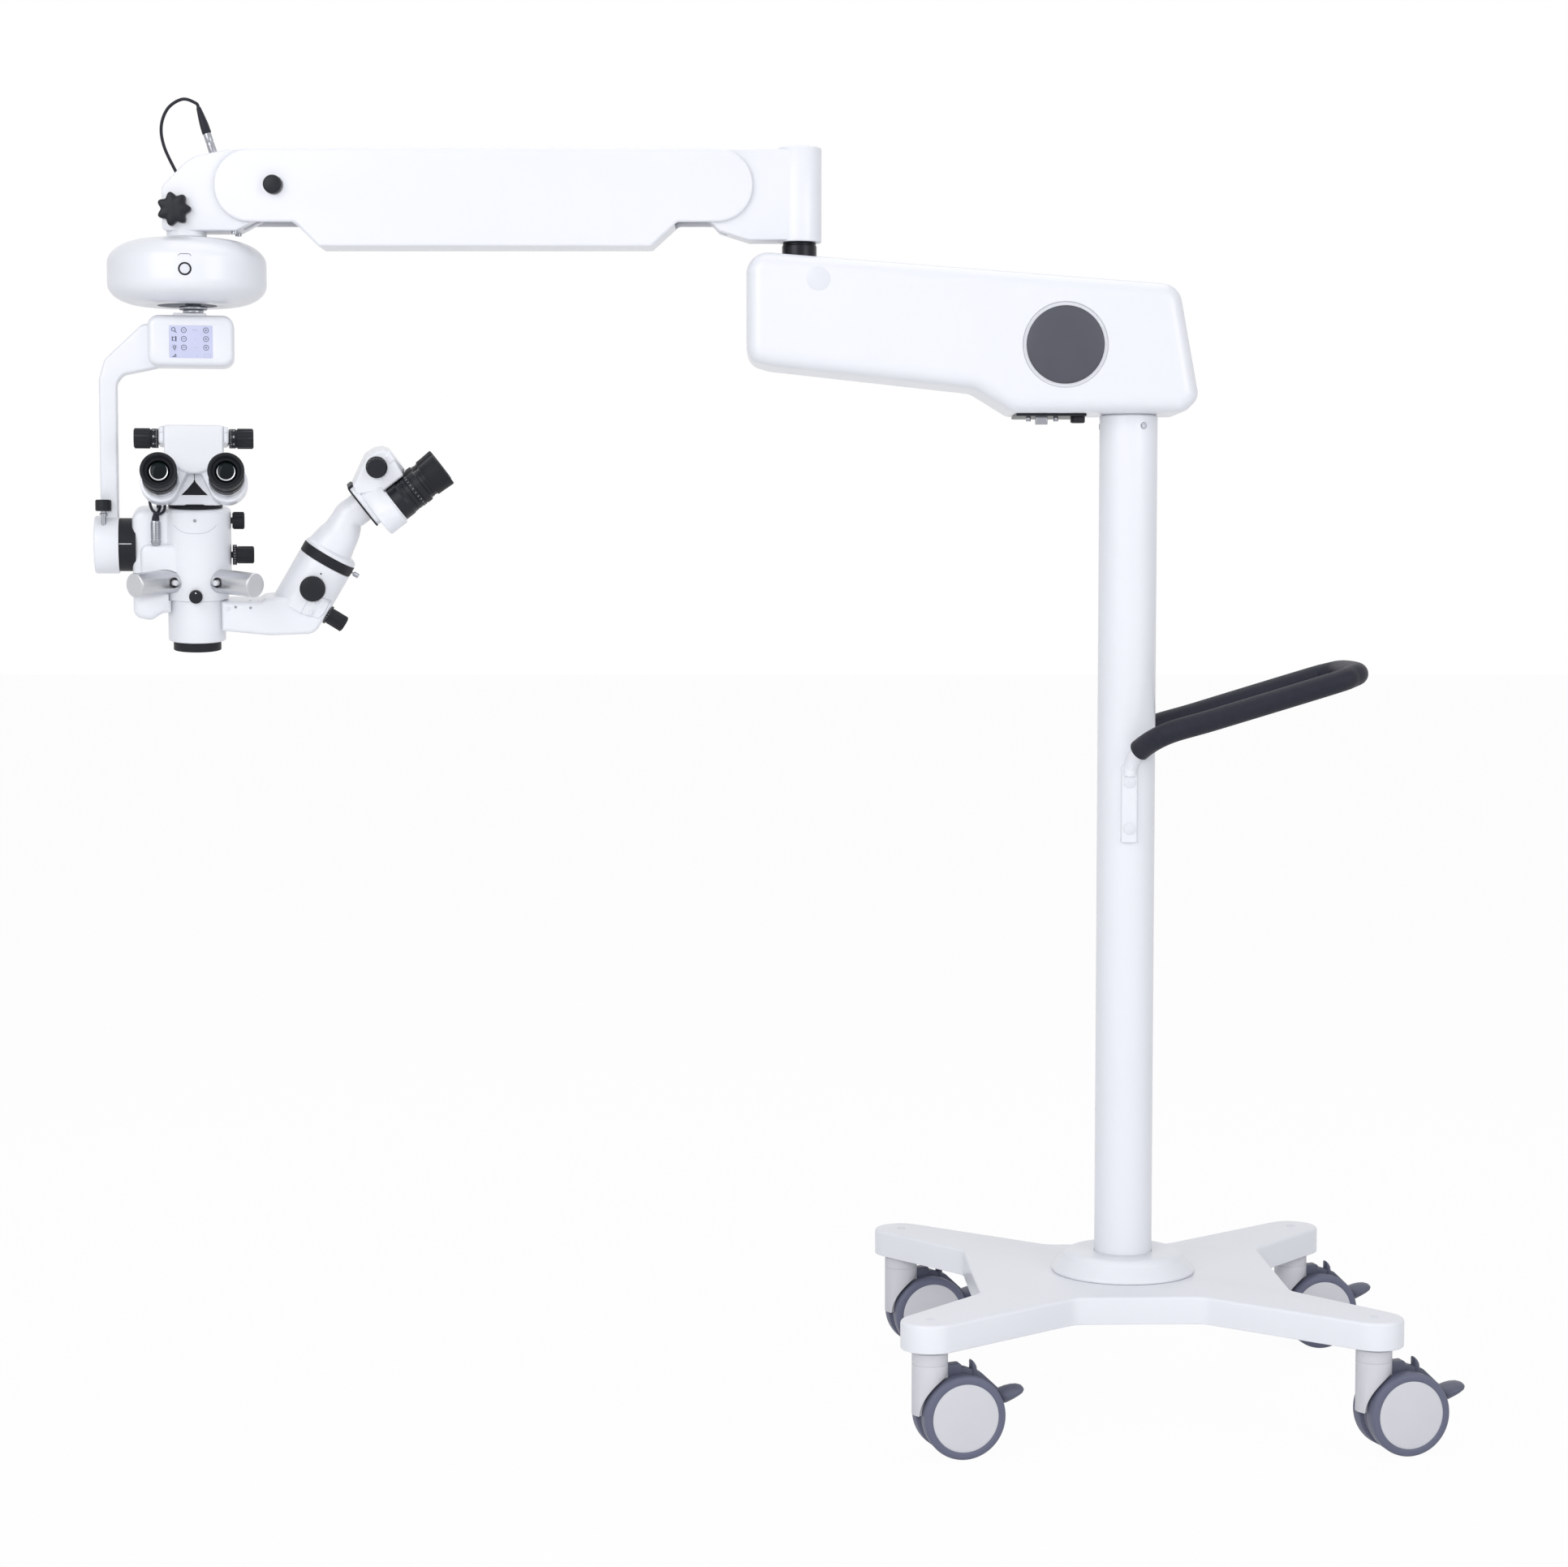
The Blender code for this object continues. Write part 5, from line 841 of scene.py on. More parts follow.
# %% [markdown]
# ## Lower arm
# This deep shell swings round the column and holds the power supply. It is one moulding with a
# generous radius all round, so it is raised from its outline with a 20 mm quarter circle at each
# face. A dark dome closes the opening over the bearing, and sockets peep out underneath.

# %% Lower arm
outline = [(-0.475, 1.306, 0.020), (-0.447, 1.298, 0.030), (-0.195, 1.270, 0.022), (-0.148, 1.241, 0.022),
           (0.062, 1.241, 0.018), (0.080, 1.259, 0.018), (0.0545, 1.397, 0.026), (-0.475, 1.438, 0.026)]
shell = standing(slab(outline, -0.075, 0.075, 0.020, 0.020, 10))
dome_place = at(-0.0854, 0, 1.323, FRONT)
recess = turned([(0, 0.072), (0.0512, 0.072), (0.0525, 0.0737), (0.0535, 0.090), (0, 0.090)], 128)
piece("lower_arm_shell", sprayed, "lower_arm", shell, nodes="lower_arm_housing",
      minus=[moved(recess, dome_place), moved(rod(0.0222, 1.40, 1.50, 64), ELBOW)])
dome = [(0, 0.0723), (0.0475, 0.0723), *oval_arc((0, 0.0753), 0.0475, 0.005, range(0, 90, 6)), (0, 0.0803)]
piece("bearing_dome", dome_grey, "lower_arm", turned(dome, 128), dome_place, "lower_arm_dome")
plug = turned([(0, 0.074), (0.0145, 0.074), (0.0145, 0.0754), (0.0138, 0.0758), (0, 0.0759)], 72)
piece("arm_plug", plug_white, "lower_arm", plug, at(-0.387, 0, 1.4025, FRONT))
post_low, head_low = 1.388, 1.4535
post = [(0, post_low), (0.0215, post_low), (0.0215, head_low - 0.0045), (0.0205, head_low - 0.004),
        (0.0205, head_low - 0.0003), (0.0175, head_low - 0.0003), (0.0175, head_low + 0.045),
        (0, head_low + 0.045)]
piece("post_skin", blued, "lower_arm", turned(post, 96), ELBOW, "elbow_post", 0.0003)

# %% Sockets under the lower arm
under = 1.2377
sockets = [block((0.087, 0.090, 0.003), (-0.0995, 0, under + 0.0015), 0.004, 0.0008)]
knob = turned([(0, under - 0.008), (0.0078, under - 0.008), (0.009, under - 0.0068), (0.009, under + 0.001),
               (0, under + 0.001)])
sockets.append(moved(knob, shift(-0.066, -0.028, 0)))
piece("socket_plate", black, "lower_arm", sockets, nodes="socket_panel", bevel=0.0003)
inlet = block((0.015, 0.012, 0.0105), (-0.111, -0.028, under - 0.0046), 0.0015, 0.0005)
piece("socket_inlet", bright, "lower_arm", inlet, bevel=0.0003)
posts = [moved(rod(0.003, under - 0.006, under + 0.001, 32), shift(x, -0.028, 0)) for x in (-0.127, -0.093)]
piece("socket_posts", bright, "lower_arm", posts, bevel=0.0005)
print("sockets", len(posts) + 2)

# %% [markdown]
# ## Upper arm
# Two steel links of equal length keep the front head level while the arm lifts, and a spring takes
# part of its weight. Two shells close over them. The cover's round ends show as a fine line on the
# heads, which stay visible beside it.

# %% Heads and links
rear = turned([(0, head_low), (0.0265, head_low), (0.0275, head_low + 0.001), (0.0275, 1.5675),
               (0.0265, 1.5692), (0.0245, 1.570), (0, 1.570)], 96)
bore_low, bore_high = head_low - 0.01, head_low + 0.0453
piece("rear_cylinder", cast, "rear_head", rear, ELBOW, minus=[rod(0.0178, bore_low, bore_high, 48)])
links_gap = 0.0093


def cheeks(pivot_x, side):
    """Outline of a head round the two link pins, from below; side is +1 where it ends at +X."""
    reach = side * 0.012
    return [(pivot_x - side * 0.003, 1.466, 0.004), (pivot_x + reach, 1.482, 0.008),
            (pivot_x + reach, 1.548, 0.010), (pivot_x - side * 0.005, 1.5655, 0.003)]


def head_block(node, corners, pivot_x, towards_arm, place, minus):
    """Cast head with a slot for the links and a pin through each link's eye."""
    left, right = sorted((pivot_x - towards_arm * 0.0125, pivot_x + towards_arm * 0.05))
    slot = block((right - left, links_gap * 2, 0.2), ((left + right) / 2, 0, UPPER_PIN_Z))
    body = standing(slab(corners, -0.0245, 0.0245, 0.0025, 0.0025))
    piece(f"{node}_skin", cast, node, body, place, node, minus=[slot, *minus])
    pins = [moved(rod(0.005, -0.0205, 0.0205, 40), at(pivot_x, 0, z, FRONT))
            for z in (UPPER_PIN_Z, LOWER_PIN_Z)]
    piece(f"{node}_pins", bright, node, pins, place, bevel=0.0003)


rear_corners = [(0, 1.5655, 0), *reversed(cheeks(REAR_PIN_X, -1)), (-0.062, head_low + 0.001, 0.006),
                (0, head_low + 0.001, 0)]
head_block("rear_head", rear_corners, REAR_PIN_X, -1, ELBOW, [rod(0.0178, bore_low, bore_high, 48)])
STAR = at(-1.179, -0.0245, 1.4915, FRONT)
PLUG_ROOT, PLUG_WAY = Vector((-1.1345, 0, 1.5600)), Vector((-0.30419, 0, 0.95261))
CABLE_WAY = (-0.532, 0, 0.847)
front_corners = [(-1.196, 1.466, 0.006), (-1.105, 1.466, 0.004), *cheeks(FRONT_PIN_X, 1)[1:],
                 (-1.112, 1.5655, 0.030), (-1.160, 1.5565, 0.050), (-1.196, 1.520, 0.014)]
holes = [moved(rod(0.0043, -0.0083, 0.01, 32), STAR),
         moved(rod(0.0053, -0.0033, 0.02, 40), at(*PLUG_ROOT, PLUG_WAY)),
         moved(rod(0.0022, -0.02, 0.02, 32), at(-1.1795, 0, 1.5355, CABLE_WAY))]
head_block("front_head", front_corners, FRONT_PIN_X, 1, Matrix.Identity(4), holes)
neck = turned([(0, 1.4597), (0.0238, 1.4597), (0.0247, 1.4606), (0.0247, 1.472), (0, 1.472)], 96)
piece("front_neck", cast, "front_head", neck, shift(-1.170, 0, 0), minus=[rod(0.0084, 1.44, 1.4893, 32)])
softened("upper_link", "upper_arm", 0.0005)
softened("lower_link", "lower_link", 0.0005)
spring_place = LIFT @ shift(-0.4345, 0, 0.0215) @ turn(90, "Y")
grown("spring_coil", coils, bright, "upper_arm", spring_place, nodes="balance_spring",
      Turns=22.0, Radius=0.0087, Wire=0.0018, Length=0.329)
print("link pins at", REAR_PIN_X, "from the elbow and at", FRONT_PIN_X)

# %% Covers of the upper arm
cover_outline = [(-0.6195, -0.045, 0.0441), (-0.520, -0.045, 0.008), (-0.490, -0.075, 0.005),
                 (-0.081, -0.075, 0.005), (-0.048, -0.045, 0.008), (0.045, -0.045, 0.0441),
                 (0.045, 0.045, 0.0441), (-0.6195, 0.045, 0.0441)]
for name, side in (("side_cover_front", 1), ("side_cover_back", -1)):
    mirror = Matrix.Diagonal((1, 1, side, 1))
    shell = slab(cover_outline, 0.00015, 0.032, 0.0, 0.004, 8)
    hollow = slab(inset(cover_outline, 0.003), -0.01, 0.029)
    openings = [box_corners(-0.025, 0.1, 0, 0.1), box_corners(-0.052, 0.1, -0.1, 0.001),
                box_corners(-0.7, -0.5495, 0, 0.1), box_corners(-0.7, -0.5225, -0.1, 0.001)]
    cuts = [hollow, *[slab(opening, -0.01, 0.0292) for opening in openings]]
    if side > 0:
        cuts.append(moved(rod(0.0043, 0, 0.05, 32), shift(-0.545, 0, 0)))
    for shape in (shell, *cuts):
        standing(moved(shape, mirror))
    piece(f"{name}_skin", sprayed, "upper_arm", shell, LIFT, name, minus=cuts)
balance_place = LIFT @ at(-0.545, 0, 0, FRONT)
knob = turned([(0, 0.0093), (0.004, 0.0093), (0.004, 0.0323), (0.0115, 0.0323), (0.0115, 0.0395),
               *arc((0.0085, 0.0398), 0.003, 0, 80, 6), (0.004, 0.0432), (0, 0.0435)], 72)
piece("balance_knob_skin", black, "balance_knob", knob, balance_place, "balance_knob")
washer = turned([(0.0118, 0.0321), (0.0128, 0.0321), (0.0128, 0.0327), (0.0118, 0.0327)], 72)
piece("balance_washer", satin, "upper_arm", washer, balance_place)
screw_heads("head_screws", "front_head", Matrix.Identity(4),
            [((-1.108, y, 1.4653), (0, 0, -1)) for y in (-0.014, 0.014)], 0.0040, 0.0046, 0.0020)

# %% [markdown]
# ## Star knob and loop cable
# The lobed knob clamps the turntable. Its outline follows a rule: the radius falls and rises seven
# times round. The thin cable carries the head's power over the joint: it leaves the slope of the
# head, stands up in a stiff loop and comes back in a plug with a long tapered boot.

# %% Star knob
lobe_layers = ((0.0030, 0.0030), (0.0008, 0.0036), (0, 0.0048), (0, 0.0118), (0.0010, 0.0134),
               (0.0036, 0.0143), (0.0120, 0.0146))
lobed = []
for shrink, height in lobe_layers:
    wave = 0.005 * (0.3 if shrink > 0.01 else 1)
    reaches = [(angle, 0.021 - shrink - wave * (1 - math.cos(7 * angle)) / 2) for angle in steps_round(168)]
    lobed.append([(reach * math.cos(angle), reach * math.sin(angle), height) for angle, reach in reaches])
stem = turned([(0, -0.008), (0.004, -0.008), (0.004, 0.0003), (0.011, 0.0003), (0.011, 0.0045), (0, 0.0045)])
piece("star_grip", black, "star_knob", [loft(lobed), stem], STAR, "star_knob", 0.0002)

# %% Loop cable
tip = PLUG_ROOT + PLUG_WAY * 0.0625
line = [(-1.1779, 0, 1.5333), (-1.1806, 0, 1.5376), (-1.1963, 0, 1.571), (-1.1997, 0, 1.597),
        (-1.191, 0, 1.6188), (-1.173, 0, 1.6297), (-1.157, 0, 1.6250), tip, PLUG_ROOT + PLUG_WAY * 0.0585]
line = smooth_path(line, 14)
plug_place = at(*PLUG_ROOT, PLUG_WAY)
boot = turned([(0, 0.029), (0.0055, 0.029), (0.0057, 0.031), (0.0054, 0.041), (0.0042, 0.052),
               (0.0028, 0.0622), (0.0024, 0.0625), (0.00215, 0.0623), (0.00215, 0.058), (0, 0.058)], 48)
piece("loop_boot", cable_black, "front_head", boot, plug_place)
barrel = turned([(0, -0.003), (0.005, -0.003), (0.005, 0.0165), (0.0046, 0.0168), (0.0046, 0.0178),
                 (0.005, 0.0181), (0.005, 0.0288), (0.0046, 0.0292), (0, 0.0292)], 64)
plug_skin = piece("loop_plug_skin", bright, "front_head", barrel, plug_place, "loop_plug", 0.0002)
plug_rings = grown("loop_plug_rings", rings, bright, "front_head",
                   at(*(PLUG_ROOT + PLUG_WAY * 0.004), PLUG_WAY),
                   Count=8, Radius=0.0049, Pitch=0.0013, Wire=0.0003)
grommet = turned([(0.0021, 0.0), (0.0042, 0.0), (0.0040, 0.0016), (0.0024, 0.0028), (0.0021, 0.0028)], 40)
piece("loop_grommet", cable_black, "front_head", grommet, at(-1.1783, 0, 1.5343, CABLE_WAY))
loop = piece("loop_cable_skin", cable_black, "front_head", swept(line, 0.002, 20), nodes="loop_cable")
loop_length = sum((b - a).length for a, b in zip(line, line[1:]))
print("loop cable", round(loop_length, 4), "m")

# %% [markdown]
# ## XY unit
# The round housing hides two crossed slides, which a motor moves to follow the surgeon. It is one
# turned shell: a shallow crown, a wide soft rim and a flat floor with a round mouth for the spindle.

# %% XY housing
crown = [(0, 1.376), (0.0555, 1.376), *oval_arc((0.0555, 1.402), 0.042, 0.026, range(-85, 1, 5)),
         *oval_arc((0.0455, 1.4265), 0.052, 0.030, range(0, 91, 5)), (0.0305, 1.4565), (0.0252, 1.4590),
         (0.0245, 1.4594), (0, 1.4594)]
mouth, cave = rod(0.0366, 1.36, 1.3895, 96), rod(0.088, 1.389, 1.43, 96)
face = at(0, 0, 1.4125, FRONT)
seat = moved(rod(0.0063, 0.0909, 0.11, 48), face)
piece("xy_shell", sprayed, "xy_unit", turned(crown, 160), TURNTABLE, "xy_housing", 0.0006,
      [mouth, cave, seat])
bezel = turned([(0.0063, 0.0925), (0.0078, 0.0930), (0.0080, 0.0978), (0.0076, 0.0982), (0.0067, 0.0982),
                (0.0063, 0.0978)], 64)
piece("button_bezel", black, "xy_unit", bezel, TURNTABLE @ face)
button = turned([(0, 0.0931), (0.006, 0.0931), (0.006, 0.0973), *arc((0.0050, 0.0976), 0.001, 0, 90, 4),
                 (0, 0.0988)], 56)
piece("button_cap", plug_white, "centre_button", button, TURNTABLE @ face, "centre_button")


# %% Plain oval over the button
def oval_ring(width, height, wire, sides=48):
    """Closed flat loop with half-round ends, in x and y."""
    half = (width - height) / 2
    outer, inner = (arc((half, 0), radius, -90, 90, sides // 2) + arc((-half, 0), radius, 90, 270, sides // 2)
                    for radius in (height / 2, height / 2 - wire))
    rows = ((outer, 0), (outer, 0.0002), (inner, 0.0002), (inner, 0))
    return band([[(x, y, z) for x, y in points] for points, z in rows])


oval = oval_ring(0.0155, 0.0066, 0.0006)
for vertex in oval.verts:
    vertex.co.z += math.sqrt(0.0975 ** 2 - vertex.co.x ** 2) - 0.0003
piece("button_oval", ink, "xy_unit", oval, TURNTABLE @ at(0, 0, 1.4275, FRONT))
softened("xy_carriage", "xy_carriage", 0.0004)

# %% Spindle
low = 1.376
spindle = [(0, 1.355), (0.010, 1.355), (0.010, low - 0.0100), (0.0123, low - 0.0100), (0.013, low - 0.0093),
           (0.013, low - 0.0062), (0.0123, low - 0.0055), (0.0165, low - 0.0055), (0.0175, low - 0.0048),
           (0.0175, low - 0.0017), (0.0168, low - 0.0010), (0.010, low - 0.0010), (0.010, 1.3893),
           (0.0602, 1.3893), (0.0602, 1.3923), (0, 1.3923)]
piece("spindle_skin", bright, "xy_spindle", [turned(spindle, 96),
                                             block((0.070, 0.080, 0.010), (0, 0, 1.398), 0.004)],
      CARRIER, "xy_spindle", 0.0002)

# %% [markdown]
# ## Carrier arm and display
# The carrier hangs from the spindle: a display housing, a bent bar down the left side and a round
# hub for the tilt joint. The display is a pale backlit panel. Its marks are generic: a magnifier,
# a focus pair, a lamp, an arrow, rings with a minus or a plus, and short bars where values stand.

# %% Carrier arm
depth = 0.028
housing = standing(slab(box_corners(-0.0556, 0.0498, 1.2995, 1.3627, 0.014), -depth, depth, 0.008, 0.008, 6))
bar_outline = [(-0.1155, TILT_Z, 0), (-0.0937, TILT_Z, 0), (-0.0937, 1.279, 0.014), (-0.0857, 1.2895, 0.012),
               (-0.0436, 1.2985, 0.010), (-0.0256, 1.3195, 0.002), (-0.0256, 1.3507, 0.002),
               (-0.0616, 1.3527, 0.014), (-0.1085, 1.308, 0.016), (-0.1155, 1.284, 0.016)]
bent = standing(slab(bar_outline, -0.014, 0.014, 0.004, 0.004, 4))
hub = turned([(0, 0), (0.0328, 0), *arc((0.0328, 0.003), 0.003, -90, 0, 5), (0.0358, 0.0285), (0.0350, 0.030),
              (0, 0.030)], 128)
piece("carrier_bar", cast, "carrier", [bent, moved(hub, at(-0.1235, 0, TILT_Z, X_WAY))], CARRIER,
      "carrier_arm")
screen_cut = standing(slab(box_corners(-0.029, 0.024, 1.3095, 1.3495, 0.001), depth - 0.0008, depth + 0.01))
piece("display_housing", sprayed, "carrier", housing, CARRIER, bevel=0.0002, minus=[screen_cut])
block_top = block((0.040, 0.040, 0.0094), (-0.004, 0, 1.3609), 0.003, 0.001)
socket = rod(0.0104, 1.3547, 1.38, 48)
piece("spindle_block", cast, "carrier", block_top, CARRIER, minus=[socket])
screen = standing(slab(box_corners(-0.0289, 0.0239, 1.3096, 1.3494, 0.0009), depth - 0.0009, depth - 0.0004))
piece("display_panel", panel, "carrier", screen, CARRIER)

# %% Marks on the display
mark_top = depth - 0.0002


def hoop(x, z, radius, wire=0.00035, sides=28):
    """Flat ring on the display."""
    shape = turned([(radius - wire, 0), (radius + wire, 0), (radius + wire, 0.0002), (radius - wire, 0.0002)],
                   sides)
    return moved(shape, at(x, -mark_top + 0.0002, z, FRONT))


def dash(x, z, width, height, lean=0.0):
    """Flat bar on the display, leaning by an angle in degrees."""
    return moved(block((width, 0.0002, height)), shift(x, -mark_top + 0.0001, z) @ turn(lean, "Y"))


drawn = []
for z in (1.3439, 1.3332, 1.3226):
    for x, plus in ((-0.0112, False), (0.0158, True)):
        drawn += [hoop(x, z, 0.0031), dash(x, z, 0.0028, 0.0006)]
        if plus:
            drawn.append(dash(x, z, 0.0006, 0.0028))
drawn += [hoop(-0.0237, 1.3447, 0.0022, 0.0004), dash(-0.0212, 1.3419, 0.0034, 0.0009, 42)]
drawn += [dash(-0.0252, 1.3332, 0.0010, 0.0056), dash(-0.0234, 1.3350, 0.0026, 0.0007),
          dash(-0.0234, 1.3314, 0.0026, 0.0007), dash(-0.0208, 1.3332, 0.0014, 0.0064)]
drawn += [hoop(-0.0226, 1.3229, 0.0016, 0.0004), dash(-0.0226, 1.3199, 0.0020, 0.0009)]
for lean in (-90, -45, 0, 45, 90):
    angle = math.radians(90 - lean)
    drawn.append(dash(-0.0226 + 0.0031 * math.cos(angle), 1.3229 + 0.0031 * math.sin(angle), 0.0004, 0.0011,
                      lean))
drawn += [dash(-0.0226, 1.3124, 0.0042, 0.0009, -30), dash(-0.0212, 1.3136, 0.0026, 0.0009, 60),
          dash(-0.0226, 1.3112, 0.0050, 0.0006)]
piece("display_marks", ink, "carrier", drawn, CARRIER)
faint = [dash(x, z, w, 0.0006) for x, z, w in ((0.0008, 1.3443, 0.0030), (0.0040, 1.3443, 0.0020),
                                               (0.0024, 1.3332, 0.0022), (0.0026, 1.3226, 0.0024),
                                               (0.0054, 1.3226, 0.0012), (0.0048, 1.3128, 0.0018))]
for x, z, w, h in ((0.0172, 1.3150, 0.0080, 0.0003), (0.0172, 1.3110, 0.0080, 0.0003),
                   (0.0132, 1.3130, 0.0003, 0.0040), (0.0212, 1.3130, 0.0003, 0.0040)):
    faint.append(dash(x, z, w, h))
piece("display_values", seam, "carrier", faint, CARRIER)

# %% Tilt lock knob
lock = CARRIER @ shift(-0.1115, -0.0245, 0)
base = TILT_Z + 0.041
stem = turned([(0, 1.0943), (0.003, 1.0943), (0.003, base), (0, base)], 32)
collar = turned([(0, base - 0.0052), (0.0048, base - 0.0052), (0.0048, base - 0.0030),
                 (0.0034, base - 0.0022), (0.0034, base), (0, base)])
cap = turned([(0, base), (0.0088, base), (0.0095, base + 0.0007), (0.0095, base + 0.0130),
              (0.0088, base + 0.0140), (0, base + 0.0140)], 72)
piece("lock_stem", bright, "tilt_lock_knob", [stem, collar], lock)
piece("lock_cap", black, "tilt_lock_knob", cap, lock, "tilt_lock_knob")
knurl("lock_knurl", "tilt_lock_knob", lock, base + 0.007, 44, 0.0092, 0.0010, 0.0115)
print("tilt lock knob at", [round(v, 3) for v in lock.translation])

# %% [markdown]
# ## Scope body
# The body is turned: a lens ring at the bottom, a short cylinder, then a cone that widens into the
# main barrel. The objective closes it below. A fine seam runs round the barrel's shoulder, drawn as a
# line of painted shade, and the mount box on its left side joins the tilt ring, with a white index
# line that shows the angle.

# %% Body
ring_profile = [(0.0255, -0.1295), (0.0255, -0.1318), (0.0290, -0.1318), (0.0295, -0.1313), (0.0295, -0.1205),
                (0.0255, -0.1205)]
tube = [(0, -0.1296), (0.0256, -0.1296), (0.0256, -0.1203), (0.0265, -0.1203), (0.0265, -0.067),
        (0.0385, -0.067), (0.0397, -0.0662), (0.0400, -0.0625), (0.0435, -0.034), (0.0435, 0.0398),
        *arc((0.0375, 0.0410), 0.006, 0, 90, 8), (0, 0.047)]
piece("scope_barrel", sprayed, "head", turned(tube, 160), HEAD, "scope_body")
piece("lens_ring", matt_black, "head", turned(ring_profile, 128), HEAD, bevel=0.0003)
bulge = oval_arc((0, -0.1300), 0.0256, 0.0016, range(0, -90, -9))
piece("objective_glass", glass, "head", turned([(0, -0.1290), (0.0256, -0.1290), *bulge, (0, -0.1316)], 96),
      HEAD)
# The seam round the shoulder is drawn as a thin grey tube: a line of painted shade.
arch = [(-0.0262 + 0.0524 * i / 24, 0.0185 + 0.010 * (abs(i - 12) / 12) ** 3.0) for i in range(25)]
arch_path = [(x, -math.sqrt(0.0436 ** 2 - x * x), z) for x, z in arch]
piece("barrel_seam_shade", seam, "head", swept(arch_path, 0.00022, 8), HEAD)
screw_heads("barrel_screw", "head", HEAD, [((0, -0.0437, 0.0345), (0, -1, 0))], 0.0021, 0.0010, 0.0011)


# %% Head mount
def handle_line(side):
    """Direction of a handle and the place of its root; side is +1 on the right."""
    way = Vector((side * math.sin(math.radians(45)), -math.cos(math.radians(45)), 0))
    return way, Vector((side * 0.031, -0.031, -0.042)) - way * 0.012


def clearance():
    """Room for the barrel and for the root of the left handle."""
    way, root = handle_line(-1)
    return [rod(0.0436, -0.067, 0.08, 128), moved(rod(0.0153, -0.02, 0.10, 64), at(*root, way))]


mount = [(-0.0770, -0.088, 0.012), (-0.0550, -0.092, 0.008), (-0.0410, -0.083, 0.008),
         (-0.030, -0.083, 0.002), (-0.030, 0.0465, 0.002), (-0.0770, 0.0465, 0.014)]
box = standing(slab(mount, -0.030, 0.030, 0.009, 0.010, 6))
boss = standing(slab(box_corners(-0.0670, -0.020, -0.045, 0.004, 0.010), 0, 0.038, 0.0, 0.006, 5))
barrel_room, grip_room = clearance()
piece("mount_box", sprayed, "head", box, HEAD, "head_mount",
      minus=[barrel_room, rod(0.0400, -0.14, -0.0655, 96), grip_room])
piece("mount_boss", sprayed, "head", boss, HEAD, minus=clearance())
tilt_ring = turned([(0, -0.0150), (0.0130, -0.0150), (0.0130, 0.0), (0.0324, 0), (0.0330, 0.0006),
                    (0.0330, 0.0205), (0, 0.0205)], 128)
tilt_place = HEAD @ at(-0.0932, 0, 0, X_WAY)
piece("tilt_ring", matt_black, "head", tilt_ring, tilt_place)
line_bar = moved(block((0.0006, 0.0009, 0.0150), (0, 0, 0.0080)), shift(0.0331, 0, 0))
piece("tilt_index", white_ink, "head", line_bar, tilt_place @ turn(-98, "Z"))

# %% [markdown]
# ## Handles
# Two satin handles stick out at 45 degrees, each with a small white button in a dark ring by its
# root. They are turned bars with rounded ends; the ring sits in a round seat cut into the bar.

# %% Handles
for name, side in (("left", -1), ("right", 1)):
    way, root = handle_line(side)
    grip = turned([(0, 0.0), (0.0150, 0.0), (0.0150, 0.0700), *arc((0.0130, 0.0700), 0.002, 0, 90, 6),
                   (0, 0.0720)], 96)
    across = Vector((-side * math.cos(math.radians(45)), -math.sin(math.radians(45)), 0))
    seat = at(*(root + way * 0.020 + across * 0.012), across)
    hole = moved(rod(0.0066, 0.0010, 0.02, 40), at(*root, way).inverted() @ seat)
    piece(f"handle_{name}_bar", satin, "head", grip, HEAD @ at(*root, way), f"handle_{name}", 0.0002, [hole])
    ring = turned([(0.0038, 0.0010), (0.0066, 0.0010), (0.0066, 0.0034), (0.0060, 0.0038), (0.0046, 0.0030),
                   (0.0038, 0.0018)], 48)
    piece(f"handle_{name}_ring", black, "head", ring, HEAD @ seat)
    cap = turned([(0, 0), (0.0035, 0), (0.0035, 0.0060), *arc((0.0028, 0.0063), 0.0007, 0, 90, 4),
                  (0, 0.0070)], 40)
    piece(f"handle_{name}_cap", plug_white, f"handle_button_{name}", cap, HEAD @ seat,
          f"handle_button_{name}")

# %% [markdown]
# ## Knobs
# Most of the knobs are one idea at different sizes: a turned core, sometimes a flange, and ribs
# that give the fingers a grip. The ribs are a ring of small bars from the tree made above. The focus
# knob in front is plain, with a white dot.


# %% Knobs
def ribbed_knob(name, home, length, radius, count, flange=0.0, stem=0.0015, marks_on=0):
    """Turned knob on a stem with ribs round its grip, and printed marks on its flange if asked."""
    core = [(0, -0.006), (0.004, -0.006), (0.004, stem)]
    if flange:
        core += [(radius + 0.0018, stem), (radius + 0.0022, stem + 0.0004), (radius + 0.0022, stem + flange),
                 (radius, stem + flange + 0.0004)]
    else:
        core += [(radius - 0.0008, stem)]
    core += [(radius - 0.0006, length - 0.0008), (radius - 0.0014, length), (0, length)]
    piece(f"{name}_core", black, name, turned(core, 72), home, name)
    low_end = stem + flange + 0.0012
    knurl(f"{name}_ribs", name, home, (low_end + length - 0.0010) / 2, count, radius - 0.0005, 0.0017,
          length - 0.0010 - low_end)
    if marks_on:
        ticks(f"{name}_marks", name, home, stem + flange * 0.55, marks_on, radius + 0.0022, 0.0003,
              flange * 0.35)


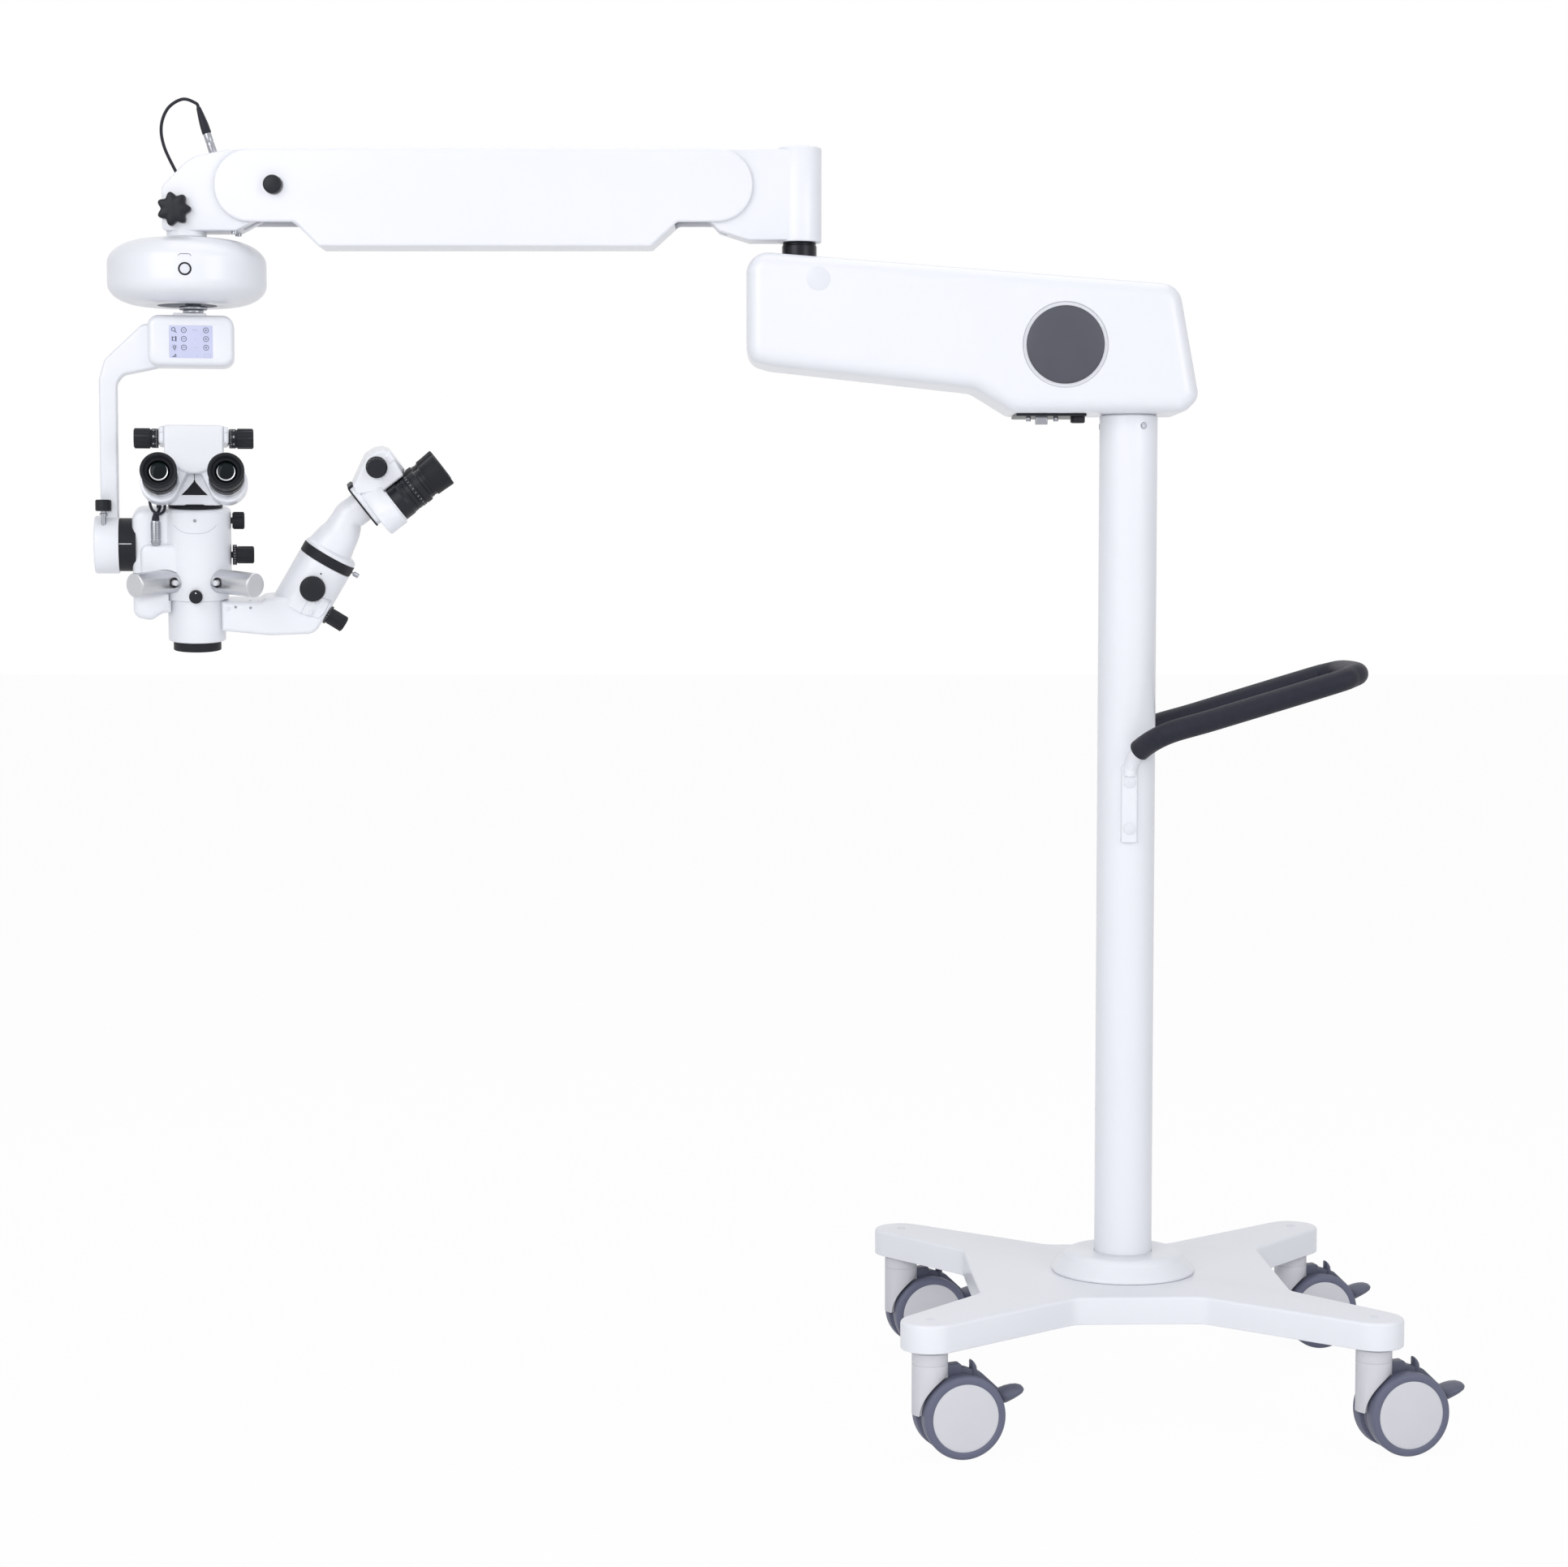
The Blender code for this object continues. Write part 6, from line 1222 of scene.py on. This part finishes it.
ribbed_knob("filter_knob", HEAD @ at(0.0435, 0, 0.0305, X_WAY), 0.0165, 0.0105, 14)
ribbed_knob("zoom_knob", HEAD @ at(0.0435, 0, -0.0125, X_WAY), 0.028, 0.0105, 18, 0.005, 0.0015, 24)
front_knob = [(0, -0.006), (0.003, -0.006), (0.003, 0.0025), (0.0080, 0.0025), (0.0083, 0.0030),
              (0.0083, 0.0085), *arc((0.0065, 0.0088), 0.0018, 10, 80, 5), (0, 0.0108)]
focus_home = HEAD @ at(0, -0.040, -0.0595, FRONT)
piece("focus_core", black, "focus_knob", turned(front_knob, 72), focus_home, "focus_knob")
piece("focus_dot", white_ink, "focus_knob", moved(rod(0.0009, 0.0100, 0.0107, 20), shift(0, 0.0050, 0)),
      focus_home)

# %% [markdown]
# ## Binocular
# The binocular sits on a black dovetail ring. Two prism housings hang from pins behind its front
# plate and swing towards each other to suit the distance between the eyes; the long shaft across
# the top turns as they move, and its dials show the distance in millimetres.

# %% Base and bridge
dovetail = turned([(0, 0.0473), (0.0328, 0.0473), (0.0335, 0.0480), (0.0335, 0.0502), (0.0325, 0.0508),
                   (0.0325, 0.0516), (0.0335, 0.0522), (0.0335, 0.0535), (0, 0.0535)], 128)
piece("dovetail_ring", matt_black, "head", dovetail, HEAD)
foot = slab(box_corners(-0.034, 0.034, -0.032, 0.026, 0.010), 0.0522, 0.071, 0.002, 0.002)
piece("binocular_foot", sprayed, "head", foot, HEAD, "binocular_base")
body = block((0.066, 0.040, 0.081), (0, 0.0335, -0.0025), 0.009, 0.005)
piece("binocular_body", sprayed, "head", body, EYES)
shield = [(-0.0355, 0.002, 0.006), (-0.017, -0.0172, 0.018), (0, -0.0232, 0.030), (0.017, -0.0172, 0.018),
          (0.0355, 0.002, 0.006), (0.0355, 0.0385, 0.006), (-0.0355, 0.0385, 0.006)]
front, back = -0.0215, 0.0405
crossing = [standing(slab(shield, 0.0133, 0.022, 0.0, 0.003)),
            block((0.0719, back - front, 0.0239), (0, (front + back) / 2, 0.02645), 0.003, 0.003),
            block((0.085, 0.030, 0.022), (0, -0.001, 0.0273), 0.005, 0.004)]
piece("binocular_bridge", sprayed, "head", crossing, EYES)
half_wedge = [(0.0003, -0.012), (0.0004, -0.0235), (0.0014, -0.0262), (0.0045, -0.0300), (0.0095, -0.0360),
              (0.0160, -0.0425)]
wedge = [(-x, z, 0) for x, z in half_wedge] + [(x, z, 0) for x, z in reversed(half_wedge)]
piece("binocular_wedge", matt_black, "head", standing(slab(wedge, -0.0137, -0.01315)), EYES)
# The seams beside the front plate are thin grey bars: lines of painted shade.
cheek_seam_shade = []
for side in (-1, 1):
    cheek_seam_shade.append(block((0.0066, 0.0003, 0.00035), (side * 0.0390, -0.0161, 0.0300)))
    cheek_seam_shade.append(block((0.00035, 0.0003, 0.0200), (side * 0.0364, -0.0161, 0.0280)))
piece("binocular_seam_shade", seam, "head", cheek_seam_shade, EYES)

# %% Prism housings and eyepieces
EYEPIECE_REACH = 0.0403


def teardrop(side, eye_x, eye_z):
    """Outline round the pivot pin and the eyepiece axis."""
    pivot = side * 0.014
    heading = math.degrees(math.atan2(eye_z, side * eye_x - pivot))
    points = arc((pivot, 0), 0.0135, heading + 100, heading + 260, 24)
    return points + arc((side * eye_x, eye_z), 0.025, heading - 82, heading + 82, 32)


def prism(side, eye_x, eye_z):
    """Prism housing with rounded rims."""
    points = teardrop(side, eye_x, eye_z)
    centre = (side * eye_x * 0.7, eye_z * 0.6)
    layers = ((0.0016, -0.013), (0.0005, -0.0125), (0, -0.0114), (0, 0.0114), (0.0005, 0.0125),
              (0.0016, 0.013))
    sections = []
    for shrink, height in layers:
        part = shrink / 0.025
        sections.append([(x + (centre[0] - x) * part, z + (centre[1] - z) * part, height) for x, z in points])
    return standing(loft(sections))


def eyepiece(name, place, holder, band_finish):
    """Eyepiece with a ribbed dioptre ring, marks, a rubber eyecup and coated glass, on its holder's band."""
    stem = [(0, -0.010), (0.0165, -0.010), (0.0165, 0.0002), (0.0209, 0.0002), (0.0215, 0.0008),
            (0.0215, 0.0060), (0.0207, 0.0064), (0.0207, 0.0070), (0.0213, 0.0074), (0.0213, 0.0148),
            (0.0208, 0.0153), (0.0195, 0.0160), (0.0195, 0.0198), (0.0188, 0.0202), (0.0188, 0.0212),
            (0.0195, 0.0216), (0.0195, 0.0250), (0.0150, 0.0250), (0.0150, 0.0355), (0, 0.0355)]
    piece(f"{name}_tube", black, name, turned(stem, 96), place, name)
    cup = [(0.0150, 0.0240), (0.0205, 0.0240), (0.0212, 0.0250), (0.0214, 0.0330), (0.0222, 0.0455),
           *arc((0.0206, 0.0464), 0.0016, 0, 90, 4), (0.0195, 0.0478), (0.01825, 0.0470), (0.0176, 0.0452),
           (0.0164, 0.0432), (0.0161, 0.0415), (0.0140, 0.0402), (0.0132, 0.0385), (0.0131, 0.0360),
           (0.0150, 0.0352)]
    piece(f"{name}_cup", eyecup, name, turned(cup, 96), place)
    retainer = [(0.0116, 0.0352), (0.0132, 0.0352), (0.0132, 0.0388), (0.0126, 0.0392), (0.0116, 0.0380)]
    piece(f"{name}_retainer", blued, name, turned(retainer, 72), place)
    dish = [(0, 0.0352), (0.0118, 0.0352), (0.0118, 0.0362),
            *oval_arc((0, 0.0362), 0.0118, 0.0022, range(10, 90, 10)), (0, 0.0384)]
    piece(f"{name}_glass", glass, name, turned(dish, 72), place)
    crescent = ((0.0110, 0, 0.0380), (0.0110, 0, 0.0390), (0.0101, 0.0008, 0.0386), (0.0101, 0.0008, 0.0380))
    rim = band([[(radius * math.cos(a), rise + radius * math.sin(a), height) for a in steps_round(64)]
                for radius, rise, height in crescent])
    piece(f"{name}_lens_rim", satin, name, rim, place)
    knurl(f"{name}_ribs", name, place, 0.0111, 40, 0.0209, 0.0013, 0.0066)
    ticks(f"{name}_marks", name, place, 0.0035, 24, 0.0215, 0.0003, 0.0020)
    collar = [(0, 0.0262), (0.0214, 0.0262), (0.0220, 0.0268), (0.0216, 0.0282), (0.0210, 0.0290),
              (0.0210, 0.0340), (0.0204, 0.0344), (0.0204, 0.0350), (0.0210, 0.0354), (0.0210, 0.0400),
              (0.0168, 0.0400), (0.0168, 0.0270), (0, 0.0270)]
    piece(f"{name}_band", band_finish, holder, turned(collar, 96), place @ shift(0, 0, -EYEPIECE_REACH))


for name, side in (("left", -1), ("right", 1)):
    tube = f"eye_tube_{name}"
    seat = at(side * 0.040, 0, -0.031, FRONT)
    root = moved(turned([(0, 0), (0.0220, 0), (0.0220, 0.0262), (0, 0.0262)], 96), seat)
    piece(f"{tube}_housing", sprayed, tube, [prism(side, 0.040, -0.031), root], EYES, tube, 0.0003)
    eyepiece(f"eyepiece_{name}", EYES @ seat @ shift(0, 0, EYEPIECE_REACH), tube, satin)
    screw_heads(f"{tube}_screw", tube, EYES, [((side * 0.0193, -0.0131, -0.0330), (0, -1, 0))], 0.0017,
                0.0008, 0.0009)

# %% Spacing knob
ipd_height = 0.0255
shaft_place = EYES @ at(0, 0, ipd_height, X_WAY)
piece("ipd_shaft", bright, "ipd_knob", rod(0.004, -0.058, 0.058, 32), shaft_place, "ipd_knob")
grip = [(0, 0.0428), (0.0112, 0.0428), (0.0120, 0.0433), (0.0120, 0.0505), (0.0112, 0.0511), (0.0112, 0.0521),
        (0.0118, 0.0527), (0.0118, 0.0715), (0.0110, 0.0725), (0, 0.0725)]
for name, side in (("left", -1), ("right", 1)):
    home = EYES @ at(0, 0, ipd_height, (side, 0, 0))
    piece(f"ipd_{name}_grip", black, "ipd_knob", turned(grip, 80), home)
    knurl(f"ipd_{name}_ribs", "ipd_knob", home, 0.0622, 15, 0.0115, 0.0022, 0.0184)
    ticks(f"ipd_{name}_fine", "ipd_knob", home, 0.0448, 40, 0.0120, 0.00022, 0.0014)
    ticks(f"ipd_{name}_coarse", "ipd_knob", home, 0.0454, 8, 0.0120, 0.0003, 0.0026)


# %% Numbers on the dials
def numerals(name, values, radius, height, size, body, home):
    """Numbers printed round a dial, each bent to the dial's radius."""
    whole = bmesh.new()
    for index, value in enumerate(values):
        text = bpy.data.curves.new("number", "FONT")
        text.body, text.size, text.align_x, text.align_y = str(value), size, "CENTER", "CENTER"
        text.extrude = 0.00008
        holder = placed("number", text)
        bpy.context.view_layer.update()
        flat = bpy.data.meshes.new_from_object(holder.evaluated_get(bpy.context.evaluated_depsgraph_get()))
        bpy.data.objects.remove(holder)
        for vertex in flat.vertices:
            angle = math.tau * index / len(values) + vertex.co.x / radius
            reach = radius + vertex.co.z
            vertex.co = (reach * math.cos(angle), reach * math.sin(angle), height + vertex.co.y)
        whole.from_mesh(flat)
        bpy.data.meshes.remove(flat)
    piece(name, white_ink, body, whole, home)


for name, side in (("left", -1), ("right", 1)):
    numerals(f"ipd_{name}_numbers", (50, 55, 60, 65, 70, 75, 80, 45), 0.0120, 0.0484, 0.0028, "ipd_knob",
             EYES @ at(0, 0, ipd_height, (side, 0, 0)))
print("numbers on two dials")

# %% [markdown]
# ## Head lead
# A short lead crosses from the mount to a ribbed metal connector on its boss, in one loop behind
# the left eyepiece. The photograph shows both its ends and one side of its loop.

# %% Connector and lead
connector_place = HEAD @ shift(-0.048, -0.034, 0)
connector = turned([(0, 0.0035), (0.0055, 0.0035), (0.0055, 0.0062), (0.0063, 0.0068), (0.0063, 0.0090),
                    (0.0057, 0.0095), (0.0057, 0.0325), (0.0050, 0.0340), (0, 0.0340)], 64)
connector_skin = piece("connector_barrel", bright, "head", connector, connector_place, bevel=0.0002)
connector_rings = grown("connector_rings", rings, bright, "head", connector_place @ shift(0, 0, 0.0118),
                        Count=10, Radius=0.0058, Pitch=0.0021, Wire=0.0006)
lead_route = [(-0.0460, -0.0050, 0.0440), (-0.0450, -0.0060, 0.0540), (-0.0415, -0.0120, 0.0600),
              (-0.0375, -0.0200, 0.0585), (-0.0365, -0.0310, 0.0500), (-0.0385, -0.0390, 0.0448),
              (-0.0440, -0.0415, 0.0428), (-0.0505, -0.0375, 0.0460), (-0.0542, -0.0280, 0.0525),
              (-0.0548, -0.0175, 0.0600), (-0.0515, -0.0120, 0.0670), (-0.0455, -0.0140, 0.0690),
              (-0.0420, -0.0190, 0.0640), (-0.0415, -0.0240, 0.0560), (-0.0430, -0.0300, 0.0480),
              (-0.0462, -0.0335, 0.0415), (-0.0479, -0.0340, 0.0370), (-0.0480, -0.0340, 0.0335)]
lead_line = [HEAD @ point for point in smooth_path(lead_route, 6)]
sleeve_way = (lead_line[-9] - lead_line[-1]).normalized()
sleeve = turned([(0, -0.002), (0.0048, -0.002), (0.0046, 0.003), (0.0032, 0.0100), (0.0021, 0.0108),
                 (0, 0.0108)], 40)
sleeve_skin = piece("lead_sleeve", cable_black, "head", sleeve, at(*lead_line[-1], sleeve_way))
lead = piece("head_lead", cable_black, "head", swept(lead_line, 0.0018, 18))
lead_length = sum((b - a).length for a, b in zip(lead_line, lead_line[1:]))
tuple(lead_line[0])
[tuple(point) for point in lead_line]
print("head lead", round(lead_length, 4), "m")

# %% [markdown]
# ## Assistant scope
# A second observer looks through the same objective. The collar turns under the main body, the arm
# carries a leaning tube with its own focus knob, and an elbow turns on a black ring at its end.

# %% Assistant arm
low = -0.111
dip = math.radians(32)
zoom_home = at(0.1585, 0, low + 0.0252, (math.cos(dip), 0, -math.sin(dip)))


def spot_face(place):
    """Flat seat for the zoom knob, in the frame of a place."""
    return moved(rod(0.0130, 0, 0.04, 64), place.inverted() @ zoom_home)


foot = Vector((0.120, 0, -0.090))
lean = Vector((0.5, 0, math.cos(math.radians(30))))
collar =turned([(0.0271, -0.120), (0.0335, -0.120), (0.0350, -0.1192), (0.0355, -0.1180), (0.0355, -0.0690),
                (0.0350, -0.0675), (0.0335, -0.0673), (0.0271, -0.0673)], 128)
piece("assistant_collar", sprayed, "assistant_arm", collar, HEAD, "assistant_arm")
outline =[(0.031, low + 0.006, 0.002), (0.090, low, 0.05), (0.146, low + 0.002, 0.018),
          (0.168, low + 0.0405, 0.006), (0.150, low + 0.053, 0.002), (0.085, low + 0.047, 0.002),
          (0.078, -0.0683, 0.004), (0.031, -0.0683, 0.002)]
beam = standing(slab(outline, -0.030, 0.030, 0.006, 0.006, 6))
tube_place = at(*foot, lean)
bore = rod(0.0270, -0.14, 0.0, 96)
piece("assistant_beam", sprayed, "assistant_arm", beam, HEAD, minus=[bore, spot_face(Matrix.Identity(4))])
tube = turned([(0, 0.012), (0.035, 0.012), (0.035, 0.0772), (0.0342, 0.078), (0.0275, 0.078),
               (0.0275, 0.0715), (0, 0.0715)], 128)
piece("assistant_tube", sprayed, "assistant_arm", tube, HEAD @ tube_place, minus=[spot_face(tube_place)])


# %% Small fittings of the assistant arm
def arm_face(x, z):
    """Front surface of the beam or the leaning tube at a place, whichever stands further out."""
    away = Vector((x, 0, z)) - foot
    across = away.x * lean.z - away.z * lean.x
    on_tube = away.dot(lean) > 0.012 and abs(across) < 0.035
    return -max(0.030, math.sqrt(0.035 ** 2 - across ** 2) if on_tube else 0)


# The plate's outline is a real seam, drawn as thin lines of painted shade on the arm's surface.
plate = [(0.1405, -0.0595), (0.1655, -0.0660), (0.1570, -0.0830), (0.1500, -0.0890), (0.1280, -0.0820),
         (0.1405, -0.0595)]
edges = []
for (x, z), (x_far, z_far) in zip(plate, plate[1:]):
    steps = [(x + (x_far - x) * i / 12, z + (z_far - z) * i / 12) for i in range(13)]
    edges.append(swept([(px, arm_face(px, pz), pz) for px, pz in steps], 0.00022, 8))
piece("assistant_plate_seam_shade", seam, "assistant_arm", edges, HEAD)
large_stud = [(0, -0.001), (0.0034, -0.001), (0.0034, 0.0006), (0.0028, 0.0011), (0, 0.0012)]
small_stud = [(0, -0.001), (0.0031, -0.001), (0.0031, 0.0003), (0.0028, 0.0005), (0, 0.0006)]
studs = [moved(turned(large_stud, 40), at(x, arm_face(x, z), z, FRONT))
         for x, z in ((0.1485, -0.0680), (0.1405, -0.0805))]
studs.append(moved(turned(small_stud, 40), at(0.0385, -0.030, -0.0765, FRONT)))
piece("assistant_studs", plug_white, "assistant_arm", studs, HEAD)
screw_heads("assistant_screws", "assistant_arm", HEAD,
            [((x, -0.0302, z), (0, -1, 0)) for x, z in ((0.0480, -0.0745), (0.0665, -0.0755))],
            0.0017, 0.0008, 0.0009)
pin = turned([(0, -0.001), (0.0011, -0.001), (0.0011, 0.0002), (0, 0.0002)], 24)
piece("assistant_pin", black, "assistant_arm", moved(pin, at(0.1536, -0.0350, -0.0322, FRONT)), HEAD)
line_marks = [block((0.0004, 0.0120, 0.0002), (0.0760, -0.014, -0.0682))]
line_marks += [block((0.0030, 0.0006, 0.0002), (0.066, y, -0.0682)) for y in (-0.012, -0.017)]
piece("assistant_top_marks", seam, "assistant_arm", line_marks, HEAD)
print("studs", len(studs))

# %% Assistant knobs
round_knob = [(0, -0.008), (0.004, -0.008), (0.004, 0.0025), (0.0150, 0.0025), (0.0157, 0.0032),
              (0.0160, 0.0080), *arc((0.0120, 0.0092), 0.0040, 0, 80, 8), (0.0080, 0.0143), (0, 0.0148)]
knob_home = HEAD @ at(0.143, -0.034, -0.0502, FRONT)
focus_name = "assistant_focus_knob"
piece("assistant_focus_core", black, focus_name, turned(round_knob, 96), knob_home, focus_name)
knurl("assistant_focus_ribs", focus_name, knob_home, 0.0055, 36, 0.0155, 0.0014, 0.0042)
ticks("assistant_focus_marks", focus_name, knob_home, 0.0100, 28, 0.01585, 0.0003, 0.0012)
ribbed_knob("assistant_zoom_knob", HEAD @ zoom_home, 0.029, 0.0100, 16, 0.006, 0.0003, 22)

# %% Elbow and its binocular
ELBOW_RING = HEAD @ at(*(foot + lean * 0.078), lean)
black_ring = turned([(0, -0.006), (0.027, -0.006), (0.027, 0.0003), (0.0343, 0.0003), (0.0350, 0.0010),
                     (0.0350, 0.0124), (0.0344, 0.0130), (0, 0.0130)], 128)
piece("assistant_ring", matt_black, "assistant_elbow", black_ring, ELBOW_RING)
cone = [(0, 0.0128), (0.0340, 0.0128), (0.0340, 0.0165), (0.0330, 0.0178), (0.0300, 0.0200), (0, 0.0200)]
flange = Vector((0.005, 0, 0.0855))
tilt = math.radians(68)
view = Vector((math.cos(tilt), 0, math.sin(tilt)))
lower_bend = [Vector(point) for point in ((-0.003, 0, 0.013), (-0.0025, 0, 0.029), (-0.0015, 0, 0.045))]
bend = smooth_path(lower_bend + [flange - view * reach for reach in (0.022, 0.010, 0.0003)], 8)
across = Vector((0, 1, 0))
sections = []
for index, point in enumerate(bend):
    ahead = (bend[min(index + 1, len(bend) - 1)] - bend[max(index - 1, 0)]).normalized()
    over = ahead.cross(across)
    radius = 0.0195 + 0.0105 * (1 - min(1, index / 22)) ** 0.8
    sections.append([point + (across * math.cos(a) + over * math.sin(a)) * radius for a in steps_round(72)])
piece("assistant_elbow_tube", sprayed, "assistant_elbow", [turned(cone, 128), loft(sections)], ELBOW_RING,
      "assistant_elbow", 0.0006)
thumb = turned([(0, -0.002), (0.0014, -0.002), (0.0014, 0.0025), (0.0031, 0.0025), (0.0031, 0.0090),
                (0.0027, 0.0096), (0, 0.0096)], 40)
piece("assistant_thumb_screw", bright, "assistant_elbow", thumb, ELBOW_RING @ at(0.035, 0, 0.0060, X_WAY))

# %% Assistant binocular
up = Vector((-view.z, 0, view.x))
axes = Matrix(((-view).cross(up), -view, up)).transposed().to_4x4()
ASSISTANT_EYES = ELBOW_RING @ Matrix.Translation(flange + view * 0.021 + up * 0.012) @ axes
eye_x, eye_z = 0.032, -0.034
back = standing(slab(box_corners(-0.033, 0.033, -0.040, 0.0165, 0.010), -0.0195, -0.0125, 0.001, 0.0))
side_view = [(0.0180, 0.0075, 0.002), (0.0131, 0.0181, 0.004), (-0.0219, 0.0358, 0.012),
             (-0.0357, 0.0342, 0.010), (-0.0460, 0.0290, 0.008), (-0.0490, 0.0200, 0.006),
             (-0.0445, -0.0106, 0.003), (-0.0120, -0.0106, 0.002)]
sideways = Matrix(((0, 0, 1, 0), (1, 0, 0, 0), (0, 1, 0, 0), (0, 0, 0, 1)))
hump = moved(slab(side_view, -0.0345, 0.0345, 0.004, 0.004), sideways)
shield = [(-0.0355, 0.012, 0.006), (-0.017, -0.0065, 0.018), (0, -0.0115, 0.030), (0.017, -0.0065, 0.018),
          (0.0355, 0.012, 0.006), (0.0355, 0.026, 0.006), (-0.0355, 0.026, 0.006)]
shapes = [back, hump, standing(slab(shield, 0.0400, 0.0495, 0.0, 0.004))]
for side in (-1, 1):
    root = turned([(0, 0), (0.0225, 0), (0.0225, 0.0145), (0, 0.0145)], 96)
    shapes += [prism(side, eye_x, eye_z), moved(root, at(side * eye_x, 0, eye_z, FRONT))]
piece("assistant_binocular_body", sprayed, "assistant_binocular", shapes, ASSISTANT_EYES,
      "assistant_binocular", 0.0003)
gasket = [standing(slab(box_corners(-0.0345, 0.0345, -0.0405, 0.0172, 0.010), -0.0212, -0.0192)),
          block((0.050, 0.0070, 0.0050), (0, 0.0172, 0.0168), 0.001, 0.001)]
piece("assistant_gasket", matt_black, "assistant_binocular", gasket, ASSISTANT_EYES)
sleeve = [(0, 0.0140), (0.0212, 0.0140), (0.0220, 0.0148), (0.0220, 0.0268), (0, 0.0268)]
dial = [(0, 0.0340), (0.0126, 0.0340), (0.0134, 0.0348), (0.0134, 0.0402), (0.0118, 0.0410), (0.0118, 0.0520),
        (0.0108, 0.0530), (0, 0.0534)]
for name, side in (("left", -1), ("right", 1)):
    seat = ASSISTANT_EYES @ at(side * eye_x, 0, eye_z, FRONT)
    piece(f"assistant_sleeve_{name}", black, "assistant_binocular", turned(sleeve, 96), seat)
    eyepiece(f"assistant_eyepiece_{name}", seat @ shift(0, 0, EYEPIECE_REACH), "assistant_binocular", black)
    home = ASSISTANT_EYES @ at(0, -0.0244, 0.0187, (side, 0, 0))
    spacing = f"assistant_spacing_{name}"
    piece(spacing, black, "assistant_binocular", turned(dial, 80), home)
    knurl(f"{spacing}_ribs", "assistant_binocular", home, 0.0465, 15, 0.0116, 0.0022, 0.0100)
    ticks(f"{spacing}_marks", "assistant_binocular", home, 0.0378, 28, 0.0134, 0.0003, 0.0030)

# %% [markdown]
# ## Studio
# The photograph is an even, very bright product shot. A pale floor runs to a white horizon, and
# large soft lamps stand left, right, in front and above. The background is white only where the camera or
# a reflection looks at it, so that the light on the object itself stays moderate.

# %% Floor
floor_mesh = bpy.data.meshes.new("floor")
floor_mesh.from_pydata([(-30, -30, 0), (30, -30, 0), (30, 30, 0), (-30, 30, 0)], [], [(0, 1, 2, 3)])
floor = placed("floor", floor_mesh)
ground = bpy.data.materials.new("pale_floor")
ground.use_nodes = True
floor_mesh.materials.append(ground)
ground.node_tree.nodes.clear()
add = adder(ground.node_tree)
camera_ray, glossy_ray = (add("ShaderNodeLightPath", out=f"Is {ray} Ray") for ray in ("Camera", "Glossy"))
seen = add("ShaderNodeMath", {0: camera_ray, 1: glossy_ray}, operation="MAXIMUM")
share = add("ShaderNodeMath", {0: seen, 1: 0.965}, operation="MULTIPLY")
paint = add("ShaderNodeBsdfDiffuse", {"Color": (0.84, 0.84, 0.85, 1)})
blend = add("ShaderNodeMixShader", {0: share, 1: paint, 2: add("ShaderNodeEmission")})
add("ShaderNodeOutputMaterial", {"Surface": blend})
print("floor made")

# %% World
world = bpy.data.worlds.new("studio")
world.use_nodes = True
scene.world = world
world.node_tree.nodes.clear()
add = adder(world.node_tree)
rays = [add("ShaderNodeLightPath", out=f"Is {ray} Ray") for ray in ("Camera", "Transmission", "Glossy")]
direct = add("ShaderNodeMath", {0: rays[0], 1: rays[1]}, operation="MAXIMUM")
seen = add("ShaderNodeMath", {0: direct, 1: rays[2]}, operation="MAXIMUM")
fill = add("ShaderNodeBackground", {"Color": (0.90, 0.92, 1.0, 1), "Strength": 0.50})
backdrop = add("ShaderNodeBackground", {"Color": (1, 1, 1, 1)})
add("ShaderNodeOutputWorld", {"Surface": add("ShaderNodeMixShader", {0: seen, 1: fill, 2: backdrop})})
print("world made")


# %% Lamps
def lamp(name, place, target, size, watts):
    """Large soft lamp that looks at a point."""
    light = bpy.data.lights.new(name, "AREA")
    light.shape, light.size, light.energy = "SQUARE", size, watts
    made = placed(name, light)
    made.location = place
    made.rotation_euler = (Vector(target) - Vector(place)).to_track_quat("-Z", "Y").to_euler()
    print(name, watts, "W")
    return made


lamp("camera_side", (-0.7, -4.1, 1.4), (-0.3, 0, 1.0), 0.8, 56).visible_glossy = False
lamp("front_left", (-2.6, -3.2, 2.6), (-0.5, 0, 1.0), 2.4, 38)
lamp("front_right", (2.4, -2.8, 2.2), (-0.2, 0, 0.8), 2.0, 25)
lamp("overhead", (-0.4, 0.6, 3.6), (-0.4, 0, 0.9), 2.6, 24)
scene.view_settings.view_transform = "Standard"
